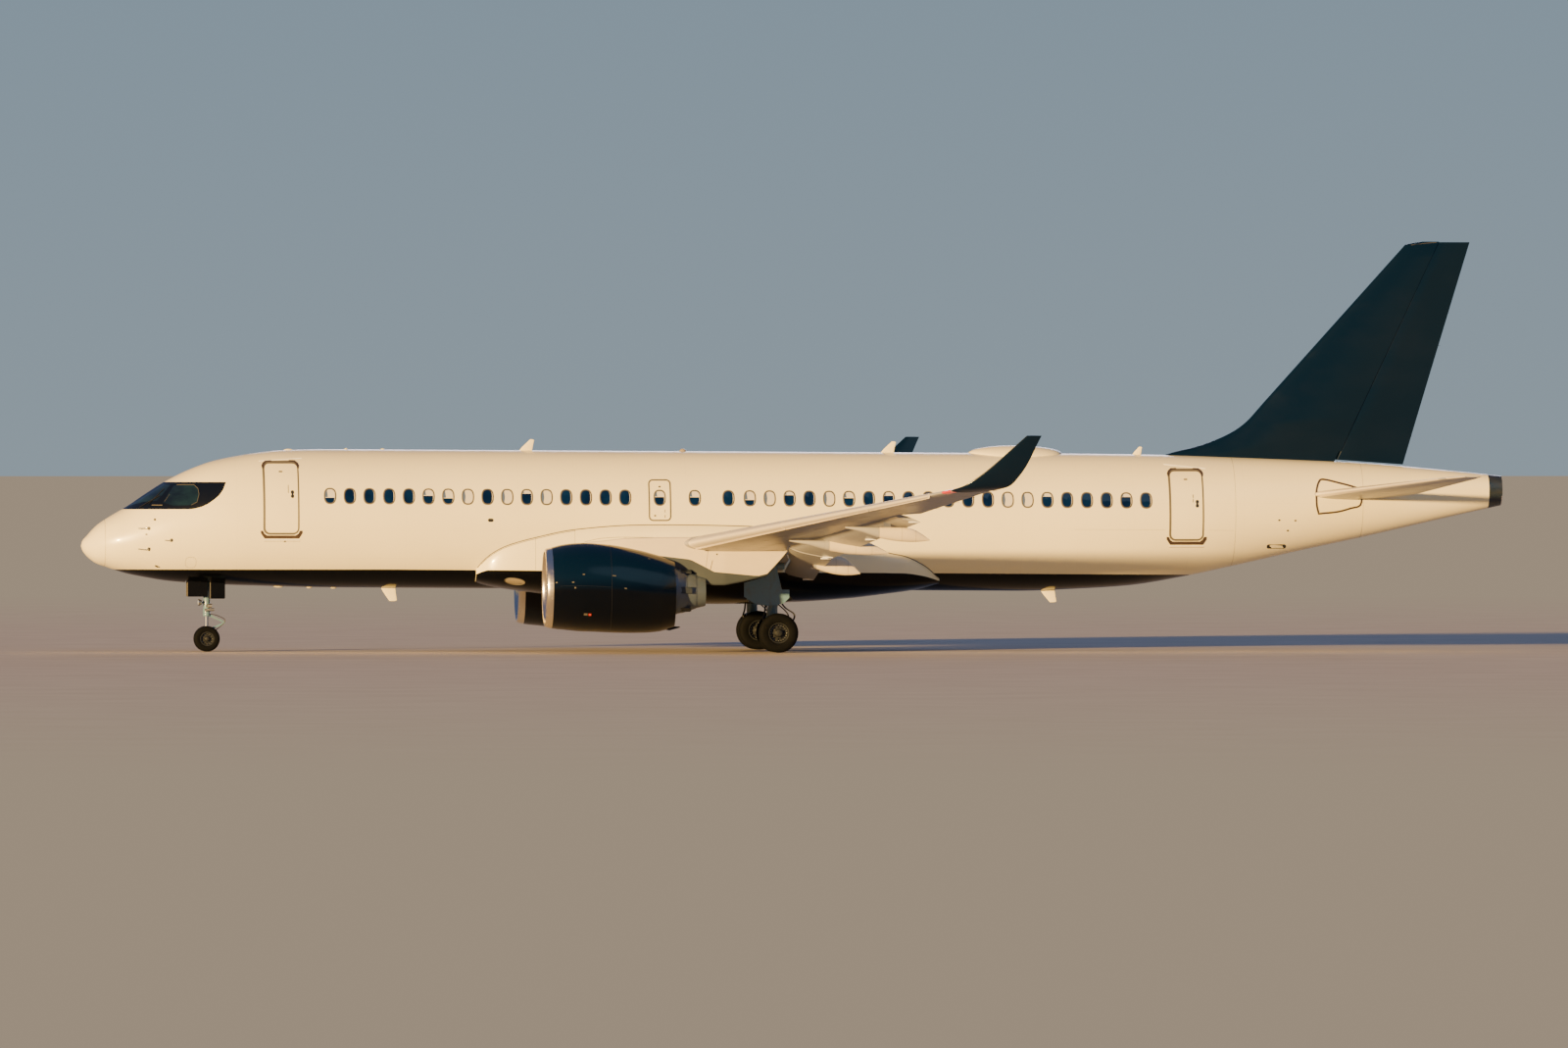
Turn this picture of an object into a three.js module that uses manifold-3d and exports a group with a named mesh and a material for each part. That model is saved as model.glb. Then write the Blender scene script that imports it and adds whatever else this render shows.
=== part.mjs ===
// A single-aisle twin-engined jet airliner, parked on its landing gear.
// Millimetres, +Z up. The nose points to -X, the left wing to -Y, and the wheels stand on z = 0.
// Stations are distances from a datum just ahead of the nose. The origin is on the ground, below
// mid-length.

import * as THREE from "three";
import { mergeVertices } from "three/addons/utils/BufferGeometryUtils.js";
import Module from "manifold-3d";

const wasm = await Module();
wasm.setup();

// Driving dimensions of the airframe
const LENGTH = 38710;
const NOSE_STATION = 58;
const TAIL_STATION = NOSE_STATION + LENGTH;
const DECK_HEIGHT = 3616; // height of the fuselage's datum line at station 0
const DECK_SLOPE = 0.0058; // the parked airliner stands nose up by this much
const SEAM = 0.8; // gap left between fixed neighbours
const SWING_GAP = 12; // gap left around what moves
const RING_SIDES = 32; // sides of a fuselage ring
const DUCT_SIDES = 24; // sides of a nacelle ring
const FACET_TOLERANCE = 0.05; // slivers that stand off by less than this are merged away

// Driving dimensions of the engines
const ENGINE_Y = 5650;
const ENGINE_AXIS_Z = 1745;
const FAN_RADIUS = 922;
const FAN_STATION = 13060;
const FAN_BLADES = 18;

// Driving dimensions of the landing gear
const NOSE_GEAR_STATION = 3460;
const NOSE_TYRE_RADIUS = 347;
const NOSE_TYRE_WIDTH = 216;
const NOSE_RIM_RADIUS = 182;
const NOSE_HALF_TRACK = 205;
const MAIN_GEAR_STATION = 18690;
const MAIN_GEAR_Y = 3365;
const MAIN_TYRE_RADIUS = 530;
const MAIN_TYRE_WIDTH = 380;
const MAIN_RIM_RADIUS = 268;
const MAIN_HALF_TRACK = 430;

const alongX = (station) => station - NOSE_STATION - LENGTH / 2;
const deck = (station) => DECK_HEIGHT - DECK_SLOPE * station;
const radians = (degrees) => (degrees * Math.PI) / 180;
const mix = (a, b, share) => a + (b - a) * share;

const finish = (color, roughness, metalness) =>
  new THREE.MeshStandardMaterial({ color, roughness, metalness });
const white = finish(0xe9e6df, 0.35, 0);
const black = finish(0x0b0d12, 0.3, 0);
const navy = finish(0x0a1a2b, 0.28, 0);
const paleGrey = finish(0xb4b7b9, 0.45, 0);
const polished = finish(0xc9c6c0, 0.2, 1);
const titanium = finish(0x7f868c, 0.4, 0.8);
const glass = finish(0x18202a, 0.08, 0);
const rubber = finish(0x17171a, 0.85, 0);
const steel = finish(0xb9bec2, 0.35, 0.7);
const gearWhite = finish(0xc3cccf, 0.4, 0);

// Turns a closed geometry into a solid that can be cut and joined.
function solidOf(geometry) {
  const bare = geometry.index ? geometry.toNonIndexed() : geometry.clone();
  bare.deleteAttribute("normal");
  bare.deleteAttribute("uv");
  const merged = mergeVertices(bare, 1e-3);
  const vertProperties = new Float32Array(merged.attributes.position.array);
  const triVerts = new Uint32Array(merged.index.array);
  const made = new wasm.Manifold(new wasm.Mesh({ numProp: 3, vertProperties, triVerts }));
  if (made.volume() >= 0) return made;
  for (let i = 0; i < triVerts.length; i += 3) {
    [triVerts[i + 1], triVerts[i + 2]] = [triVerts[i + 2], triVerts[i + 1]];
  }
  return new wasm.Manifold(new wasm.Mesh({ numProp: 3, vertProperties, triVerts }));
}

// Skins a row of rings, each with the same number of points, and closes both ends.
function loft(rings) {
  const sides = rings[0].length;
  const positions = rings.flat().flatMap((p) => [p.x, p.y, p.z]);
  const index = [];
  for (let k = 0; k + 1 < rings.length; k += 1) {
    for (let i = 0; i < sides; i += 1) {
      const a = k * sides + i;
      const b = k * sides + ((i + 1) % sides);
      index.push(a, b, b + sides, a, b + sides, a + sides);
    }
  }
  const last = (rings.length - 1) * sides;
  for (const face of capFaces(rings[0])) index.push(face[2], face[1], face[0]);
  for (const face of capFaces(rings.at(-1))) index.push(...face.map((i) => i + last));
  const geometry = new THREE.BufferGeometry();
  geometry.setAttribute("position", new THREE.Float32BufferAttribute(positions, 3));
  geometry.setIndex(index);
  return solidOf(geometry);
}

// Triangles that fill a flat ring, each in the ring's own order.
function capFaces(ring) {
  const normal = new THREE.Vector3();
  ring.forEach((p, i) => normal.add(p.clone().cross(ring[(i + 1) % ring.length])));
  const size = [normal.x, normal.y, normal.z].map(Math.abs);
  const flat = ring.map((p) => {
    if (size[0] >= size[1] && size[0] >= size[2]) return new THREE.Vector2(p.y, p.z);
    return size[1] >= size[2] ? new THREE.Vector2(p.x, p.z) : new THREE.Vector2(p.x, p.y);
  });
  return THREE.ShapeUtils.triangulateShape(flat, []).map((f) => [...f].sort((a, b) => a - b));
}

// An extruded outline, drawn in x and z, from one y to another.
function slabXZ(outline, fromY, toY) {
  const shape = new THREE.Shape(outline.map(([x, z]) => new THREE.Vector2(x, z)));
  const depth = Math.abs(toY - fromY);
  const geometry = new THREE.ExtrudeGeometry(shape, { depth, bevelEnabled: false });
  return solidOf(geometry.rotateX(Math.PI / 2).translate(0, Math.max(fromY, toY), 0));
}

function box(x0, x1, y0, y1, z0, z1) {
  const geometry = new THREE.BoxGeometry(x1 - x0, y1 - y0, z1 - z0);
  return solidOf(geometry.translate((x0 + x1) / 2, (y0 + y1) / 2, (z0 + z1) / 2));
}

// A round bar between two points.
function bar(from, to, radius, endRadius = radius, sides = 16) {
  const start = new THREE.Vector3(...from);
  const along = new THREE.Vector3(...to).sub(start);
  const geometry = new THREE.CylinderGeometry(endRadius, radius, along.length(), sides);
  const turn = new THREE.Quaternion().setFromUnitVectors(
    new THREE.Vector3(0, 1, 0),
    along.clone().normalize(),
  );
  geometry.applyQuaternion(turn).translate(...start.addScaledVector(along, 0.5).toArray());
  return solidOf(geometry);
}

// A profile of [radius, distance along the axis] turned about an axis along Y.
function turnedY(profile, sides, centre) {
  const points = profile.map(([r, y]) => new THREE.Vector2(r, y));
  return solidOf(new THREE.LatheGeometry(points, sides).translate(...centre));
}

// The same, turned about an axis along X.
function turnedX(profile, sides, centre) {
  const points = profile.map(([r, x]) => new THREE.Vector2(r, x));
  const geometry = new THREE.LatheGeometry(points, sides).rotateZ(-Math.PI / 2);
  return solidOf(geometry.translate(...centre));
}

// The same on both sides of the middle plane, facets included.
function symmetric(solid) {
  const half = solid.trimByPlane([0, -1, 0], 0);
  return half.add(mirrorY(half));
}

const join = (solids) => solids.reduce((all, next) => all.add(next));
const mirrorY = (solid) => solid.mirror([0, 1, 0]);
// Left-hand pieces are modelled, and the right-hand ones are their mirror images.
const onSide = (side, solid) => (side === "left" ? solid : mirrorY(solid));

const part = new THREE.Group();
// Hinge lines of what moves, each from its inner, lower or front end
const hinges = {};
part.userData.hinges = hinges;

function addPiece(name, solid, material) {
  const { vertProperties, triVerts, numProp } = solid.simplify(FACET_TOLERANCE).getMesh();
  const count = vertProperties.length / numProp;
  const positions = new Float32Array(count * 3);
  for (let i = 0; i < count; i += 1) {
    positions.set(vertProperties.subarray(i * numProp, i * numProp + 3), i * 3);
  }
  const geometry = new THREE.BufferGeometry();
  geometry.setAttribute("position", new THREE.BufferAttribute(positions, 3));
  geometry.setIndex(new THREE.BufferAttribute(new Uint32Array(triVerts), 1));
  geometry.computeVertexNormals();
  const mesh = new THREE.Mesh(geometry, material);
  mesh.name = name;
  part.add(mesh);
}

// Fuselage: station, crown above the datum, keel below the datum, half width
const FUSELAGE = [
  [NOSE_STATION, -700, 800, 60],
  [105, -595, 897, 190],
  [200, -490, 1020, 335],
  [330, -340, 1135, 475],
  [500, -175, 1240, 625],
  [720, -20, 1312, 775],
  [1000, 150, 1408, 920],
  [1300, 325, 1495, 1030],
  [1860, 708, 1603, 1195],
  [2340, 1010, 1678, 1320],
  [3030, 1350, 1735, 1460],
  [3640, 1570, 1765, 1565],
  [4250, 1702, 1790, 1640],
  [4900, 1803, 1806, 1690],
  [5520, 1868, 1822, 1728],
  [6900, 1902, 1842, 1755],
  [25500, 1902, 1838, 1755],
  [27100, 1898, 1774, 1745],
  [28500, 1890, 1680, 1700],
  [30070, 1866, 1418, 1595],
  [31450, 1828, 1117, 1455],
  [33300, 1765, 690, 1210],
  [35000, 1690, 317, 965],
  [37000, 1530, -154, 660],
  [TAIL_STATION, 1362, -560, 400],
];

function fuselageSkin(grow = 0) {
  const rings = FUSELAGE.map(([station, crown, keel, halfWidth]) => {
    const middle = deck(station) + (crown - keel) / 2;
    const halfHeight = Math.max((crown + keel) / 2 + grow, 5);
    const wide = Math.max(halfWidth + grow, 5);
    return Array.from({ length: RING_SIDES }, (_, i) => {
      const angle = (2 * Math.PI * i) / RING_SIDES;
      const y = wide * Math.sin(angle);
      return new THREE.Vector3(alongX(station), y, middle + halfHeight * Math.cos(angle));
    });
  });
  return symmetric(loft(rings));
}

// Half width of the fuselage at a station and height.
function fuselageHalfWidth(station, height) {
  const next = FUSELAGE.findIndex((row) => row[0] >= station);
  const [a, b] = [FUSELAGE[next - 1], FUSELAGE[next]];
  const share = (station - a[0]) / (b[0] - a[0]);
  const [crown, keel, wide] = [1, 2, 3].map((i) => mix(a[i], b[i], share));
  const above = (height - deck(station) - (crown - keel) / 2) / ((crown + keel) / 2);
  return wide * Math.sqrt(Math.max(0, 1 - above * above));
}

const skin = fuselageSkin();
const skinClear = fuselageSkin(SEAM);

// An upright rectangle with round corners, in station and height.
function roundedOutline([x0, x1], [z0, z1], radius, grow = 0) {
  const r = radius + grow;
  const corners = [
    [x1 + grow - r, z1 + grow - r, 0],
    [x0 - grow + r, z1 + grow - r, 90],
    [x0 - grow + r, z0 - grow + r, 180],
    [x1 + grow - r, z0 - grow + r, 270],
  ];
  return corners.flatMap(([x, z, from]) =>
    [0, 30, 60, 90].map((turn) => {
      const angle = radians(from + turn);
      return [alongX(x) + r * Math.cos(angle), z + r * Math.sin(angle)];
    }),
  );
}

// Doors in the skin: name, side, stations, heights, corner radius, gap around
const DOOR_THICKNESS = 70;
const DOORS = [
  ["passenger_door_left", -1, [4920, 5880], [3180, 5160], 170, 1],
  ["service_door_right", 1, [4990, 5800], [3180, 4920], 150, 1],
  ["aft_door_left", -1, [29515, 30455], [3000, 4945], 170, 1],
  ["aft_door_right", 1, [29570, 30400], [3000, 4740], 150, 1],
  ["overwing_exit_left", -1, [15345, 15950], [3540, 4660], 120, 1],
  ["overwing_exit_right", 1, [15345, 15950], [3540, 4660], 120, 1],
  ["cargo_door_forward", 1, [8500, 9690], [2230, 3060], 90, 8],
  ["cargo_door_aft", 1, [24300, 25390], [2190, 3000], 90, 8],
];
const HOLD_WALL_Y = 100; // a cargo hold reaches in from its door to this wall
const HOLD_HEADROOM = 28; // from the top of the door to the hold's ceiling
const OUTSIDE = 2600; // a half width outside the whole fuselage

// Cockpit glazing, one band round the nose: station, height
const GLAZING = [
  [1050, 3852],
  [2920, 3852],
  [3260, 3915],
  [3605, 4115],
  [3795, 4310],
  [3925, 4592],
  [2100, 4592],
];
const GLAZING_THICKNESS = 45;

function glazingOutline(grow) {
  const centre = [2700, 4200];
  return GLAZING.map(([station, height]) => {
    const out = new THREE.Vector2(station - centre[0], height - centre[1]);
    out.setLength(out.length() + grow);
    return [alongX(centre[0] + out.x), centre[1] + out.y];
  });
}

function buildFuselage() {
  const inner = fuselageSkin(-DOOR_THICKNESS);
  const innerClear = fuselageSkin(-DOOR_THICKNESS - 2);
  let hull = skin;
  for (const [name, side, stations, heights, radius, gap] of DOORS) {
    const blank = slabXZ(roundedOutline(stations, heights, radius), 0, side * OUTSIDE);
    const hole = slabXZ(roundedOutline(stations, heights, radius, gap), 0, side * OUTSIDE);
    addPiece(name, blank.intersect(skin).subtract(inner), white);
    hull = hull.subtract(hole.subtract(innerClear));
    if (name.startsWith("cargo")) {
      const [x0, x1] = stations.map(alongX);
      const [floor, ceiling] = [heights[0] - gap, heights[1] + HOLD_HEADROOM];
      const hold = box(x0 - gap, x1 + gap, HOLD_WALL_Y, OUTSIDE, floor, ceiling);
      hull = hull.subtract(hold.intersect(inner));
      hinges[name] = [
        [x0, fuselageHalfWidth(stations[0], heights[1]), heights[1]],
        [x1, fuselageHalfWidth(stations[1], heights[1]), heights[1]],
      ];
    }
  }
  const pane = slabXZ(glazingOutline(0), -OUTSIDE, OUTSIDE);
  const paneHole = slabXZ(glazingOutline(2), -OUTSIDE, OUTSIDE);
  const glazing = pane.intersect(skin).subtract(fuselageSkin(-GLAZING_THICKNESS));
  addPiece("cockpit_glazing", glazing, glass);
  hull = hull.subtract(paneHole.subtract(fuselageSkin(-GLAZING_THICKNESS - 2)));
  hull = hull.subtract(noseGearBay());
  const exhaustZ = deck(TAIL_STATION) + 960;
  const end = alongX(TAIL_STATION);
  hull = hull.subtract(bar([end - 500, 0, exhaustZ], [end + 10, 0, exhaustZ], 150, 230));
  return hull;
}

// Nose gear bay, open below
const BAY = { stations: [2880, 3960], halfWidth: 330, roof: 2560 };

function noseGearBay() {
  const [x0, x1] = BAY.stations.map(alongX);
  return box(x0, x1, -BAY.halfWidth, BAY.halfWidth, 1500, BAY.roof);
}

// Belly fairing: station, half width, top, bottom. It is squarer above its middle than below.
const FAIRING = [
  [10560, 1080, 2300, 1900],
  [10980, 1470, 2700, 1790],
  [11330, 1640, 3040, 1735],
  [12300, 1795, 3420, 1590],
  [13350, 1880, 3640, 1470],
  [15000, 1980, 3700, 1340],
  [17300, 2020, 3660, 1276],
  [19400, 2000, 3560, 1330],
  [20900, 1900, 3300, 1430],
  [21900, 1700, 2850, 1550],
  [22300, 1630, 2770, 1600],
  [22900, 1400, 2440, 1700],
  [23300, 1010, 2040, 1800],
];
const FAIRING_SIDES = 24;
const FAIRING_MIDDLE = 0.45; // height of the widest level, as a share of the section's height
const FAIRING_UPPER_POWER = 4;
const FAIRING_LOWER_POWER = 2.6;

function fairingSkin(grow = 0) {
  const rings = FAIRING.map(([station, halfWidth, top, bottom]) => {
    const middle = mix(bottom, top, FAIRING_MIDDLE);
    return Array.from({ length: FAIRING_SIDES }, (_, i) => {
      const angle = (2 * Math.PI * i) / FAIRING_SIDES;
      const [c, s] = [Math.cos(angle), Math.sin(angle)];
      const power = 2 / (c > 0 ? FAIRING_UPPER_POWER : FAIRING_LOWER_POWER);
      const height = (c > 0 ? top - middle : middle - bottom) + grow;
      const y = (halfWidth + grow) * Math.sign(s) * Math.abs(s) ** power;
      const z = middle + height * Math.sign(c) * Math.abs(c) ** power;
      return new THREE.Vector3(alongX(station), y, z);
    });
  });
  return symmetric(loft(rings));
}

// Wheel well in the belly, open below
const WELL = { y: 1080, radius: 600, roof: 1980 };

const wheelWell = (side) => {
  const x = alongX(MAIN_GEAR_STATION);
  return bar([x, side * WELL.y, 900], [x, side * WELL.y, WELL.roof], WELL.radius, WELL.radius, 24);
};

// An aerofoil of unit chord: points along the upper side, back to front, then the lower side.
const CHORD_STOPS = [0, 0.012, 0.05, 0.12, 0.24, 0.4, 0.58, 0.78, 1];

const halfThickness = (u, ratio) =>
  5 *
  ratio *
  (0.2969 * Math.sqrt(u) - 0.126 * u - 0.3516 * u ** 2 + 0.2843 * u ** 3 - 0.1015 * u ** 4);

function aerofoil(ratio, camber, front = 0, rear = 1) {
  const stops = CHORD_STOPS.map((s) => mix(front, rear, s));
  const at = (u, sign) => [u, 4 * camber * u * (1 - u) + sign * halfThickness(u, ratio)];
  const upper = [...stops].reverse().map((u) => at(u, 1));
  const lower = stops.slice(front > 0 ? 0 : 1).map((u) => at(u, -1));
  return [...upper, ...lower];
}

// Wing: span y, leading edge station, chord, height, thickness ratio, incidence, rear wall share
const WING = [
  [1000, 13108, 6640, 2345, 0.13, 2.2, 0.884],
  [3900, 14805, 4995, 2712, 0.125, 1.8, 0.832],
  [6300, 16270, 3660, 3015, 0.118, 1.2, 0.675],
  [16750, 22160, 1110, 4395, 0.1, -1.0, 0.72],
];
const CAMBER = 0.014;
const FULL_CHORD_FROM = 15640; // outboard of this the wing has no flap or aileron

// The wing table read at any span.
function wingAt(y) {
  const next = THREE.MathUtils.clamp(WING.findIndex((row) => row[0] > y), 1, 3);
  const [a, b] = y >= WING.at(-1)[0] ? WING.slice(-2) : [WING[next - 1], WING[next]];
  const share = (y - a[0]) / (b[0] - a[0]);
  const [le, chord, z, ratio, incidence, wall] = [1, 2, 3, 4, 5, 6].map((i) =>
    mix(a[i], b[i], share),
  );
  return { y, le, chord, z, ratio, incidence, wall };
}

// A point of the left wing, u along the chord and v across it, both in millimetres.
const wingPoint = (at, u, v) =>
  new THREE.Vector3(alongX(at.le) + u, -at.y, at.z + v - u * Math.tan(radians(at.incidence)));

function wingRing(y, front, rear, grow = 0) {
  const at = wingAt(y);
  const outline = aerofoil(at.ratio, CAMBER, front, rear + grow / at.chord);
  return outline.map(([u, v]) => {
    const away = v > 4 * CAMBER * u * (1 - u) ? grow : -grow;
    return wingPoint(at, u * at.chord - (u < 0.02 ? grow : 0), v * at.chord + away);
  });
}

function wingSkin(grow = 0) {
  const spans = [1000, 3900, 6300, 9000, 12000, FULL_CHORD_FROM];
  const inner = loft(spans.map((y) => wingRing(y, 0, wingAt(y).wall, grow)));
  const tip = loft([FULL_CHORD_FROM, 16750].map((y) => wingRing(y, 0, 1, grow)));
  return inner.add(tip);
}

function buildWing() {
  return wingSkin().subtract(skinClear).subtract(fairingClear);
}

// Slat, run out a little in front of the wing's own nose
const SLAT = { fromY: 6120, toY: 15900, ahead: 85, drop: 34, gap: 8, thick: 10 };

function buildSlat() {
  const rings = [SLAT.fromY, 9700, 13000, SLAT.toY].map((y) => {
    const at = wingAt(y);
    const nose = aerofoil(at.ratio, CAMBER, 0, 0.13);
    return nose.map(([u, v]) => {
      const away = v > 0 ? SLAT.thick : -SLAT.thick;
      const under = v < 0 && u > 0.05 ? 0.05 : u;
      return wingPoint(at, under * at.chord - SLAT.ahead, v * at.chord + away - SLAT.drop);
    });
  });
  return loft(rings).subtract(wingSkin(SLAT.gap));
}

// Flap, lowered for taxi: its nose sits behind the wing's rear wall
const FLAP = { behind: 45, drop: 0.02, angle: 15, ratio: 0.15 };
const FLAPS = { inboard: [2120, 6240], outboard: [6340, 12020] };
// Flap track fairings: span, station of the front, length, top at the front, depth, half width, and
// how far the rear end hangs down
const CANOES = {
  inboard: [[4550, 18850, 1980, 2700, 540, 150, 90]],
  outboard: [
    [7950, 18642, 2646, 3056, 388, 145, 10],
    [11250, 19846, 2251, 3430, 400, 135, 10],
  ],
};
// Along a fairing: share of the length, top and bottom as shares of the depth, share of the width
const CANOE_SECTIONS = [
  [0, 0, 0.1, 0.25],
  [0.18, 0, 0.35, 0.75],
  [0.45, 0.02, 0.8, 1],
  [0.68, 0.04, 0.98, 1],
  [0.79, 0.13, 1, 0.85],
  [0.9, 0.45, 0.97, 0.5],
  [1, 0.84, 0.9, 0.08],
];
const CANOE_SIDES = 12;
const HANGER = { fromNose: 60, length: 180, halfThickness: 22, intoFairing: 90 };

function flapRing(y) {
  const at = wingAt(y);
  const nose = at.wall * at.chord + FLAP.behind;
  const chord = at.chord - nose + FLAP.behind;
  const turn = radians(FLAP.angle);
  return aerofoil(FLAP.ratio, 0.01).map(([u, v]) => {
    const along = u * chord * Math.cos(turn) + v * chord * Math.sin(turn);
    const up = v * chord * Math.cos(turn) - u * chord * Math.sin(turn);
    return wingPoint(at, nose + along, up - FLAP.drop * at.chord);
  });
}

// A track fairing, flat on top, and the plate that hangs it from the flap.
function canoe([y, front, length, top, depth, halfWidth, hangs]) {
  const rings = CANOE_SECTIONS.map(([along, upper, lower, wide]) => {
    const datum = top - hangs * along;
    const [high, low] = [datum - depth * upper, datum - depth * lower];
    return Array.from({ length: CANOE_SIDES }, (_, i) => {
      const angle = (2 * Math.PI * i) / CANOE_SIDES;
      const [c, s] = [Math.cos(angle), Math.sin(angle)];
      const power = c > 0.01 ? 0.6 : 1;
      const z = (high + low) / 2 + ((high - low) / 2) * Math.sign(c) * Math.abs(c) ** power;
      const across = halfWidth * wide * Math.sign(s) * Math.abs(s) ** power;
      return new THREE.Vector3(alongX(front + along * length), -y + across, z);
    });
  });
  const at = wingAt(y);
  const nose = alongX(at.le + at.wall * at.chord + FLAP.behind + HANGER.fromNose);
  const flapZ = flapRing(y)[4].z;
  const [y0, y1] = [-y - HANGER.halfThickness, -y + HANGER.halfThickness];
  const hanger = box(nose, nose + HANGER.length, y0, y1, top - HANGER.intoFairing, flapZ);
  return loft(rings).add(hanger);
}

function buildFlap(which) {
  const [fromY, toY] = FLAPS[which];
  const kink = which === "inboard" ? WING[1][0] : (fromY + toY) / 2;
  const flap = loft([fromY, kink, toY].map(flapRing));
  const canoes = CANOES[which].map((row) => canoe(row).subtract(wingClear));
  return join([flap, ...canoes]).subtract(fairingClear).subtract(skinClear);
}

// A hinged surface: a round nose about the hinge, then straight sides to a thin rear edge.
const NOSE_TURNS = [90, 120, 150, 180, 210, 240, 270];
const REAR_EDGE = 7;

function hingedOutline(radius, length) {
  const nose = NOSE_TURNS.map((degrees) => {
    const angle = radians(degrees);
    return [radius * Math.cos(angle), radius * Math.sin(angle)];
  });
  return [...nose, [length, -REAR_EDGE], [length, REAR_EDGE]];
}

// Aileron: spans, and its hinge as a share of the chord behind the wall
const AILERON = { spans: [12100, 15600] };

function aileronHinge(y) {
  const at = wingAt(y);
  const u = at.wall * at.chord;
  const radius = halfThickness(at.wall, at.ratio) * at.chord * 0.94;
  const lift = 4 * CAMBER * at.wall * (1 - at.wall) * at.chord;
  return { at, u: u + radius + SWING_GAP, radius, lift };
}

function buildAileron() {
  const rings = AILERON.spans.map((y) => {
    const { at, u, radius, lift } = aileronHinge(y);
    const outline = hingedOutline(radius, at.chord - u);
    return outline.map(([along, up]) => {
      const settle = (lift * Math.max(0, along)) / (at.chord - u);
      return wingPoint(at, u + along, up + lift - settle);
    });
  });
  hinges.aileron = AILERON.spans.map((y) => {
    const { at, u, lift } = aileronHinge(y);
    return wingPoint(at, u, lift).toArray();
  });
  return loft(rings);
}

// Winglet: y, leading edge station, chord, height, lean of the section from upright, thickness
const WINGLET = [
  [16752, 22161, 1109, 4396, 0, 0.1],
  [17010, 22430, 1200, 4500, 35, 0.09],
  [17180, 22830, 1060, 4760, 58, 0.08],
  [17550, 24060, 390, 5830, 72, 0.08],
];

function buildWinglet() {
  const rings = WINGLET.map(([y, le, chord, z, lean, ratio]) => {
    const turn = radians(lean);
    return aerofoil(ratio, 0.004).map(([u, v]) => {
      const across = v * chord;
      const x = alongX(le) + u * chord;
      return new THREE.Vector3(x, -y + across * Math.sin(turn), z + across * Math.cos(turn));
    });
  });
  return loft(rings);
}

// Fin: height, leading edge station, thickness ratio
const FIN = [
  [4850, 29000, 0.045],
  [5340, 29600, 0.05],
  [5570, 30500, 0.06],
  [5965, 31430, 0.075],
  [6240, 31800, 0.085],
  [11050, 36140, 0.095],
  [11135, 36580, 0.08],
];
// Two lines up the fin, each as height and station at its foot and its top
const HINGE_LINE = [
  [5350, 34380],
  [11115, 37080],
];
const REAR_LINE = [
  [5080, 36045],
  [11135, 37915],
];
const onLine = ([low, high], z) => mix(low[1], high[1], (z - low[0]) / (high[0] - low[0]));
const RUDDER = { foot: 5190, footDrop: 0.07, top: 11120, noseShare: 0.92 };

function finHalfThickness(z, station) {
  const next = Math.max(1, FIN.findIndex((row) => row[0] >= z));
  const [a, b] = [FIN[next - 1], FIN[next]];
  const share = (z - a[0]) / (b[0] - a[0]);
  const [le, ratio] = [mix(a[1], b[1], share), mix(a[2], b[2], share)];
  const chord = onLine(REAR_LINE, z) - le;
  return halfThickness((station - le) / chord, ratio) * chord;
}

function rudderNose(z) {
  return finHalfThickness(z, onLine(HINGE_LINE, z)) * RUDDER.noseShare;
}

function buildFin() {
  const rings = FIN.map(([z, le, ratio]) => {
    const chord = onLine(REAR_LINE, z) - le;
    const wall = onLine(HINGE_LINE, z) - rudderNose(z) - SWING_GAP;
    return aerofoil(ratio, 0, 0, (wall - le) / chord).map(
      ([u, v]) => new THREE.Vector3(alongX(le + u * chord), v * chord, z),
    );
  });
  return loft(rings).subtract(skinClear);
}

function buildRudder() {
  const rings = [RUDDER.foot, RUDDER.top].map((z, i) => {
    const hinge = onLine(HINGE_LINE, z);
    const drop = i === 0 ? RUDDER.footDrop : 0;
    return hingedOutline(rudderNose(z), onLine(REAR_LINE, z) - hinge).map(
      ([along, across]) => new THREE.Vector3(alongX(hinge + along), across, z - drop * along),
    );
  });
  hinges.rudder = HINGE_LINE.map(([z, station]) => [alongX(station), 0, z]);
  return loft(rings);
}

// Tailplane: span y, leading edge station, rear edge station, height
const TAILPLANE = [
  [500, 33080, 36090, 4190],
  [5600, 36560, 37420, 4700],
  [6060, 37060, 37500, 4746],
];
const TAIL_RATIO = 0.095;
const ELEVATOR = { spans: [1000, 5560], hingeShare: 0.7, noseShare: 0.92 };

function tailAt(y) {
  const [a, b] = y < TAILPLANE[1][0] ? TAILPLANE : TAILPLANE.slice(1);
  const share = (y - a[0]) / (b[0] - a[0]);
  const [le, te, z] = [1, 2, 3].map((i) => mix(a[i], b[i], share));
  const chord = te - le;
  const nose = halfThickness(ELEVATOR.hingeShare, TAIL_RATIO) * chord * ELEVATOR.noseShare;
  return { y, le, chord, z, nose, hinge: le + ELEVATOR.hingeShare * chord };
}

function tailRing(y, rear) {
  const at = tailAt(y);
  const share = rear ?? (at.hinge - at.nose - SWING_GAP - at.le) / at.chord;
  return aerofoil(TAIL_RATIO, 0, 0, share).map(
    ([u, v]) => new THREE.Vector3(alongX(at.le + u * at.chord), -y, at.z + v * at.chord),
  );
}

function buildStabiliser() {
  const box = loft([500, 3000, 5600].map((y) => tailRing(y)));
  const tip = loft([tailRing(5580, 1), tailRing(6060, 1)]);
  return box.add(tip).subtract(skinClear);
}

function buildElevator() {
  const rings = ELEVATOR.spans.map((y) => {
    const at = tailAt(y);
    return hingedOutline(at.nose, at.le + at.chord - at.hinge).map(
      ([along, up]) => new THREE.Vector3(alongX(at.hinge + along), -y, at.z + up),
    );
  });
  hinges.elevator = ELEVATOR.spans.map((y) => [alongX(tailAt(y).hinge), -y, tailAt(y).z]);
  return loft(rings);
}

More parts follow.
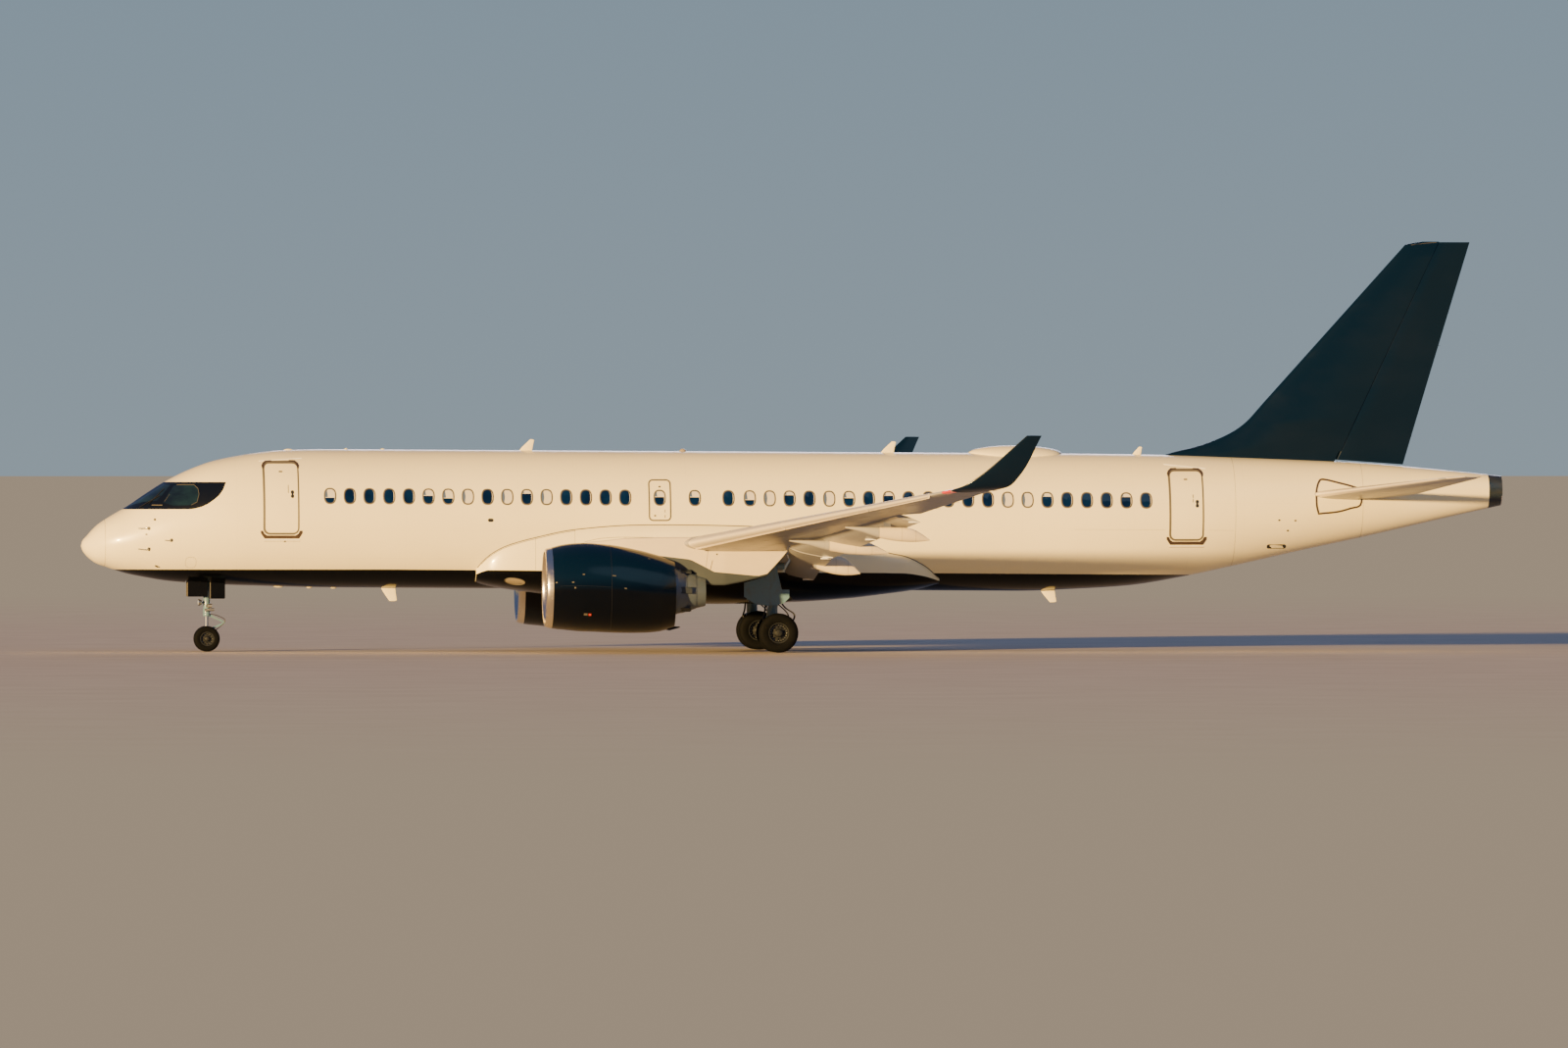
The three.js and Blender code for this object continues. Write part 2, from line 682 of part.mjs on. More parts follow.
// Nacelle, outside: station, height of the centre, radius
const NACELLE = [
  [12242, 1765, 1010],
  [12290, 1765, 1052],
  [12430, 1765, 1085],
  [12800, 1790, 1146],
  [13330, 1785, 1187],
  [14000, 1750, 1178],
  [14730, 1680, 1118],
  [15290, 1625, 1028],
  [15720, 1610, 905],
];
// Nacelle, inside: station, height of the centre, radius
const DUCT = [
  [12242, 1765, 975],
  [12330, 1765, 935],
  [12430, 1760, 925],
  [12900, 1745, 940],
  [13600, 1745, 945],
  [14900, 1662, 935],
  [15720, 1606, 878],
];
const LIP_REAR = 12430;

function nacelleLoft(table, fromStation, toStation, grow = 0) {
  const kept = table.filter(([station]) => station >= fromStation && station <= toStation);
  const overlap = grow === 0 ? 0 : Math.abs(grow);
  const rings = kept.map(([station, z, radius], i) => {
    const ends = (i === 0 ? -overlap : 0) + (i === kept.length - 1 ? overlap : 0);
    return Array.from({ length: DUCT_SIDES }, (_, k) => {
      const angle = (2 * Math.PI * k) / DUCT_SIDES;
      const r = radius + grow;
      const y = -ENGINE_Y + r * Math.sin(angle);
      return new THREE.Vector3(alongX(station) + ends, y, z + r * Math.cos(angle));
    });
  });
  return loft(rings);
}

function buildIntakeLip() {
  const ring = nacelleLoft(NACELLE, 0, LIP_REAR).subtract(nacelleLoft(DUCT, 0, LIP_REAR));
  const cut = alongX(LIP_REAR);
  return ring.subtract(box(cut - SEAM, cut + 100, -9000, 0, 0, 4000));
}

function buildCowl(grow = 0) {
  const outer = nacelleLoft(NACELLE, LIP_REAR, 16000, grow);
  return outer.subtract(nacelleLoft(DUCT, LIP_REAR, 16000, grow ? -grow : 0));
}

const engineCentre = (station) => [alongX(station), -ENGINE_Y, ENGINE_AXIS_Z];

// Fan blade: radius, half chord, half thickness, stagger from the axis
const BLADE = [
  [270, 105, 14, 26],
  [620, 140, 9, 46],
  [FAN_RADIUS, 125, 5, 60],
];
const SPINNER = [
  [0, -430],
  [60, -405],
  [160, -290],
  [250, -120],
  [300, 0],
  [300, 170],
  [110, 170],
  [110, 420],
  [0, 420],
];

function fanBlade() {
  const rings = BLADE.map(([radius, halfChord, thick, stagger]) => {
    const [c, s] = [Math.cos(radians(stagger)), Math.sin(radians(stagger))];
    const corners = [
      [-halfChord, 0],
      [0, thick],
      [halfChord, 0],
      [0, -thick],
    ];
    return corners.map(([along, across]) => {
      const x = along * c - across * s;
      const y = along * s + across * c;
      return new THREE.Vector3(x, y, radius);
    });
  });
  return loft(rings);
}

function buildFan() {
  const blade = fanBlade();
  const blades = Array.from({ length: FAN_BLADES }, (_, i) =>
    blade.rotate([(360 * i) / FAN_BLADES, 0, 0]),
  );
  const centre = engineCentre(FAN_STATION);
  const hub = turnedX(SPINNER, 16, [0, 0, 0]).translate([-90, 0, 0]);
  return join([hub, ...blades]).translate(centre);
}

// Engine core, one block with its cowl and nozzle: radius, station
const CORE = [
  [120, 13330],
  [430, 13330],
  [520, 13900],
  [625, 14800],
  [645, 15600],
  [560, 16030],
  [395, 16560],
  [363, 16560],
  [345, 16300],
  [190, 16390],
  [60, 16510],
  [0, 16520],
];
const CORE_TILT_DROP = 75; // the nozzle sits this much below the fan's axis
const VANES = 8;

function coreSolid(profile) {
  const shifted = profile.map(([radius, station]) => [radius, station - FAN_STATION]);
  return turnedX(shifted, 20, [0, 0, 0]);
}

// Leans the core so that its rear end sits lower than its front.
function leanCore(solid) {
  const length = 16560 - 13330;
  return solid.warp((p) => {
    p[2] -= (Math.max(0, p[0] - 270) / length) * CORE_TILT_DROP;
  });
}

function buildCore() {
  const outline = [[0, 13560], [120, 13560], ...CORE];
  const body = coreSolid(outline);
  const vanes = Array.from({ length: VANES }, (_, i) => {
    const vane = box(520, 760, -9, 9, 400, 916);
    return vane.rotate([(360 * (i + 0.5)) / VANES, 0, 0]);
  });
  return leanCore(join([body, ...vanes])).translate(engineCentre(FAN_STATION));
}

// Pylon, seen from the side: station, height
const PYLON = [
  [13300, 2880],
  [13380, 2990],
  [14400, 3095],
  [15350, 3120],
  [16100, 3120],
  [18870, 2980],
  [18900, 2880],
  [18230, 2080],
  [17600, 1928],
  [17085, 1831],
  [16800, 1831],
  [16534, 1880],
  [16200, 2190],
  [14700, 2190],
  [14500, 2500],
];
const PYLON_HALF_WIDTH = 185;
const PYLON_NOSE = [
  [13200, 0],
  [13500, 90],
  [14100, 165],
  [14900, 185],
  [17000, 185],
  [18950, 25],
];

function buildPylon() {
  const outline = PYLON.map(([station, z]) => [alongX(station), z]);
  const slab = slabXZ(outline, -ENGINE_Y - PYLON_HALF_WIDTH, -ENGINE_Y + PYLON_HALF_WIDTH);
  const half = PYLON_NOSE.map(([station, y]) => new THREE.Vector2(alongX(station), y));
  const back = [...half].reverse().map((p) => new THREE.Vector2(p.x, -p.y - 0.01));
  const plan = new THREE.ExtrudeGeometry(new THREE.Shape([...half, ...back.slice(0, -1)]), {
    depth: 3000,
    bevelEnabled: false,
  });
  const limits = solidOf(plan.translate(0, -ENGINE_Y, 500));
  const coreClear = leanCore(
    turnedX(
      [
        [0, 270],
        [440, 270],
        [637, 1740],
        [657, 2540],
        [572, 2970],
        [407, 3520],
        [0, 3520],
      ],
      24,
      [0, 0, 0],
    ),
  ).translate(engineCentre(FAN_STATION));
  return slab.intersect(limits).subtract(buildCowl(3)).subtract(wingClear).subtract(coreClear);
}

// A tyre's section: radius and distance from the middle, both as shares
const TYRE_SECTION = [
  [0, 0.36],
  [0.3, 0.49],
  [0.74, 0.48],
  [1, 0.27],
  [1, -0.27],
  [0.74, -0.48],
  [0.3, -0.49],
  [0, -0.36],
  [0, 0.36],
];
const TYRE_SIDES = 24;

function tyre(rim, radius, width, centre) {
  const profile = TYRE_SECTION.map(([share, across]) => [mix(rim, radius, share), across * width]);
  return turnedY(profile.reverse(), TYRE_SIDES, centre);
}

// Two wheels on the live axle that joins them. inner is how deep the wheel's outer face is dished.
function wheelPair({ rim, width, halfTrack, axle, dish }, centre) {
  const wheel = [
    [0, -width * 0.36],
    [rim - 14, -width * 0.36],
    [rim - 1.5, -width * 0.33],
    [rim - 1.5, width * 0.33],
    [rim - 14, width * 0.36],
    [rim * 0.84, width * 0.36],
    [rim * 0.78, width * 0.36 - dish],
    [axle * 1.55, width * 0.36 - dish],
    [axle * 1.35, width * 0.42],
    [0, width * 0.42],
  ];
  const outer = turnedY(wheel, TYRE_SIDES, [0, 0, 0]);
  const shaft = bar([0, -halfTrack, 0], [0, halfTrack, 0], axle, axle, 16);
  const right = outer.translate([0, halfTrack, 0]);
  return join([right, mirrorY(right), shaft]).translate(centre);
}

// Axle housing across the foot of a leg, with a running bore
function axleHousing(centre, halfLength, radius, bore) {
  const [x, y, z] = centre;
  const housing = bar([x, y - halfLength, z], [x, y + halfLength, z], radius, radius, 16);
  const hole = bar([x, y - 400, z], [x, y + 400, z], bore, bore, 16);
  return { housing, hole };
}

// Scissor link beside a leg: two flat arms that meet at an elbow
function torqueLinks(x, y, high, low, reach, halfWidth) {
  const elbow = [x + reach, (high + low) / 2];
  const arm = (z) => {
    const tilt = 42;
    const outline = [
      [x, z - tilt],
      [elbow[0], elbow[1] - tilt * 0.7],
      [elbow[0], elbow[1] + tilt * 0.7],
      [x, z + tilt],
    ];
    return slabXZ(outline, y - halfWidth, y + halfWidth);
  };
  return arm(high).add(arm(low));
}

// Round flat pads for a jack, below each axle: height of the face over the ground
const JACK_PAD = { main: 360, nose: 235, radius: 42 };

// Main leg: heights of its upper cylinder's foot and its piston
const MAIN_LEG = { radius: 150, pistonRadius: 100, cylinderFoot: 900, top: 2520, offset: -135 };

function buildMainLeg() {
  const axleX = alongX(MAIN_GEAR_STATION);
  const x = axleX + MAIN_LEG.offset;
  const y = -MAIN_GEAR_Y;
  const axle = [axleX, y, MAIN_TYRE_RADIUS];
  const { housing, hole } = axleHousing(axle, 165, 125, 82);
  const cylinder = bar([x, y, MAIN_LEG.cylinderFoot], [x, y, MAIN_LEG.top], MAIN_LEG.radius);
  const piston = bar([x, y, MAIN_TYRE_RADIUS], [x, y, 1000], MAIN_LEG.pistonRadius);
  const foot = box(x - 60, axleX + 30, y - 110, y + 110, 440, 640);
  const links = torqueLinks(x + 60, y, 1060, 700, 330, 60);
  const stay = bar([x, y, 1400], [x, -1990, 2150], 62);
  const trunnion = bar([x - 330, y, 2330], [x + 330, y, 2330], 90);
  const brackets = box(x - 60, x + 60, y - 282, y, 1500, 1600);
  const pad = bar([axleX, y, JACK_PAD.main], [axleX, y, JACK_PAD.main + 90], JACK_PAD.radius);
  const leg = join([cylinder, piston, foot, links, stay, trunnion, brackets, housing, pad]);
  return leg.subtract(hole).subtract(wingClear).subtract(fairingClear);
}

// Leg door, outboard of the main leg: station, height
const LEG_DOOR = [
  [17770, 1884],
  [18382, 2053],
  [18640, 2350],
  [18790, 1700],
  [18997, 1693],
  [18997, 1476],
  [18839, 1318],
  [18443, 1259],
  [18107, 1293],
  [17770, 1504],
];

function buildLegDoor() {
  const y = -MAIN_GEAR_Y - 300;
  const outline = LEG_DOOR.map(([station, z]) => [alongX(station), z]);
  return slabXZ(outline, y - 16, y + 16).subtract(wingClear);
}

// Nose leg: the fixed cylinder, and the steered piston in its foot
const NOSE_LEG = { radius: 92, foot: 1060, piston: 62, bore: 70, pistonTop: 1250, trail: 0 };

function buildNoseLeg() {
  const x = alongX(NOSE_GEAR_STATION);
  const cylinder = bar([x, 0, NOSE_LEG.foot], [x, 0, BAY.roof - SEAM], NOSE_LEG.radius);
  const bore = bar([x, 0, 900], [x, 0, NOSE_LEG.pistonTop + 12], NOSE_LEG.bore);
  const brace = bar([x, 0, 1500], [alongX(BAY.stations[0]) + 60, 0, 2380], 48);
  const trunnion = bar([x, -BAY.halfWidth + 1, 2380], [x, BAY.halfWidth - 1, 2380], 60);
  const lamps = bar([x - 160, -170, 1330], [x - 160, 170, 1330], 26);
  const lampHeads = [-110, 110].map((y) => bar([x - 230, y, 1330], [x - 130, y, 1330], 88, 60));
  const stem = bar([x - 160, 0, 1330], [x, 0, 1330], 30);
  return join([cylinder, brace, trunnion, lamps, stem, ...lampHeads]).subtract(bore);
}

function buildNoseStrut() {
  const x = alongX(NOSE_GEAR_STATION);
  const axle = [x + NOSE_LEG.trail, 0, NOSE_TYRE_RADIUS];
  const { housing, hole } = axleHousing(axle, 72, 78, 50);
  const piston = bar([x, 0, NOSE_TYRE_RADIUS], [x, 0, NOSE_LEG.pistonTop], NOSE_LEG.piston);
  const collar = bar([x, 0, 960], [x, 0, NOSE_LEG.foot - 6], 98);
  const links = torqueLinks(x + 40, 0, 1000, 575, 430, 30);
  const pad = bar([x, 0, JACK_PAD.nose], [x, 0, JACK_PAD.nose + 70], JACK_PAD.radius);
  return join([piston, collar, links, housing, pad]).subtract(hole);
}

// Nose gear doors: two panels each side, hung from one hinge strip. A panel: stations, its foot
const NOSE_DOORS = {
  panels: [
    [[2925, 3470], 1489],
    [[3545, 3945], 1433],
  ],
  y: 298,
  thickness: 24,
  top: 2010,
  strip: 60,
};

function buildNoseDoor() {
  const { panels, y, thickness, top, strip } = NOSE_DOORS;
  const plate = ([from, to], foot) => box(alongX(from), alongX(to), -y - thickness, -y, foot, top);
  const ends = [panels[0][0][0], panels[1][0][1]];
  return join([...panels.map(([stations, foot]) => plate(stations, foot)), plate(ends, top - strip)]);
}

const fairingClear = fairingSkin(SEAM);
const wingClear = wingSkin(SEAM);

addPiece("fuselage", buildFuselage(), white);
const wells = wheelWell(-1).add(wheelWell(1));
addPiece("belly_fairing", fairingSkin().subtract(skinClear).subtract(wells), white);

for (const side of ["left", "right"]) {
  const add = (name, solid, material) => addPiece(`${name}_${side}`, onSide(side, solid), material);
  add("wing", buildWing(), white);
  add("slat", buildSlat(), polished);
  add("flap_inboard", buildFlap("inboard"), paleGrey);
  add("flap_outboard", buildFlap("outboard"), paleGrey);
  add("aileron", buildAileron(), paleGrey);
  add("winglet", buildWinglet(), navy);
  add("stabiliser", buildStabiliser(), white);
  add("elevator", buildElevator(), paleGrey);
  add("intake_lip", buildIntakeLip(), polished);
  add("cowl", buildCowl(), navy);
  add("fan", buildFan(), titanium);
  add("engine_core", buildCore(), titanium);
  add("pylon", buildPylon(), white);
  add("main_leg", buildMainLeg(), gearWhite);
  add("leg_door", buildLegDoor(), gearWhite);
  add("nose_door", buildNoseDoor(), black);
}

addPiece("fin", buildFin(), navy);
addPiece("rudder", buildRudder(), navy);
addPiece("nose_leg", buildNoseLeg(), steel);
addPiece("nose_strut", buildNoseStrut(), steel);

const NOSE_WHEEL = {
  rim: NOSE_RIM_RADIUS,
  width: NOSE_TYRE_WIDTH,
  halfTrack: NOSE_HALF_TRACK,
  axle: 43,
  dish: 40,
};
const MAIN_WHEEL = {
  rim: MAIN_RIM_RADIUS,
  width: MAIN_TYRE_WIDTH,
  halfTrack: MAIN_HALF_TRACK,
  axle: 75,
  dish: 90,
};
const noseAxle = [alongX(NOSE_GEAR_STATION) + NOSE_LEG.trail, 0, NOSE_TYRE_RADIUS];
addPiece("nose_wheels", wheelPair(NOSE_WHEEL, noseAxle), steel);
for (const [side, y] of [["left", -1], ["right", 1]]) {
  const centre = [noseAxle[0], y * NOSE_HALF_TRACK, noseAxle[2]];
  const made = tyre(NOSE_RIM_RADIUS, NOSE_TYRE_RADIUS, NOSE_TYRE_WIDTH, centre);
  addPiece(`nose_tyre_${side}`, made, rubber);
}
for (const [side, y] of [["left", -1], ["right", 1]]) {
  const centre = [alongX(MAIN_GEAR_STATION), y * MAIN_GEAR_Y, MAIN_TYRE_RADIUS];
  addPiece(`main_wheels_${side}`, wheelPair(MAIN_WHEEL, centre), steel);
  for (const [which, away] of [["outer", 1], ["inner", -1]]) {
    const at = [centre[0], centre[1] + y * away * MAIN_HALF_TRACK, centre[2]];
    const made = tyre(MAIN_RIM_RADIUS, MAIN_TYRE_RADIUS, MAIN_TYRE_WIDTH, at);
    addPiece(`main_tyre_${side}_${which}`, made, rubber);
  }
}

export default part;
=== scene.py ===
"""A parked single-aisle airliner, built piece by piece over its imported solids.

Metres, +Z up. The nose points to -X and the left wing to -Y. Stations are distances from a datum
just ahead of the nose.
"""

import math
import random

import bmesh
import bpy
import numpy as np
from mathutils import Matrix, Vector


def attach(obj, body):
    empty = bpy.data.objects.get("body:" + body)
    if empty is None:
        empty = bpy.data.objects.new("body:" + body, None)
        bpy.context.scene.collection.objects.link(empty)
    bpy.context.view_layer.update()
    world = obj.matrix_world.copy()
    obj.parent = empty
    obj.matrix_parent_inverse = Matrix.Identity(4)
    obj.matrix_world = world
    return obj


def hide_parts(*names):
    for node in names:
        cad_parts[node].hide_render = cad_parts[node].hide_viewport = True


bl_info = {
    "name": "Single-aisle airliner",
    "version": (1, 0, 0),
    "blender": (4, 5, 0),
    "location": "View3D > Sidebar > Airliner",
    "description": "Builds a parked single-aisle airliner piece by piece",
    "category": "Object",
}

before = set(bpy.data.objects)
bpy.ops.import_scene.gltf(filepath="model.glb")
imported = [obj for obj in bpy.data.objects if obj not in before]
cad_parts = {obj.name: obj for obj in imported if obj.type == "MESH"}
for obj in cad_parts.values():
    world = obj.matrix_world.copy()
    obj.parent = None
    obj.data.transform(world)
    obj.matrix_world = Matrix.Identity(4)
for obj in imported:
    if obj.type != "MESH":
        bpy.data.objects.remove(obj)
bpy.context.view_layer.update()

LENGTH = 38.71
NOSE_STATION = 0.058
TAIL_STATION = NOSE_STATION + LENGTH
DECK_HEIGHT = 3.616
DECK_SLOPE = 0.0058
ENGINE_Y = 5.65
ENGINE_AXIS_Z = 1.745
FAN_STATION = 13.06
NOSE_GEAR = 3.46
NOSE_AXLE_Z = 0.347
MAIN_GEAR = 18.69
MAIN_GEAR_Y = 3.365
MAIN_AXLE_Z = 0.53

SIDES = {"left": -1, "right": 1}


def along(station):
    return station - NOSE_STATION - LENGTH / 2


def deck(station):
    return DECK_HEIGHT - DECK_SLOPE * station


def smooth_curve(xs, ys):
    """A curve through the points that never overshoots them."""
    xs, ys = np.asarray(xs, float), np.asarray(ys, float)
    step = np.diff(xs)
    rise = np.diff(ys) / step
    slopes = np.zeros(len(xs))
    slopes[0], slopes[-1] = rise[0], rise[-1]
    for i in range(1, len(xs) - 1):
        if rise[i - 1] * rise[i] > 0:
            a, b = 2 * step[i] + step[i - 1], step[i] + 2 * step[i - 1]
            slopes[i] = (a + b) / (a / rise[i - 1] + b / rise[i])

    def value(x):
        k = int(np.clip(np.searchsorted(xs, x) - 1, 0, len(step) - 1))
        t = (min(max(x, xs[0]), xs[-1]) - xs[k]) / step[k]
        low = (1 + 2 * t) * (1 - t) ** 2 * ys[k] + t * (1 - t) ** 2 * step[k] * slopes[k]
        high = t * t * (3 - 2 * t) * ys[k + 1] + t * t * (t - 1) * step[k] * slopes[k + 1]
        return float(low + high)

    return value


def straight_curve(xs, ys):
    return lambda x: float(np.interp(x, xs, ys))


def columns(table, shape=smooth_curve):
    """A curve over the first column for each of the others."""
    first, *others = zip(*table)
    return [shape(first, other) for other in others]


def evenly(start, end, count):
    return [float(value) for value in np.linspace(start, end, count)]


def circle(count):
    """Cosine and sine of so many even turns."""
    angles = [2 * math.pi * k / count for k in range(count)]
    return [(math.cos(angle), math.sin(angle)) for angle in angles]


# Geometry on its way to a mesh


class Form:
    """Points, faces, and the number of each face's paint."""

    def __init__(self, points=(), faces=()):
        self.points = [tuple(p) for p in points]
        self.faces = [tuple(f) for f in faces]
        self.paints = [0] * len(self.faces)

    def add(self, other, paint=None):
        base = len(self.points)
        self.points += other.points
        self.faces += [tuple(i + base for i in face) for face in other.faces]
        self.paints += other.paints if paint is None else [paint] * len(other.faces)
        return self

    def mapped(self, change):
        """The same faces and paints on changed points."""
        out = Form([change(*point) for point in self.points], self.faces)
        out.paints = list(self.paints)
        return out

    def changed(self, matrix):
        return self.mapped(lambda *point: matrix @ Vector(point))

    def moved(self, x=0.0, y=0.0, z=0.0):
        return self.changed(Matrix.Translation((x, y, z)))

    def turned(self, degrees, axis):
        return self.changed(Matrix.Rotation(math.radians(degrees), 4, axis))

    def mirrored(self):
        out = self.mapped(lambda x, y, z: (x, -y, z))
        out.faces = [face[::-1] for face in out.faces]
        return out

    def on_side(self, side):
        """The left-hand form as it is, or its mirror image."""
        return self if side == "left" else self.mirrored()


def loft(rings, caps=True, closed=True):
    """Skins rings that have the same number of points."""
    count = len(rings[0])
    points = [p for ring in rings for p in ring]
    faces = []
    for k in range(len(rings) - 1):
        for i in range(count if closed else count - 1):
            j = (i + 1) % count
            a, b = k * count, (k + 1) * count
            faces.append((a + i, a + j, b + j, b + i))
    if caps:
        faces.append(tuple(reversed(range(count))))
        faces.append(tuple(range((len(rings) - 1) * count, len(rings) * count)))
    return Form(points, faces)


def closed_strip(loops):
    """A closed band through loops of as many points, its last loop joined to the first."""
    rings = [list(points) for points in zip(*loops)]
    return loft([*rings, rings[0]], caps=False)


def revolve(profile, sides, axis, centre=(0, 0, 0), closed=False):
    """Turns (radius, distance) pairs about an axis through the centre."""
    rings = []
    for c, s in circle(sides):
        place = {
            "X": lambda r, d: (d, r * s, r * c),
            "Y": lambda r, d: (r * s, d, r * c),
            "Z": lambda r, d: (r * c, r * s, d),
        }[axis]
        rings.append([tuple(np.add(place(r, d), centre)) for r, d in profile])
    return loft([*rings, rings[0]], caps=False, closed=closed)


def tube(path, radius, sides, ends=True):
    """A round tube along points. radius is one number or one for each point."""
    path = [Vector(p) for p in path]
    radii = radius if isinstance(radius, (list, tuple)) else [radius] * len(path)
    rings = []
    across = None
    for i, point in enumerate(path):
        ahead = (path[min(i + 1, len(path) - 1)] - path[max(i - 1, 0)]).normalized()
        if across is None:
            across = ahead.orthogonal().normalized()
        across = (across - ahead * across.dot(ahead)).normalized()
        other = ahead.cross(across)
        rings.append([point + radii[i] * (across * c + other * s) for c, s in circle(sides)])
    return loft(rings, caps=ends)


def bent(points, steps):
    """A smooth path through a few points."""
    points = [np.asarray(p, float) for p in points]
    ends = [2 * points[0] - points[1], *points, 2 * points[-1] - points[-2]]
    path = []
    for a, b, c, d in zip(ends, ends[1:], ends[2:], ends[3:]):
        for k in range(steps):
            t = k / steps
            cubic = 2 * a - 5 * b + 4 * c - d + t * (3 * (b - c) + d - a)
            path.append(tuple(b + 0.5 * t * (c - a + t * cubic)))
    return [*path, tuple(points[-1])]


def block(low, high, bevel=0.0):
    """A box, its edges along X cut off where a bevel is given."""
    (x0, y0, z0), (x1, y1, z1) = low, high
    b = bevel
    outline = [(y0 + b, z0), (y1 - b, z0), (y1, z0 + b), (y1, z1 - b)]
    outline += [(y1 - b, z1), (y0 + b, z1), (y0, z1 - b), (y0, z0 + b)]
    if not b:
        outline = outline[::2]
    return loft([[(x, y, z) for y, z in outline] for x in (x0, x1)])


def side_plate(outline, y0, y1, bevel):
    """An outline in x and z made a plate from one y to another, its outer edges cut off."""
    middle = np.mean(outline, axis=0)
    rings = []
    for y, inset in ((y0, bevel), (y0 + math.copysign(bevel, y1 - y0), 0), (y1, 0)):
        points = []
        for p in np.asarray(outline, float):
            inwards = (middle - p) / np.linalg.norm(middle - p)
            points.append(tuple(np.insert(p + inwards * inset, 1, y)))
        rings.append(points)
    return loft(rings)


MERGE_DISTANCE = 2e-5


def mesh_of(name, form, paints, sharp=32):
    """A clean mesh with its faces pointing outwards."""
    mesh = bpy.data.meshes.new(name)
    mesh.from_pydata(form.points, [], form.faces)
    for paint in paints:
        mesh.materials.append(bpy.data.materials[paint])
    mesh.polygons.foreach_set("material_index", form.paints)
    work = bmesh.new()
    work.from_mesh(mesh)
    bmesh.ops.remove_doubles(work, verts=work.verts, dist=MERGE_DISTANCE)
    bmesh.ops.dissolve_degenerate(work, edges=work.edges, dist=MERGE_DISTANCE)
    bmesh.ops.recalc_face_normals(work, faces=work.faces)
    work.to_mesh(mesh)
    work.free()
    return shaded(mesh, sharp)


def shaded(mesh, sharp=32):
    mesh.shade_smooth()
    mesh.set_sharp_from_angle(angle=math.radians(sharp))
    return mesh


def placed(name, mesh, body="airframe", stands_for=()):
    """The mesh as a finished piece on its body."""
    piece = bpy.data.objects.new(name, mesh)
    bpy.context.scene.collection.objects.link(piece)
    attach(piece, body)
    if stands_for:
        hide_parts(*stands_for)
    return piece


def make(name, form, paints, body="airframe", stands_for=(), sharp=32):
    return placed(name, mesh_of(name, form, paints, sharp), body, stands_for)


def make_side(side, name, form, paints, body="airframe", stands_for="", sharp=32):
    """A left-hand form as a piece on either side. {} in a name stands for the side."""
    stands = (stands_for.format(side),) if stands_for else ()
    make(name.format(side), form.on_side(side), paints, body.format(side), stands, sharp)


def carved(mesh, cutters, keep="DIFFERENCE"):
    """The mesh less its cutters, each a mesh whose own paint lines the cut."""
    scene = bpy.context.scene
    work = bpy.data.objects.new("work", mesh)
    scene.collection.objects.link(work)
    tools = []
    for cutter in cutters:
        tool = bpy.data.objects.new("cutter", cutter)
        scene.collection.objects.link(tool)
        tools.append(tool)
        cut = work.modifiers.new("cut", "BOOLEAN")
        cut.object = tool
        cut.operation = keep
        cut.solver = "EXACT"
        cut.material_mode = "TRANSFER"
    bpy.context.view_layer.update()
    graph = bpy.context.evaluated_depsgraph_get()
    result = bpy.data.meshes.new_from_object(work.evaluated_get(graph))
    for thing in (work, *tools):
        bpy.data.objects.remove(thing)
    if not result.polygons:
        raise RuntimeError("a cut left nothing of " + mesh.name)
    return result


# Geometry Nodes: the two rules by which small pieces repeat


def new_tree(name, sockets):
    """A node group with named inputs, its input node and its output node."""
    tree = bpy.data.node_groups.new(name, "GeometryNodeTree")
    for title, kind in sockets.items():
        tree.interface.new_socket(name=title, in_out="INPUT", socket_type="NodeSocket" + kind)
    tree.interface.new_socket(name="Geometry", in_out="OUTPUT", socket_type="NodeSocketGeometry")
    return tree, tree.nodes.new("NodeGroupInput"), tree.nodes.new("NodeGroupOutput")


def join(tree, *links):
    """Links sockets. Each link: node and output, node and input."""
    for source, output, target, entry in links:
        tree.links.new(source.outputs[output], target.inputs[entry])


def end_tree(tree, given, result, put):
    realize = tree.nodes.new("GeometryNodeRealizeInstances")
    paint = tree.nodes.new("GeometryNodeSetMaterial")
    join(
        tree,
        (put, "Instances", realize, "Geometry"),
        (realize, "Geometry", paint, "Geometry"),
        (given, "Paint", paint, "Material"),
        (paint, "Geometry", result, "Geometry"),
    )


def row_tree():
    """One small piece on every point of a mesh, turned to suit the point if it says how."""
    sockets = {"Points": "Geometry", "Piece": "Object", "Size": "Float", "Paint": "Material"}
    tree, given, result = new_tree("Set on points", sockets)
    info = tree.nodes.new("GeometryNodeObjectInfo")
    turn = tree.nodes.new("GeometryNodeInputNamedAttribute")
    turn.data_type = "FLOAT_VECTOR"
    turn.inputs["Name"].default_value = "turn"
    put = tree.nodes.new("GeometryNodeInstanceOnPoints")
    join(
        tree,
        (given, "Piece", info, "Object"),
        (given, "Points", put, "Points"),
        (info, "Geometry", put, "Instance"),
        (turn, "Attribute", put, "Rotation"),
        (given, "Size", put, "Scale"),
    )
    end_tree(tree, given, result, put)


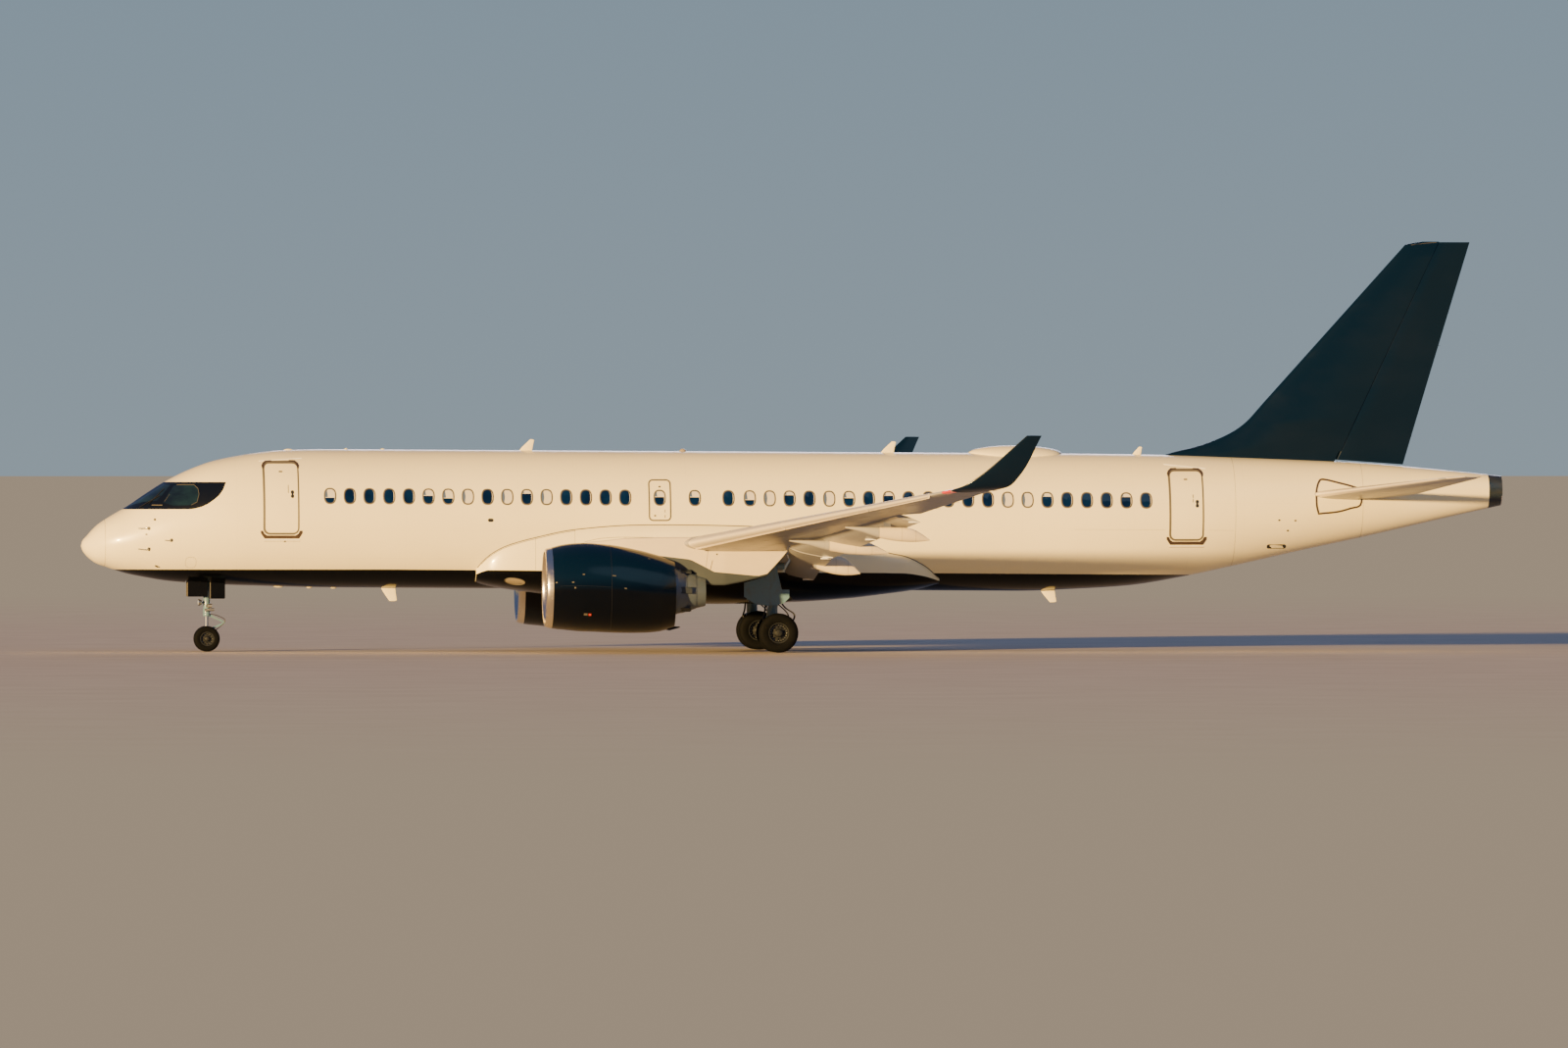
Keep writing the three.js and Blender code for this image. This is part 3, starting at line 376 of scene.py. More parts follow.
def ring_tree():
    """One piece repeated round an axis through a centre."""
    sockets = {"Points": "Geometry", "Piece": "Object", "Count": "Int", "Centre": "Vector"}
    sockets |= {"Axis": "Vector", "First turn": "Float", "Paint": "Material"}
    tree, given, result = new_tree("Set in a ring", sockets)
    info = tree.nodes.new("GeometryNodeObjectInfo")
    points = tree.nodes.new("GeometryNodePoints")
    index = tree.nodes.new("GeometryNodeInputIndex")
    share = tree.nodes.new("ShaderNodeMath")
    share.operation = "DIVIDE"
    angle = tree.nodes.new("ShaderNodeMath")
    angle.operation = "MULTIPLY_ADD"
    angle.inputs[1].default_value = 2 * math.pi
    turn = tree.nodes.new("FunctionNodeAxisAngleToRotation")
    put = tree.nodes.new("GeometryNodeInstanceOnPoints")
    join(
        tree,
        (given, "Piece", info, "Object"),
        (given, "Count", points, "Count"),
        (given, "Centre", points, "Position"),
        (index, "Index", share, 0),
        (given, "Count", share, 1),
        (share, 0, angle, 0),
        (given, "First turn", angle, 2),
        (given, "Axis", turn, "Axis"),
        (angle, 0, turn, "Angle"),
        (points, "Points", put, "Points"),
        (info, "Geometry", put, "Instance"),
        (turn, "Rotation", put, "Rotation"),
    )
    end_tree(tree, given, result, put)


def grown(tree_name, piece, paint, points=((0, 0, 0),), turns=None, **inputs):
    """The mesh that a node group makes of a small form."""
    tree = bpy.data.node_groups[tree_name]
    small = bpy.data.objects.new("small", mesh_of("small", piece, [paint]))
    host_mesh = bpy.data.meshes.new("host")
    host_mesh.from_pydata([tuple(p) for p in points], [], [])
    if turns is not None:
        turn = host_mesh.attributes.new("turn", "FLOAT_VECTOR", "POINT")
        turn.data.foreach_set("vector", [n for t in turns for n in t])
    host = bpy.data.objects.new("host", host_mesh)
    for thing in (small, host):
        bpy.context.scene.collection.objects.link(thing)
    grow = host.modifiers.new("grow", "NODES")
    grow.node_group = tree
    values = {"Piece": small, "Paint": bpy.data.materials[paint], **inputs}
    for item in tree.interface.items_tree:
        if item.in_out == "INPUT" and item.name in values:
            grow[item.identifier] = values[item.name]
    bpy.context.view_layer.update()
    graph = bpy.context.evaluated_depsgraph_get()
    result = bpy.data.meshes.new_from_object(host.evaluated_get(graph))
    for thing in (host, small):
        bpy.data.objects.remove(thing)
    if not result.polygons:
        raise RuntimeError("nothing grew on " + tree_name)
    return shaded(result)


def row(piece, paint, points, turns=None):
    return grown("Set on points", piece, paint, points, turns, Size=1.0)


def ring(piece, paint, count, centre, axis, first=0.0):
    inputs = {"Count": count, "Centre": centre, "Axis": axis, "First turn": first}
    return grown("Set in a ring", piece, paint, **inputs)


# Finishes


class Number:
    """A shader socket that holds one number, with Python's own operators."""

    def __init__(self, finish, socket):
        self.finish = finish
        self.socket = socket

    def __add__(self, other):
        return self.finish.math("ADD", self, other)

    __radd__ = __add__

    def __sub__(self, other):
        return self.finish.math("SUBTRACT", self, other)

    def __mul__(self, other):
        return self.finish.math("MULTIPLY", self, other)

    __rmul__ = __mul__

    def __truediv__(self, other):
        return self.finish.math("DIVIDE", self, other)

    def __pow__(self, other):
        return self.finish.math("POWER", self, other)

    def __abs__(self):
        return self.finish.math("ABSOLUTE", self)

    def __lt__(self, other):
        return self.finish.math("LESS_THAN", self, other)

    def clamped(self):
        """Cut off at 0 and at 1."""
        return self.finish.math("MINIMUM", self.finish.math("MAXIMUM", self, 0.0), 1.0)

    def between(self, low, high):
        """0 below low, 1 above high, and straight in between."""
        return ((self - low) / (high - low)).clamped()


class Finish:
    """A material whose colour, gloss and relief come from Object coordinates."""

    def __init__(self, name, colour, roughness, metallic=0.0, **shader):
        self.material = bpy.data.materials.new(name)
        self.material.use_nodes = True
        self.tree = self.material.node_tree
        self.shader = self.tree.nodes["Principled BSDF"]
        self.colour = (*colour, 1.0)
        self.set("Base Color", self.colour)
        self.set("Roughness", roughness)
        self.set("Metallic", metallic)
        for title, value in shader.items():
            self.set(title.replace("_", " "), value)
        place = self.node("ShaderNodeTexCoord").outputs["Object"]
        split = self.node("ShaderNodeSeparateXYZ", values={"Vector": place})
        self.place = place
        self.x, self.y, self.z = (Number(self, split.outputs[i]) for i in range(3))

    def node(self, kind, settings=None, values=None):
        made = self.tree.nodes.new(kind)
        for key, value in (settings or {}).items():
            setattr(made, key, value)
        for key, value in (values or {}).items():
            self.feed(made.inputs[key], value)
        return made

    def feed(self, socket, value):
        if isinstance(value, Number):
            value = value.socket
        if isinstance(value, bpy.types.NodeSocket):
            self.tree.links.new(value, socket)
        else:
            socket.default_value = value

    def set(self, title, value):
        self.feed(self.shader.inputs[title], value)

    def math(self, operation, *values):
        made = self.node("ShaderNodeMath", {"operation": operation}, dict(enumerate(values)))
        return Number(self, made.outputs[0])

    def noise(self, scale, detail, stretch=(1, 1, 1), roughness=0.55):
        vector = self.stretched(stretch)
        values = {"Vector": vector, "Scale": scale, "Detail": detail, "Roughness": roughness}
        made = self.node("ShaderNodeTexNoise", {"noise_dimensions": "3D"}, values)
        return Number(self, made.outputs[0])

    def cells(self, scale):
        """Distance to the nearest of scattered points."""
        values = {"Vector": self.place, "Scale": scale}
        made = self.node("ShaderNodeTexVoronoi", None, values)
        return Number(self, made.outputs["Distance"])

    def stretched(self, stretch):
        if tuple(stretch) == (1, 1, 1):
            return self.place
        values = {0: self.place, 1: stretch}
        return self.node("ShaderNodeVectorMath", {"operation": "MULTIPLY"}, values).outputs[0]

    def lines(self, value, pitch, width, offset=0.0):
        """1 on thin lines a pitch apart."""
        return self.math("PINGPONG", value - offset, pitch / 2) < width / 2

    def mixed(self, share, first, second):
        """One colour over another. Each is four numbers or a colour socket."""
        values = {0: share, 6: first, 7: second}
        return self.node("ShaderNodeMix", {"data_type": "RGBA"}, values).outputs[2]

    def tint(self, share, colour, base=None):
        """Lays a colour over the finish's own one, or over another base."""
        base = self.colour if base is None else base
        self.set("Base Color", self.mixed(share, base, (*colour, 1.0)))

    def relief(self, height, depth, strength):
        values = {"Height": height, "Distance": depth, "Strength": strength}
        self.set("Normal", self.node("ShaderNodeBump", None, values).outputs[0])


def shade(colour, factor):
    return tuple(min(1.0, c * factor) for c in colour[:3])


def weathered(finish, strength, streak=(0.35, 1.4, 0.5), grime=(0.3, 0.26, 0.2)):
    """Faint cloudy soiling that runs aft."""
    cloud = finish.noise(0.9, 6.0, streak, 0.62).between(0.42, 0.78)
    speck = finish.noise(26.0, 4.0, (0.3, 1, 1)).between(0.55, 0.85)
    dirt = (cloud * 0.8 + speck * 0.25).clamped() * strength
    return finish.mixed(dirt, finish.colour, (*grime, 1.0))


def mix_white_paint(colours):
    # Painted light: this white paint is tinted cream to stand for low warm sunlight
    paint = Finish("White paint", colours.white, 0.3, Coat_Weight=0.3, Coat_Roughness=0.1)
    rings = paint.lines(paint.x, 1.52, 0.006)
    laps = paint.lines(paint.z, 0.74, 0.006, 0.31)
    seam = (rings + laps).clamped() * 0.16
    paint.tint(seam, shade(colours.white, 0.5), weathered(paint, 0.1))
    paint.set("Roughness", paint.noise(1.7, 4.0, (0.4, 1, 1)) * 0.14 + 0.24)
    ripple = paint.noise(1.35, 1.0, (1, 1, 1.6)) * 0.5 - seam * 2.0
    paint.relief(ripple, 0.004, 0.25)


def mix_dark_paints(colours):
    """Belly and navy paint. Navy is painted darker below the engine's middle: painted shade for the
    cowl's underside, which faces away from the sky.
    """
    dark = (("Belly paint", colours.belly, 0.12), ("Navy paint", colours.navy, 0.28))
    for name, colour, level in dark:
        gloss = {"Coat_Weight": 0.04, "Coat_Roughness": 0.05, "Specular_IOR_Level": level}
        paint = Finish(name, colour, 0.2, **gloss)
        dust = paint.noise(1.1, 6.0, (0.3, 1, 0.6), 0.6).between(0.5, 0.85)
        fleck = paint.noise(30.0, 3.0, (0.25, 1, 1)).between(0.62, 0.85)
        base = paint.colour
        # Painted shade: below the engine's middle the navy turns darker, as the cowl's underside
        # catches no sky
        if name == "Navy paint":
            base = paint.mixed(paint.z.between(1.7, 2.05), (*shade(colour, 0.15), 1), base)
        paint.tint((dust * 0.006 + fleck * 0.006).clamped(), (0.3, 0.28, 0.26), base)
        paint.set("Roughness", dust * 0.14 + 0.16)
        paint.relief(paint.noise(1.6, 1.0), 0.004, 0.2)


def mix_wing_paints(colours):
    wing = Finish("Wing paint", colours.wing, 0.38, Coat_Weight=0.15, Coat_Roughness=0.15)
    ribs = wing.lines(wing.y, 1.1, 0.007)
    spars = wing.lines(wing.x - abs(wing.y) * 0.46, 1.25, 0.007, 0.2)
    seam = (ribs + spars).clamped() * 0.35
    base = weathered(wing, 0.3, (1.6, 0.25, 1), (0.24, 0.22, 0.2))
    wing.tint(seam, shade(colours.wing, 0.25), base)
    wing.set("Roughness", wing.noise(2.2, 4.0) * 0.2 + 0.28)
    wing.relief(wing.noise(1.8, 1.0) * 0.4 - seam, 0.004, 0.3)
    cream = Finish("Fairing paint", colours.fairing, 0.34, Coat_Weight=0.3, Coat_Roughness=0.1)
    cream.set("Base Color", weathered(cream, 0.25, (0.5, 2.5, 1.5)))
    cream.set("Roughness", cream.noise(3.0, 4.0) * 0.16 + 0.26)
    cream.relief(cream.noise(2.0, 1.0), 0.003, 0.25)


def mix_metals(colours):
    for name, rough, metal in (("Polished aluminium", 0.16, 1.0), ("Slat aluminium", 0.3, 0.45)):
        lip = Finish(name, colours.metal, rough, metal)
        brushed = lip.noise(40.0, 3.0, (0.06, 1, 1))
        spots = lip.noise(7.0, 5.0).between(0.55, 0.85)
        lip.tint(spots * 0.3, (0.5, 0.47, 0.42))
        lip.set("Roughness", brushed * 0.14 + spots * 0.12 + rough)
        lip.relief(brushed, 0.0008, 0.2)
    blade = Finish("Blade titanium", (0.2, 0.21, 0.23), 0.3, 0.9)
    swirl = blade.noise(22.0, 3.0, (1, 0.2, 1))
    blade.tint(swirl, (0.34, 0.34, 0.35))
    blade.set("Roughness", swirl * 0.2 + 0.2)
    nozzle = Finish("Nozzle alloy", (0.11, 0.155, 0.215), 0.42, 0.3)
    heat = nozzle.noise(3.5, 5.0, (1, 1, 0.7)).between(0.35, 0.75)
    soot = nozzle.x.between(along(15.9), along(16.6)) * 0.35 + nozzle.noise(9.0, 4.0) * 0.3
    tinted = nozzle.mixed(heat * 0.3, nozzle.colour, (0.1, 0.08, 0.06, 1))
    nozzle.tint(soot * 0.6, (0.04, 0.04, 0.04), tinted)
    nozzle.set("Roughness", heat * 0.2 + 0.28)
    nozzle.relief(nozzle.noise(14.0, 2.0), 0.001, 0.25)
    chrome = Finish("Chromed steel", (0.78, 0.79, 0.8), 0.08, 1.0)
    chrome.set("Roughness", chrome.noise(30.0, 3.0, (1, 1, 0.1)) * 0.1 + 0.05)
    brake = Finish("Brake carbon", (0.05, 0.05, 0.052), 0.62, 0.3)
    brake.set("Roughness", brake.noise(60.0, 3.0) * 0.3 + 0.45)
    shroud = Finish("Exhaust steel", (0.03, 0.045, 0.06), 0.4, 0.5)
    burnt = shroud.noise(8.0, 4.0, (0.3, 1, 1)).between(0.35, 0.7)
    shroud.tint(burnt * 0.6, (0.07, 0.065, 0.06))
    shroud.set("Roughness", burnt * 0.2 + 0.26)
    steel = Finish("Fitting steel", (0.36, 0.37, 0.38), 0.38, 0.9)
    worn = steel.noise(35.0, 4.0).between(0.4, 0.75)
    steel.tint(worn * 0.5, (0.15, 0.13, 0.11))
    steel.set("Roughness", worn * 0.3 + 0.3)
    # Painted shade: the wheel alloy is darkened nearly to black, as the hubs lie in shadow
    wheel = Finish("Shaded wheel alloy", (0.013, 0.017, 0.022), 0.5, 0.3)
    dust = wheel.noise(24.0, 5.0).between(0.35, 0.7)
    wheel.tint(dust * 0.75, (0.012, 0.011, 0.01))
    wheel.set("Roughness", dust * 0.3 + 0.32)


# Plain small finishes. Columns: name, colour, roughness, metallic, noise scale, spread of the gloss
SMALL_FINISHES = [
    ("Window trim", (0.085, 0.075, 0.06), 0.5, 0.0, 20.0, 0.2),
    # Painted shadow: the blue-grey of a window's front side wall lying in shade
    ("Shaded window jamb", (0.06, 0.1, 0.2), 0.7, 0.0, 30.0, 0.15),
    ("Window shade", (0.66, 0.6, 0.47), 0.42, 0.0, 30.0, 0.15),
    ("White mark", (0.85, 0.84, 0.8), 0.4, 0.0, 18.0, 0.2),
    ("Red mark", (0.45, 0.03, 0.015), 0.45, 0.0, 18.0, 0.2),
    ("Black fitting", (0.012, 0.012, 0.013), 0.34, 0.0, 18.0, 0.2),
    ("Cockpit mask", (0.0025, 0.004, 0.007), 0.2, 0.0, 6.0, 0.1),
    # Painted shade: the pylon's shoe is darkened as if it lay in the engine's shadow
    ("Shaded pylon shoe", (0.04, 0.052, 0.062), 0.45, 0.0, 5.0, 0.2),
    ("Spinner grey", (0.07, 0.075, 0.085), 0.3, 0.0, 18.0, 0.2),
]


def mix_small_finishes(colours):
    for name, colour, rough, metal, scale, spread in SMALL_FINISHES:
        plain = Finish(name, colour, rough, metal)
        cloud = plain.noise(scale, 4.0)
        plain.tint(cloud * 0.3, shade(colour, 0.7))
        plain.set("Roughness", cloud * spread + rough)
    # Its dark blue-grey is partly painted shade
    gear = Finish("Gear paint", colours.gear, 0.32, Coat_Weight=0.4, Coat_Roughness=0.15)
    grease = gear.noise(11.0, 6.0, (1, 1, 0.5)).between(0.5, 0.78)
    gear.tint(grease * 0.5, (0.14, 0.11, 0.08))
    gear.set("Roughness", grease * 0.25 + 0.28)
    gear.relief(gear.noise(40.0, 2.0), 0.0006, 0.2)
    rubber = Finish("Tyre rubber", (0.0025, 0.003, 0.004), 0.9, Specular_IOR_Level=0.06)
    scuff = rubber.noise(14.0, 6.0, (1, 2, 1)).between(0.4, 0.75)
    rubber.tint(scuff * 0.45, (0.007, 0.0065, 0.006))
    rubber.set("Roughness", scuff * 0.15 + 0.68)
    rubber.relief(rubber.noise(90.0, 3.0), 0.0008, 0.35)
    seal = Finish("Grey seal", (0.12, 0.105, 0.075), 0.5)
    seal.tint(seal.noise(9.0, 4.0) * 0.5, (0.07, 0.06, 0.045))
    seal.set("Roughness", seal.noise(20.0, 3.0) * 0.2 + 0.4)
    plate = Finish("Scuff plate", (0.06, 0.04, 0.03), 0.4, 0.3)
    rubbed = plate.noise(16.0, 5.0, (0.4, 1, 2)).between(0.5, 0.8)
    plate.tint(rubbed * 0.4, (0.2, 0.14, 0.1))
    hose = Finish("Hose rubber", (0.016, 0.016, 0.018), 0.5)
    hose.relief(hose.noise(160.0, 2.0), 0.0006, 0.4)
    liner = Finish("Duct liner", (0.34, 0.35, 0.36), 0.5, 0.1)
    holes = liner.cells(34.0) < 0.3
    liner.tint(holes * 0.5, (0.08, 0.08, 0.085))
    liner.relief(holes * -1.0, 0.001, 0.4)
    hold = Finish("Hold lining", (0.55, 0.55, 0.51), 0.6)
    rails = hold.lines(hold.x, 0.53, 0.012)
    hold.tint(rails * 0.6, (0.2, 0.2, 0.19), weathered(hold, 0.4))
    well = Finish("Well primer", (0.16, 0.18, 0.16), 0.6)
    ribs = well.lines(well.x, 0.21, 0.02)
    well.tint(ribs * 0.5, (0.06, 0.07, 0.06), weathered(well, 0.6))
    well.relief(ribs * 1.0, 0.01, 0.5)


def mix_glasses():
    cabin = Finish("Cabin glass", (0.001, 0.007, 0.032), 0.1, Coat_Weight=0.15)
    depth = cabin.noise(2.2, 2.0).between(0.35, 0.65)
    cabin.tint(depth, (0.002, 0.014, 0.055))
    cabin.set("Roughness", depth * 0.05 + 0.04)
    screen = Finish("Cockpit glass", (0.004, 0.008, 0.014), 0.05, Coat_Weight=0.4)
    haze = screen.noise(1.6, 3.0, (1, 1, 2)).between(0.35, 0.7)
    screen.tint(haze, (0.008, 0.022, 0.03))
    screen.set("Roughness", haze * 0.06 + 0.03)
    for name, colour, glow in (
        ("Red lens", (0.6, 0.02, 0.005), 0.7),
        ("Green lens", (0.01, 0.35, 0.06), 0.5),
        ("Clear lens", (0.62, 0.64, 0.62), 0.25),
        ("Amber lens", (0.3, 0.24, 0.14), 0.0),
    ):
        lens = Finish(name, colour, 0.08, Coat_Weight=1.0)
        lens.set("Roughness", lens.noise(40.0, 2.0) * 0.06 + 0.05)
        lens.set("Emission Color", (*colour, 1.0))
        lens.set("Emission Strength", glow)


# The fuselage. Columns: station, crown above the datum, keel below the datum, half width
FUSELAGE = [
    (0.058, -0.7, 0.8, 0.06), (0.105, -0.595, 0.897, 0.19), (0.2, -0.49, 1.02, 0.335),
    (0.33, -0.34, 1.135, 0.475), (0.5, -0.175, 1.24, 0.625), (0.72, -0.02, 1.312, 0.775),
    (1.0, 0.15, 1.408, 0.92), (1.3, 0.325, 1.495, 1.03), (1.86, 0.708, 1.603, 1.195),
    (2.34, 1.01, 1.678, 1.32), (3.03, 1.35, 1.735, 1.46), (3.64, 1.57, 1.765, 1.565),
    (4.25, 1.702, 1.79, 1.64), (4.9, 1.803, 1.806, 1.69), (5.52, 1.868, 1.822, 1.728),
    (6.9, 1.902, 1.842, 1.755), (25.5, 1.902, 1.838, 1.755), (27.1, 1.898, 1.774, 1.745),
    (28.5, 1.89, 1.68, 1.7), (30.07, 1.866, 1.418, 1.595), (31.45, 1.828, 1.117, 1.455),
    (33.3, 1.765, 0.69, 1.21), (35.0, 1.69, 0.317, 0.965), (37.0, 1.53, -0.154, 0.66),
    (TAIL_STATION, 1.362, -0.56, 0.4),
]
CROWN, KEEL, HALF_WIDTH = columns([(math.sqrt(s), *rest) for s, *rest in FUSELAGE])
PAINT_LINE = straight_curve([0.9, 8.4, 24.4, 30.4], [2.227, 2.227, 2.109, 2.065])
NOSE_ROUND = 0.032
SHROUD_FROM = 38.4
WINDOW_RISE = 0.64
UPPER_STEPS = 36
LOWER_STEPS = 14
LONGEST_EDGE = 0.12
# How deep the back of a thin plate lies under the skin it is on
SUNK = 0.004


def section(station):
    """Middle height, half height and half width of the fuselage."""
    root = math.sqrt(min(max(station, NOSE_STATION), TAIL_STATION))
    crown, keel = CROWN(root), KEEL(root)
    blunt = min(1.0, max(0.0, (NOSE_STATION + NOSE_ROUND - station) / NOSE_ROUND))
    scale = max(0.05, math.sqrt(1 - blunt**2))
    middle = deck(station) + (crown - keel) / 2
    return middle, (crown + keel) / 2 * scale, HALF_WIDTH(root) * scale


def half_width(station, z):
    middle, high, wide = section(station)
    return wide * math.sqrt(max(0.0, 1 - ((z - middle) / high) ** 2))


def skin_normal(station, z, side):
    step = 0.01
    along_x = (half_width(station + step, z) - half_width(station - step, z)) / (2 * step)
    along_z = (half_width(station, z + step) - half_width(station, z - step)) / (2 * step)
    return Vector((-along_x, side, -along_z)).normalized()


def skin_point(station, z, side, out=0.0):
    """A point on the fuselage's side, or a little outside it."""
    point = Vector((along(station), side * half_width(station, z), z))
    return point + skin_normal(station, z, side) * out


def spine_height(station, sign):
    """Height of the crown, or of the keel where sign is -1."""
    middle, high, _ = section(station)
    return middle + sign * high


def split_ring(station, grow=0.0):
    """A fuselage ring whose points meet the paint line on both sides."""
    middle, high, wide = section(station)
    high, wide = high + grow, wide + grow
    share = (PAINT_LINE(station) - middle) / high
    turn = math.acos(max(-0.9994, min(0.2, share)))
    angles = [turn * i / UPPER_STEPS for i in range(UPPER_STEPS)]
    angles += [turn + (math.pi - turn) * i / LOWER_STEPS for i in range(LOWER_STEPS + 1)]
    left = [(-wide * math.sin(a), middle + high * math.cos(a)) for a in angles]
    right = [(-y, z) for y, z in left[-2:0:-1]]
    return [(along(station), y, z) for y, z in left + right]


def hull_form():
    stations = [NOSE_STATION + LENGTH * (i / 170) ** 2 for i in range(1, 170)]
    stations += [NOSE_STATION + NOSE_ROUND * share for share in (0, 0.04, 0.15, 0.35, 0.65, 1)]
    stations = sorted({*stations, SHROUD_FROM, TAIL_STATION})
    form = loft([split_ring(s) for s in stations])
    count = 2 * (UPPER_STEPS + LOWER_STEPS)
    for k in range(len(stations) - 1):
        centre = (stations[k] + stations[k + 1]) / 2
        if centre > SHROUD_FROM:
            form.paints[k * count : (k + 1) * count] = [2] * count
            continue
        middle, high, _ = section(centre)
        if PAINT_LINE(centre) < middle - high * 0.9994:
            continue
        for i in range(UPPER_STEPS, count - UPPER_STEPS):
            form.paints[k * count + i] = 1
    return form


def rounded(x0, x1, z0, z1, radius, grow=0.0, corner=6):
    """A rounded rectangle as stations and heights, anticlockwise."""
    r = radius + grow
    corners = (
        (x1 - radius, z1 - radius, 0),
        (x0 + radius, z1 - radius, 90),
        (x0 + radius, z0 + radius, 180),
        (x1 - radius, z0 + radius, 270),
    )
    outline = []
    for x, z, start in corners:
        for k in range(corner + 1):
            angle = math.radians(start + 90 * k / corner)
            outline.append((x + r * math.cos(angle), z + r * math.sin(angle)))
    return outline


def split_alike(*outlines):
    """Outlines of as many points, with the edges that are long in the first one split in all."""
    made = [[] for _ in outlines]
    first = outlines[0]
    for i, point in enumerate(first):
        j = (i + 1) % len(first)
        parts = max(1, math.ceil(math.dist(point, first[j]) / LONGEST_EDGE))
        for points, outline in zip(made, outlines):
            (x0, z0), (x1, z1) = outline[i], outline[j]
            for k in range(parts):
                points.append((x0 + (x1 - x0) * k / parts, z0 + (z1 - z0) * k / parts))
    return made


def dense(outline):
    return split_alike(outline)[0]


def widened(outline, width):
    """An anticlockwise outline with every point moved outwards."""
    points = []
    for i, (x, z) in enumerate(outline):
        before, after = outline[i - 1], outline[(i + 1) % len(outline)]
        tangent = Vector((after[0] - before[0], after[1] - before[1])).normalized()
        points.append((x + tangent.y * width, z - tangent.x * width))
    return points


def frame_on_skin(inner, outer, side, out):
    """A closed strip on the fuselage between two outlines of as many points."""
    loops = []
    for outline, rise in ((inner, -SUNK), (inner, out), (outer, out * 0.6), (outer, -SUNK)):
        loops.append([skin_point(x, z, side, rise) for x, z in outline])
    return closed_strip(loops)


def seal_strip(outer, inner, side, out):
    outer, inner = split_alike(outer, inner)
    return frame_on_skin(inner, outer, side, out)


def closed_sheet(front, back, wide):
    """Two grids of points, wide points to a row, joined along their rims."""
    total = len(front)
    high = total // wide
    faces = []
    for k in range(high - 1):
        for i in range(wide - 1):
            a = k * wide + i
            quad = (a, a + 1, a + wide + 1, a + wide)
            faces += [quad, tuple(total + n for n in quad[::-1])]
    rim = list(range(wide)) + [k * wide + wide - 1 for k in range(1, high)]
    rim += [(high - 1) * wide + i for i in range(wide - 2, -1, -1)]
    rim += [k * wide for k in range(high - 2, 0, -1)]
    for a, b in zip(rim, rim[1:] + rim[:1]):
        faces.append((a, b, b + total, a + total))
    return Form(front + back, faces)


def plate_on_skin(x0, x1, z0, z1, radius, side, out, depth, steps=(8, 18)):
    """A rounded panel that follows the fuselage, closed, from depth below to out above."""
    across, up = steps
    spots = []
    for k in range(up + 1):
        z = z0 + (z1 - z0) * (1 - math.cos(math.pi * k / up)) / 2
        near = min(z - z0, z1 - z)
        inset = 0.0
        if near < radius:
            inset = radius - math.sqrt(max(0.0, radius**2 - (radius - near) ** 2))
        width = x1 - x0 - 2 * inset
        spots += [(x0 + inset + width * i / across, z) for i in range(across + 1)]
    front, back = ([skin_point(x, z, side, rise) for x, z in spots] for rise in (out, -depth))
    return closed_sheet(front, back, across + 1)


def decal(outline, side, out):
    """A flat thin plate of any outline, laid on the skin."""
    return loft([[skin_point(x, z, side, rise) for x, z in outline] for rise in (-SUNK, out)])


def skin_line(points, side, radius, out=0.0):
    """A thin tube that follows the fuselage through a few stations and heights."""
    path = []
    for (x0, z0), (x1, z1) in zip(points, points[1:]):
        parts = max(1, math.ceil(math.dist((x0, z0), (x1, z1)) / 0.1))
        path += [(x0 + (x1 - x0) * k / parts, z0 + (z1 - z0) * k / parts) for k in range(parts)]
    path.append(points[-1])
    return tube([skin_point(x, z, side, out) for x, z in path], radius, 6)


def spots_on_skin(spots, side, out=0.004):
    """Small rounded marks. Each spot: station, height, half width, half height."""
    form = Form()
    for x, z, wide, high in spots:
        outline = rounded(x - wide, x + wide, z - high, z + high, min(wide, high) * 0.9)
        form.add(decal(outline, side, out))
    return form


# Cabin doors. Columns: name, side, stations, heights, corner radius, height of the handle over
# the foot, rain gutter's rise over the head at its front and at its rear
DOORS = [
    ("passenger_door_left", -1, (4.92, 5.88), (3.18, 5.16), 0.17, 1.085, (0.0, 0.075)),
    ("service_door_right", 1, (4.99, 5.8), (3.18, 4.92), 0.15, 0.95, (0.05, 0.09)),
    ("aft_door_left", -1, (29.515, 30.455), (3.0, 4.945), 0.17, 1.0, (0.124, 0.01)),
    ("aft_door_right", 1, (29.57, 30.4), (3.0, 4.74), 0.15, 0.9, (0.12, 0.02)),
]
# Fittings of a cabin door, from its edges: the joint and the sill below its foot, the handle and
# the upright recess in from its rear or front, and the vent below its head
DOOR_FITTINGS = {"joint": 0.185, "sill": 0.143, "handle": 0.176, "recess": 0.286, "vent": 0.287}
EXIT = {"stations": (15.345, 15.95), "heights": (3.54, 4.66), "radius": 0.12}
HOLD_DOORS = [
    ("cargo_door_forward", 1, (8.5, 9.69), (2.23, 3.06), 0.09),
    ("cargo_door_aft", 1, (24.3, 25.39), (2.19, 3.0), 0.09),
]
DOOR_THICKNESS = 0.07
DOOR_GAP = 0.008
HOLD_WALL_Y = 0.1
HOLD_HEADROOM = 0.028
BAY = {"stations": (2.88, 3.96), "half_width": 0.33, "roof": 2.56}
EXHAUST_RISE = 0.96
# Stations of the radome's joint and of two joints in the tail
SKIN_JOINTS = (0.69, 31.342, 34.879)


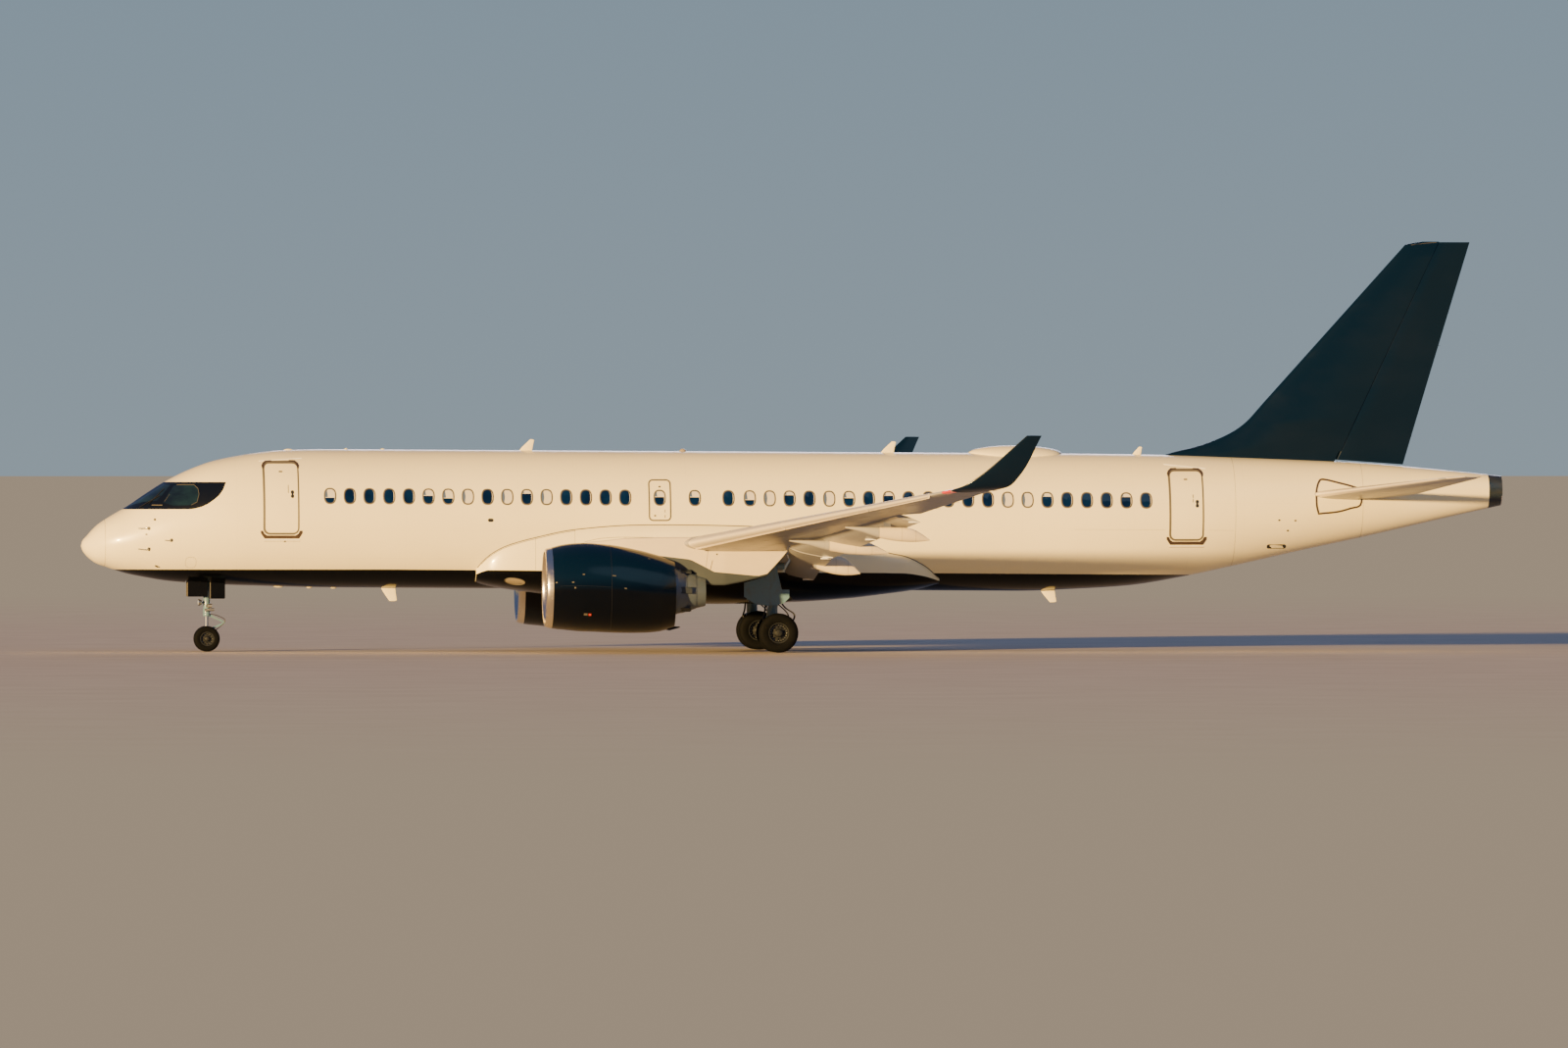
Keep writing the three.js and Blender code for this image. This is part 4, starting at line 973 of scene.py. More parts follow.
def build_hull():
    """The fuselage skin with its two holds and its nose gear bay cut out."""
    hull = mesh_of("hull", hull_form(), ["White paint", "Belly paint", "Exhaust steel"], 28)
    cutters = []
    g = DOOR_GAP
    for _, side, (x0, x1), (z0, z1), radius in HOLD_DOORS:
        edges = (x0 - g, x1 + g, z0 - g, z1 + g, radius + g)
        hole = plate_on_skin(*edges, side, 0.05, DOOR_THICKNESS + 0.004, (12, 26))
        cutters.append(mesh_of("hole", hole, ["Grey seal"]))
        head = z1 + HOLD_HEADROOM
        outline = [(HOLD_WALL_Y, z0 - g), (HOLD_WALL_Y, head)]
        for k in range(9):
            z = head + (z0 - g - head) * k / 8
            outline.append((half_width((x0 + x1) / 2, z) - DOOR_THICKNESS * 1.12, z))
        rings = [[(along(x), y, z) for y, z in outline] for x in (x0 - g, x1 + g)]
        cutters.append(mesh_of("hold", loft(rings), ["Hold lining"]))
    (x0, x1), wide = BAY["stations"], BAY["half_width"]
    bay = block((along(x0), -wide, 1.5), (along(x1), wide, BAY["roof"]))
    cutters.append(mesh_of("bay", bay, ["Well primer"]))
    end = along(TAIL_STATION)
    bore = [(0, end - 0.5), (0.15, end - 0.5), (0.23, end), (0.24, end + 0.02), (0, end + 0.02)]
    pipe = revolve(bore, 40, "X").moved(z=deck(TAIL_STATION) + EXHAUST_RISE)
    cutters.append(mesh_of("pipe", pipe, ["Exhaust steel"]))
    placed("hull", shaded(carved(hull, cutters), 28), stands_for=("fuselage",))


def build_hull_seams():
    """Skin joints of the radome and the tail, the lap over the wing, and the exhaust's rim."""
    form = Form()
    for station in SKIN_JOINTS:
        loops = []
        for x, grow in ((-0.003, -0.003), (-0.003, 0.001), (0.003, 0.001), (0.003, -0.003)):
            loops.append(split_ring(station + x, grow))
        form.add(closed_strip(loops))
    for side in (-1, 1):
        form.add(skin_line([(14.75, 3.39), (17.3, 3.39)], side, 0.005))
        form.add(skin_line([(26.9, 3.305), (29.4, 3.29)], side, 0.002))
        form.add(skin_line([(30.6, 3.28), (31.3, 3.275)], side, 0.002))
    make("hull_seams", form, ["Grey seal"])
    place = {"x": along(TAIL_STATION), "z": deck(TAIL_STATION) + EXHAUST_RISE}
    profile = [(0.232, -0.2), (0.25, -0.2), (0.262, 0.0), (0.25, 0.006), (0.236, 0.0)]
    rim = revolve(profile, 40, "X", closed=True).moved(**place)
    make("exhaust_rim", rim, ["Nozzle alloy"])
    middle, high, wide = section(TAIL_STATION - 0.01)
    lip = []
    for k in range(25):
        angle = math.radians(110 + 140 * k / 24)
        y, z = (wide - 0.012) * math.sin(angle), middle + (high - 0.012) * math.cos(angle)
        lip.append((along(TAIL_STATION - 0.012), y, z))
    make("exhaust_lip", tube(lip, 0.017, 8), ["Chromed steel"])


def build_doors():
    """Cabin doors with their seals, handles, scuff plates, sills and rain gutters."""
    fit = DOOR_FITTINGS
    for name, side, (x0, x1), (z0, z1), radius, grip, gutter in DOORS:
        panel = plate_on_skin(x0, x1, z0, z1, radius, side, 0.003, 0.03)
        make(name + "_panel", panel, ["White paint"], stands_for=(name,))
        outer = rounded(x0, x1, z0, z1, radius, 0.008)
        inner = rounded(x0 + 0.05, x1 - 0.032, z0 + 0.045, z1 - 0.072, radius - 0.045)
        make(name + "_seal", seal_strip(outer, inner, side, 0.007), ["Grey seal"])
        dark = door_pads(x0, x1, z0, z1, side)
        line = [(x0 + 0.02, z0 - fit["joint"]), (x1 + 0.03, z0 - fit["joint"])]
        dark.add(skin_line(line, side, 0.004))
        make(name + "_scuff_plates", dark, ["Scuff plate"])
        rail = skin_line([(x0 - 0.08, z1 + gutter[0]), (x1 + 0.12, z1 + gutter[1])], side, 0.013)
        sill = [(x0 + 0.02, z0 - fit["sill"]), (x1 + 0.03, z0 - fit["sill"])]
        rail.add(skin_line(sill, side, 0.014))
        make(name + "_gutter", rail, ["White mark"])
        x = x1 - fit["handle"] if side < 0 else x0 + fit["handle"]
        z = z0 + grip
        spots = [
            (x, z - 0.053, 0.043, 0.05),
            (x, z + 0.053, 0.043, 0.05),
            (x, z, 0.024, 0.03),
            (x + side * (fit["recess"] - fit["handle"]), z + 0.14, 0.008, 0.108),
            ((x0 + x1) / 2, z1 - fit["vent"], 0.05, 0.016),
        ]
        make(name + "_handle", spots_on_skin(spots, side, 0.006), ["Black fitting"])


def door_pads(x0, x1, z0, z1, side):
    """Dark protective plates: a trough under the door and one over each top corner."""
    lower = [
        (x0 - 0.02, z0 + 0.1), (x0 - 0.076, z0 + 0.1), (x0 - 0.07, z0 + 0.03),
        (x0 + 0.03, z0 - 0.11), (x1 - 0.005, z0 - 0.11), (x1 + 0.085, z0 + 0.03),
        (x1 + 0.09, z0 + 0.1), (x1 + 0.02, z0 + 0.1), (x1 - 0.02, z0 + 0.02),
        (x1 - 0.09, z0 - 0.028), (x0 + 0.09, z0 - 0.028), (x0 + 0.02, z0 + 0.02),
    ]
    form = decal(dense(lower), side, 0.009)
    for edge, sign in ((x0, -1), (x1, 1)):
        upper = [(0.012, -0.2), (0.024, -0.12), (-0.01, -0.05), (-0.09, 0.016), (-0.24, 0.022)]
        upper += [(-0.24, -0.012), (-0.12, -0.022), (-0.055, -0.075), (-0.025, -0.19)]
        points = [(edge + sign * x, z1 + z) for x, z in upper]
        form.add(decal(dense(points), side, 0.0095))
    return form


def build_exits():
    """Overwing exits."""
    (x0, x1), (z0, z1), radius = EXIT["stations"], EXIT["heights"], EXIT["radius"]
    for label, side in SIDES.items():
        panel = plate_on_skin(x0, x1, z0, z1, radius, side, 0.003, 0.03)
        name = "overwing_exit_" + label
        make(name + "_panel", panel, ["White paint"], stands_for=(name,))
        outer = rounded(x0, x1, z0, z1, radius, 0.006)
        inner = rounded(x0 + 0.034, x1 - 0.034, z0 + 0.034, z1 - 0.034, radius - 0.034)
        make(name + "_seal", seal_strip(outer, inner, side, 0.006), ["Grey seal"])
        spots = [(15.783, 3.734, 0.008, 0.113), (15.649, 4.464, 0.03, 0.02)]
        spots.append((15.513, 3.682, 0.03, 0.02))
        make(name + "_marks", spots_on_skin(spots, side, 0.0055), ["Black fitting"])


def build_hold_doors():
    """The two hold doors, each a thick curved panel with latches and a lined inside."""
    for name, side, (x0, x1), (z0, z1), radius in HOLD_DOORS:
        form = plate_on_skin(x0, x1, z0, z1, radius, side, 0.0, DOOR_THICKNESS, (12, 24))
        mesh = mesh_of(name, form, ["White paint", "Hold lining"], 30)
        for face in mesh.polygons:
            station = face.center.x + NOSE_STATION + LENGTH / 2
            depth = half_width(station, face.center.z) - abs(face.center.y)
            face.material_index = int(depth > DOOR_THICKNESS * 0.5)
        placed(name + "_panel", mesh, name, stands_for=(name,))
        middle = (x0 + x1) / 2
        spots = [(x, z0 + 0.08, 0.05, 0.02) for x in (x0 + 0.2, middle, x1 - 0.2)]
        spots.append((middle, z0 + 0.235, 0.09, 0.035))
        make(name + "_latches", spots_on_skin(spots, side, 0.003), ["Black fitting"], name)


# Cabin windows. Shades on the left side, by number from the front
SHADES = {
    "closed": (7, 9, 11, 20, 23, 32, 33),
    "low": (0, 6, 19),
    "half": (5, 16, 17, 24),
    "high": (10, 21, 26, 34, 38),
}
SHADE_DEPTHS = {"open": 0.0, "high": 0.52, "half": 0.9, "low": 1.25, "closed": 2.0}
WINDOW_STATION = 16.0
# First station and number of the windows ahead of the wing and aft of it, and those between
WINDOW_ROWS = ((6.719, 16), (18.09, 21))
WINDOWS_BETWEEN = (15.645, 16.596, 17.511)


def build_windows(sizes):
    """Cabin windows on both sides, some of them with their shades down."""
    pitches = (sizes.window_pitch_front, sizes.window_pitch_rear)
    ahead, aft = (
        [first + pitch * i for i in range(count)]
        for (first, count), pitch in zip(WINDOW_ROWS, pitches)
    )
    stations = [*ahead, *WINDOWS_BETWEEN, *aft]
    wide, high = sizes.window_width / 2, sizes.window_height / 2
    chance = random.Random(7)
    for name, side in SIDES.items():
        kinds = {kind: [] for kind in SHADE_DEPTHS}
        for i, station in enumerate(stations):
            left = [kind for kind, numbers in SHADES.items() if i in numbers] or ["open"]
            right = chance.choices(list(SHADE_DEPTHS), (6, 2, 1, 1, 1))
            kinds[(left if side < 0 else right)[0]].append(station)
        parts = [("frames", window_frame(side, wide, high), "Window trim", stations)]
        pane = skin_patch(window_outline(wide, -high, high), side, 0.005)
        parts.append(("panes", pane, "Cabin glass", stations))
        # Painted light: a thin pale crescent at each window's rear edge stands for the sunlit side
        # wall
        rear = window_jamb(side, wide, high, 0.05, 1, 0.006)
        parts.append(("rear_jambs", rear, "Window shade", stations))
        for kind, share in SHADE_DEPTHS.items():
            if kind == "open":
                continue
            outline = window_outline(wide * 0.97, high * (1 - share), high * 0.97)
            shade_patch = skin_patch(outline, side, 0.0065)
            parts.append((kind + "_shades", shade_patch, "Window shade", kinds[kind]))
            # Painted shadow: a dark crescent at the front edge of each window with its shade down
            # stands for the side wall in shade
            jamb = window_jamb(side, wide, high, 0.26, -1, 0.0075, high * (1 - share))
            parts.append((kind + "_front_jambs", jamb, "Shaded window jamb", kinds[kind]))
        for label, piece, paint, places in parts:
            spots = [(station, deck(station) + WINDOW_RISE) for station in places]
            points = [skin_point(station, z, side) for station, z in spots]
            turns = [skin_turn(station, side) for station in places]
            placed(f"cabin_window_{label}_{name}", row(piece, paint, points, turns))


def window_jamb(side, wide, high, share, end, rise, low=-9.0):
    """The side wall of a window's opening, seen at its front (-1) or rear (+1) edge, drawn as a
    flat crescent on the skin whose colour paints the shadow (front) or the sunlight (rear) on that
    wall.
    """
    rings = []
    for k in range(17):
        z = high * math.sin(math.radians(-84 + 168 * k / 16))
        if z < low:
            continue
        x = end * wide * (1 - abs(z / high) ** 2.6) ** (1 / 2.6)
        edge = [(x, z), (x * (1 - 2 * share * (1 - (z / high) ** 2)), z)]
        front = moved_to_origin(edge, side, rise)
        back = moved_to_origin(edge, side, -SUNK)
        rings.append([back[0], *front, back[1]])
    return loft(rings)


def skin_turn(station, side):
    """The turn that lays a patch made for the middle of the cabin on the skin elsewhere."""
    tilts = []
    for place in (WINDOW_STATION, station):
        normal = skin_normal(place, deck(place) + WINDOW_RISE, side)
        tilts.append(math.asin(normal.z))
    return (side * (tilts[1] - tilts[0]), 0.0, -side * math.atan2(normal.x, abs(normal.y)))


def window_outline(wide, low, high):
    """Stations and heights of an upright oval about the origin, cut off at low."""
    outline = []
    for c, s in circle(28):
        x = wide * math.copysign(abs(c) ** 0.8, c)
        z = max(low, high * math.copysign(abs(s) ** 0.8, s))
        if not outline or math.dist(outline[-1], (x, z)) > 1e-4:
            outline.append((x, z))
    return outline


def moved_to_origin(outline, side, rise):
    z = deck(WINDOW_STATION) + WINDOW_RISE
    middle = skin_point(WINDOW_STATION, z, side)
    return [skin_point(WINDOW_STATION + x, z + h, side, rise) - middle for x, h in outline]


def skin_patch(outline, side, rise):
    """A patch of the cabin's skin, moved so that the window's middle is at the origin."""
    middle = np.mean(outline, axis=0)
    rings = []
    for share, depth in ((1.0, -SUNK), (1.0, rise), (0.5, rise), (0.02, rise)):
        points = [tuple(middle + (np.asarray(p) - middle) * share) for p in outline]
        rings.append(moved_to_origin(points, side, depth))
    return loft(rings)


# A window frame across: how far out from the window's edge, and over the skin
FRAME_SECTION = [(0.0, -SUNK), (0.0, 0.0085), (0.006, 0.0095), (0.034, 0.0035), (0.036, -SUNK)]


def window_frame(side, wide, high):
    loops = []
    for grow, depth in FRAME_SECTION:
        outline = window_outline(wide + grow, -high - grow, high + grow)
        loops.append(moved_to_origin(outline, side, depth))
    return closed_strip(loops)


# Cockpit glazing and wipers, drawn from the side: station, height
MASK = [
    (1.05, 3.855), (2.92, 3.86), (3.056, 3.873), (3.259, 3.923), (3.43, 4.003),
    (3.602, 4.124), (3.741, 4.243), (3.847, 4.397), (3.922, 4.592), (2.1, 4.592),
]
SIDE_WINDOW = [
    (2.231, 4.037), (2.515, 3.951), (2.989, 3.969), (3.143, 4.055), (3.199, 4.26),
    (3.176, 4.414), (3.072, 4.517), (2.621, 4.516), (2.537, 4.492), (2.392, 4.294),
]
WINDSCREEN = [(1.356, 3.948), (1.718, 4.053), (2.083, 4.088), (2.456, 4.516), (2.28, 4.533)]
WIPERS = (((1.62, 3.9), (2.16, 4.22)), ((1.86, 3.99), (2.28, 4.4)))


def glazing_patch(outline, low, high, paints):
    """The part of the nose skin, between two depths, that lies inside an outline."""
    outer = loft([split_ring(0.3 + 0.05 * i, high) for i in range(86)])
    skin = mesh_of("skin", outer, paints, 30)
    inner = loft([split_ring(0.25 + 0.05 * i, low) for i in range(90)])
    rings = [[(along(x), y, z) for x, z in outline] for y in (-2.2, 2.2)]
    piece = carved(skin, [mesh_of("cutter", loft(rings), paints)], "INTERSECT")
    return carved(piece, [mesh_of("inner", inner, paints)])


def build_cockpit():
    """The dark mask round the cockpit, its panes with their frames, and the wipers."""
    mask = glazing_patch(MASK, -0.02, 0.0025, ["Cockpit mask"])
    placed("cockpit_mask", shaded(mask, 25), stands_for=("cockpit_glazing",))
    for label, outline in (("side_windows", SIDE_WINDOW), ("windscreens", WINDSCREEN)):
        panes = glazing_patch(outline, -0.015, 0.0055, ["Cockpit glass"])
        if label == "windscreens":
            post = block((along(0.9), -0.035, 3.7), (along(2.9), 0.035, 4.9))
            panes = carved(panes, [mesh_of("post", post, ["Cockpit glass"])])
        placed("cockpit_" + label, shaded(panes, 25))
    frames = Form()
    wipers = Form()
    for side in (-1, 1):
        frames.add(skin_line(SIDE_WINDOW[2:8], side, 0.008, 0.007))
        frames.add(skin_line([(1.94, 3.965), (2.22, 3.965)], side, 0.013, 0.008))
        frames.add(skin_line([(2.275, 4.06), (2.42, 4.26)], side, 0.005, 0.007))
        for start, end in WIPERS:
            ends = [skin_point(*start, side, 0.02), skin_point(*end, side, 0.02)]
            wipers.add(tube([ends[0], ends[0].lerp(ends[1], 0.5), ends[1]], 0.009, 6))
    make("cockpit_frames", frames, ["Window trim"])
    make("cockpit_wipers", wipers, ["Black fitting"])


# A blade aerial: how far it leans aft as a share of its taper, and its thickness
AERIAL = {"sweep": 1.25, "width": 0.035}
# Columns: station, length, height, on the crown, the tip's share of the root
BLADE_AERIALS = [
    (11.93, 0.36, 0.3, True, 0.3), (21.775, 0.37, 0.3, True, 0.3), (28.657, 0.24, 0.21, True, 0.35),
    (8.171, 0.4, 0.36, False, 0.5), (26.138, 0.4, 0.33, False, 0.45),
]
# Columns: station, length, on the crown
SMALL_AERIALS = [
    (5.539, 0.27, True), (7.188, 0.11, True), (8.172, 0.13, True),
    (5.25, 0.3, False), (6.15, 0.18, False), (6.8, 0.2, False),
]


def blade_aerial(station, length, height, top, tip):
    """A blade aerial on the crown or the keel. tip: the tip's length as a share of the root's."""
    sign = 1 if top else -1
    foot = spine_height(station + length / 2, sign)
    rings = []
    for rise in (-0.1, 0.3, 0.7, 0.94, 1.0):
        share = 1 - (1 - tip) * max(rise, 0) - (0.12 if rise == 1 else 0)
        start = station + length * (1 - tip) * AERIAL["sweep"] * max(rise, 0)
        points = []
        for c, s in circle(14):
            back = (1 - c) / 2
            y = AERIAL["width"] * share * 0.5 * s * (1 - 0.4 * back)
            points.append((along(start + length * share * back), y, foot + sign * rise * height))
        rings.append(points)
    return loft(rings)


def dome(station, length, width, height, sides, steps, top=True):
    """A low smooth dome on the crown or the keel."""
    sign = 1 if top else -1
    rings = []
    for k in range(steps + 1):
        rise = math.sin(math.pi / 2 * k / steps)
        spread = max(math.cos(math.pi / 2 * k / steps), 0.02)
        points = []
        for c, s in circle(sides):
            x = station + length / 2 * (1 + spread * c)
            y = width / 2 * spread * s
            middle, high, wide = section(x)
            skin = middle + sign * high * math.sqrt(1 - (y / wide) ** 2)
            points.append((along(x), y, skin + sign * (rise * height - 0.015)))
        rings.append(points)
    return loft(rings)


def build_aerials():
    """Aerials and beacons along the crown and the keel."""
    make("dome_aerial", dome(24.183, 2.571, 1.15, 0.225, 48, 12), ["White paint"])
    blades = Form()
    for values in BLADE_AERIALS:
        blades.add(blade_aerial(*values))
    make("blade_aerials", blades, ["White paint"])
    bumps = Form()
    for station, length, top in SMALL_AERIALS:
        bumps.add(dome(station, length, 0.12, 0.05, 20, 5, top))
    make("small_aerials", bumps, ["White paint"])
    make("crown_beacon", dome(16.3, 0.2, 0.16, 0.09, 20, 6), ["Amber lens"])


# Probes on the nose. Columns: station of the tip, of the foot, height, thickness
PROBES = [(1.562, 1.849, 3.34, 0.016), (1.562, 1.851, 2.784, 0.016), (2.267, 2.451, 3.023, 0.013)]


def build_probes():
    """Air data probes, vanes and static ports on the nose, and vents at the tail."""
    probes = Form()
    ports = Form()
    marks = Form()
    for side in (-1, 1):
        for tip, foot, z, thick in PROBES:
            base = skin_point(foot, z, side, -0.01)
            knee = skin_point(foot - 0.05, z, side, 0.07)
            end = skin_point(tip, z, side)
            end = Vector((along(tip), knee.y + (end.y - base.y) * 0.5, z))
            path = bent([base, base.lerp(knee, 0.8), knee, knee.lerp(end, 0.5), end], 4)
            probes.add(tube(path, [thick * 1.7] * 8 + [thick] * 9, 8))
            marks.add(spots_on_skin([(foot, z, 0.04, 0.045)], side, 0.004))
        vane = [skin_point(2.03, 2.333, side), skin_point(2.1, 2.33, side, 0.05)]
        marks.add(tube(vane, 0.02, 8))
        marks.add(spots_on_skin([(2.008, 3.579, 0.03, 0.03), (11.06, 3.56, 0.075, 0.045)], side))
        ports.add(spots_on_skin([(1.78, 3.18, 0.03, 0.02), (5.5, 2.99, 0.03, 0.02)], side, 0.002))
        hatch = dense(rounded(2.84, 3.12, 2.28, 2.56, 0.1))
        ports.add(frame_on_skin(hatch, widened(hatch, 0.006), side, 0.0015))
    make("nose_probes", probes, ["Fitting steel"])
    make("static_ports", ports, ["Grey seal"])
    make("nose_marks", marks, ["Black fitting"])
    vents = Form()
    for side in (-1, 1):
        spots = [(32.52, 2.835, 0.27, 0.055)]
        spots += [(x, z, 0.03, 0.02) for x, z in ((32.55, 3.55), (33.0, 3.54), (32.8, 3.27))]
        vents.add(spots_on_skin(spots, side, 0.003))
    make("tail_vents", vents, ["Black fitting"])


# Belly fairing. Columns: station, half width, top, bottom
FAIRING = [
    (10.7, 1.22, 2.4, 1.86), (10.85, 1.42, 2.62, 1.81), (11.1, 1.58, 2.9, 1.76),
    (11.5, 1.695, 3.16, 1.7), (12.3, 1.8, 3.42, 1.59), (13.35, 1.88, 3.64, 1.47),
    (15.0, 1.98, 3.7, 1.34), (17.3, 2.02, 3.66, 1.276), (19.4, 2.0, 3.56, 1.33),
    (20.9, 1.9, 3.3, 1.43), (21.9, 1.7, 2.85, 1.55), (22.3, 1.63, 2.77, 1.6),
    (22.9, 1.4, 2.44, 1.7), (23.3, 1.01, 2.04, 1.8),
]
FAIRING_CURVES = columns(FAIRING)
FAIRING_MIDDLE = 0.45
FAIRING_UPPER_POWER = 4
FAIRING_LOWER_POWER = 2.6
WELL = {"y": 1.08, "radius": 0.6, "roof": 1.98}
FAIRING_LAMP = (11.732, 1.905)
# The seal along the wing's root, and the stations of the seams below it
ROOT_SEAL = smooth_curve([13.59, 14.1, 14.63, 15.64, 17.2], [2.98, 3.075, 3.101, 3.09, 3.04])
FAIRING_SEAMS = (12.273, 13.335, 14.688, 15.14, 15.61, 20.2)


def fairing_ring(station):
    wide, top, bottom = (curve(station) for curve in FAIRING_CURVES)
    middle = bottom + (top - bottom) * FAIRING_MIDDLE
    share = (PAINT_LINE(station) - middle) / (middle - bottom)
    share = -(min(0.995, max(0.02, -share)) ** (FAIRING_LOWER_POWER / 2))
    turn = math.acos(share)
    angles = [turn * i / UPPER_STEPS for i in range(UPPER_STEPS)]
    angles += [turn + (math.pi - turn) * i / LOWER_STEPS for i in range(LOWER_STEPS + 1)]
    left = []
    for angle in angles:
        c, s = math.cos(angle), math.sin(angle)
        power = 2 / (FAIRING_UPPER_POWER if c > 0 else FAIRING_LOWER_POWER)
        height = top - middle if c > 0 else middle - bottom
        left.append((-wide * abs(s) ** power, middle + height * math.copysign(abs(c) ** power, c)))
    right = [(-y, z) for y, z in left[-2:0:-1]]
    return [(along(station), y, z) for y, z in left + right]


def fairing_half_width(station, z):
    wide, top, bottom = (curve(station) for curve in FAIRING_CURVES)
    middle = bottom + (top - bottom) * FAIRING_MIDDLE
    power = FAIRING_UPPER_POWER if z > middle else FAIRING_LOWER_POWER
    height = top - middle if z > middle else middle - bottom
    return wide * max(0.0, 1 - (abs(z - middle) / height) ** power) ** (1 / power)


def fairing_edge(station):
    """The height at which the fairing's side runs into the fuselage."""
    _, top, bottom = (curve(station) for curve in FAIRING_CURVES)
    low, high = bottom + (top - bottom) * FAIRING_MIDDLE, top - 0.001
    for _ in range(26):
        z = (low + high) / 2
        if fairing_half_width(station, z) > half_width(station, z):
            low = z
        else:
            high = z
    return low


def fairing_line(points, side, radius):
    """A thin tube on the fairing's side through stations and heights."""
    path = []
    for station, z in points:
        path.append((along(station), side * (fairing_half_width(station, z) + 0.0005), z))
    return tube(path, radius, 6)


def build_belly_fairing():
    """The fairing under the wing roots, with a round well for each pair of main wheels."""
    first, last = FAIRING[0][0], FAIRING[-1][0]
    stations = evenly(first, last, 91)
    form = loft([fairing_ring(s) for s in stations])
    count = 2 * (UPPER_STEPS + LOWER_STEPS)
    for k in range(len(stations) - 1):
        for i in range(UPPER_STEPS, count - UPPER_STEPS):
            form.paints[k * count + i] = 1
    mesh = mesh_of("belly", form, ["White paint", "Belly paint"], 30)
    cutters = []
    for side in (-1, 1):
        r = WELL["radius"]
        profile = [(0, 0.9), (r, 0.9), (r, WELL["roof"]), (0, WELL["roof"])]
        well = revolve(profile, 48, "Z", (along(MAIN_GEAR), side * WELL["y"], 0))
        cutters.append(mesh_of("well", well, ["Well primer"]))
    mesh = shaded(carved(mesh, cutters), 30)
    placed("belly_fairing_skin", mesh, stands_for=("belly_fairing",))


def fairing_lamp_outline():
    x, z = FAIRING_LAMP
    return [(x + 0.275 * c, z + 0.088 * s - 0.03 * c) for c, s in circle(28)]


def fairing_lamp(side):
    """A low lamp glass on the fairing's side."""
    middle = np.array(FAIRING_LAMP)
    rings = []
    for share, rise in ((1, -0.01), (1, 0.006), (0.5, 0.01), (0.02, 0.012)):
        points = []
        for spot in fairing_lamp_outline():
            station, z = (middle + (spot - middle) * share).tolist()
            points.append((along(station), side * (fairing_half_width(station, z) + rise), z))
        rings.append(points)
    return loft(rings)


def build_fairing_details():
    """The fairing's upper edge, its seals and trims, and its lamps."""
    edges, seals, trims, lamps = Form(), Form(), Form(), Form()
    outline = fairing_lamp_outline()
    for side in (-1, 1):
        edge = [(s, fairing_edge(s)) for s in evenly(10.74, 23.24, 140)]
        edges.add(tube([skin_point(s, z, side, 0.002) for s, z in edge], 0.014, 6))
        rim = [(s, z - 0.035) for s, z in edge if 10.8 < s < 13.4]
        trims.add(fairing_line(rim, side, 0.007))
        trims.add(fairing_line([*outline, outline[0]], side, 0.012))
        root_line = [(s, ROOT_SEAL(s)) for s in evenly(13.59, 17.2, 40)]
        seals.add(fairing_line(root_line, side, 0.006))
        for station in FAIRING_SEAMS:
            top = fairing_edge(station) - 0.02
            if station > 13.5:
                top = min(top, ROOT_SEAL(station))
            line = [(station, z) for z in evenly(PAINT_LINE(station) + 0.02, top, 14)]
            seals.add(fairing_line(line, side, 0.0035))
        lamps.add(fairing_lamp(side))
    make("belly_fairing_edge", edges, ["Window trim"])
    make("belly_fairing_seals", seals, ["Grey seal"])
    make("belly_fairing_trims", trims, ["Window trim"])
    make("fairing_lamps", lamps, ["Amber lens"])


# Wing. Columns: span y, leading edge, chord, height, thickness ratio, incidence, rear wall share
WING = [
    (1.0, 13.108, 6.64, 2.345, 0.13, 2.2, 0.884),
    (3.9, 14.805, 4.995, 2.712, 0.125, 1.8, 0.832),
    (6.3, 16.27, 3.66, 3.015, 0.118, 1.2, 0.675),
    (16.75, 22.16, 1.11, 4.395, 0.1, -1.0, 0.72),
]
WING_CURVES = columns(WING, straight_curve)
CAMBER = 0.014
FULL_CHORD_FROM = 15.64
SLAT = {"ahead": 0.085, "drop": 0.034, "gap": 0.008, "thick": 0.01}
SLAT_JOINTS = (6.12, 9.93, 13.4, 15.9)
FLAP = {"behind": 0.045, "drop": 0.02, "angle": 15, "ratio": 0.15}
FLAPS = {"inboard": (2.12, 6.24), "outboard": (6.34, 12.02)}
# Flap track fairings. Columns: span, station of the front, length, top, depth, half width, and
# how far the rear end hangs down
CANOES = {
    "inboard": ((4.55, 18.85, 1.98, 2.7, 0.54, 0.15, 0.09),),
    "outboard": (
        (7.95, 18.642, 2.646, 3.056, 0.388, 0.145, 0.01),
        (11.25, 19.846, 2.251, 3.43, 0.4, 0.135, 0.01),
    ),
}
# Along a fairing: share of the length, top and bottom as shares of the depth, share of the width
CANOE_SECTIONS = [
    (0, 0, 0.1, 0.25), (0.18, 0, 0.35, 0.75), (0.45, 0.02, 0.8, 1), (0.68, 0.04, 0.98, 1),
    (0.79, 0.13, 1, 0.85), (0.9, 0.45, 0.97, 0.5), (1, 0.84, 0.9, 0.08),
]
CANOE_CURVES = columns(CANOE_SECTIONS)
HANGER = {"from_nose": 0.06, "length": 0.18, "half": 0.022, "into_fairing": 0.09}
SPOILERS = ((2.3, 3.9), (3.92, 5.9), (6.5, 8.3), (8.3, 10.1), (10.1, 11.95))
AILERON = (12.1, 15.6)
WING_WICKS = (13.0, 14.2, 15.2, 16.0, 16.6)
SPOILER_CHORD = 0.56
TANK_HATCHES = [2.6 + 0.72 * i for i in range(18)]
# Vortex vanes: share of the chord they stand at, and degrees that they are turned
VANE_SPANS = [8.0 + 0.52 * i for i in range(14)]
VANE = {"chord_share": 0.27, "turn": 14}
SWING_GAP = 0.012
REAR_EDGE = 0.007


def half_thickness(u, ratio):
    u = max(u, 0.0)
    series = 0.2969 * math.sqrt(u) - 0.126 * u - 0.3516 * u**2 + 0.2843 * u**3 - 0.1015 * u**4
    return 5 * ratio * series


def mean_line(u, camber):
    return 4 * camber * u * (1 - u)


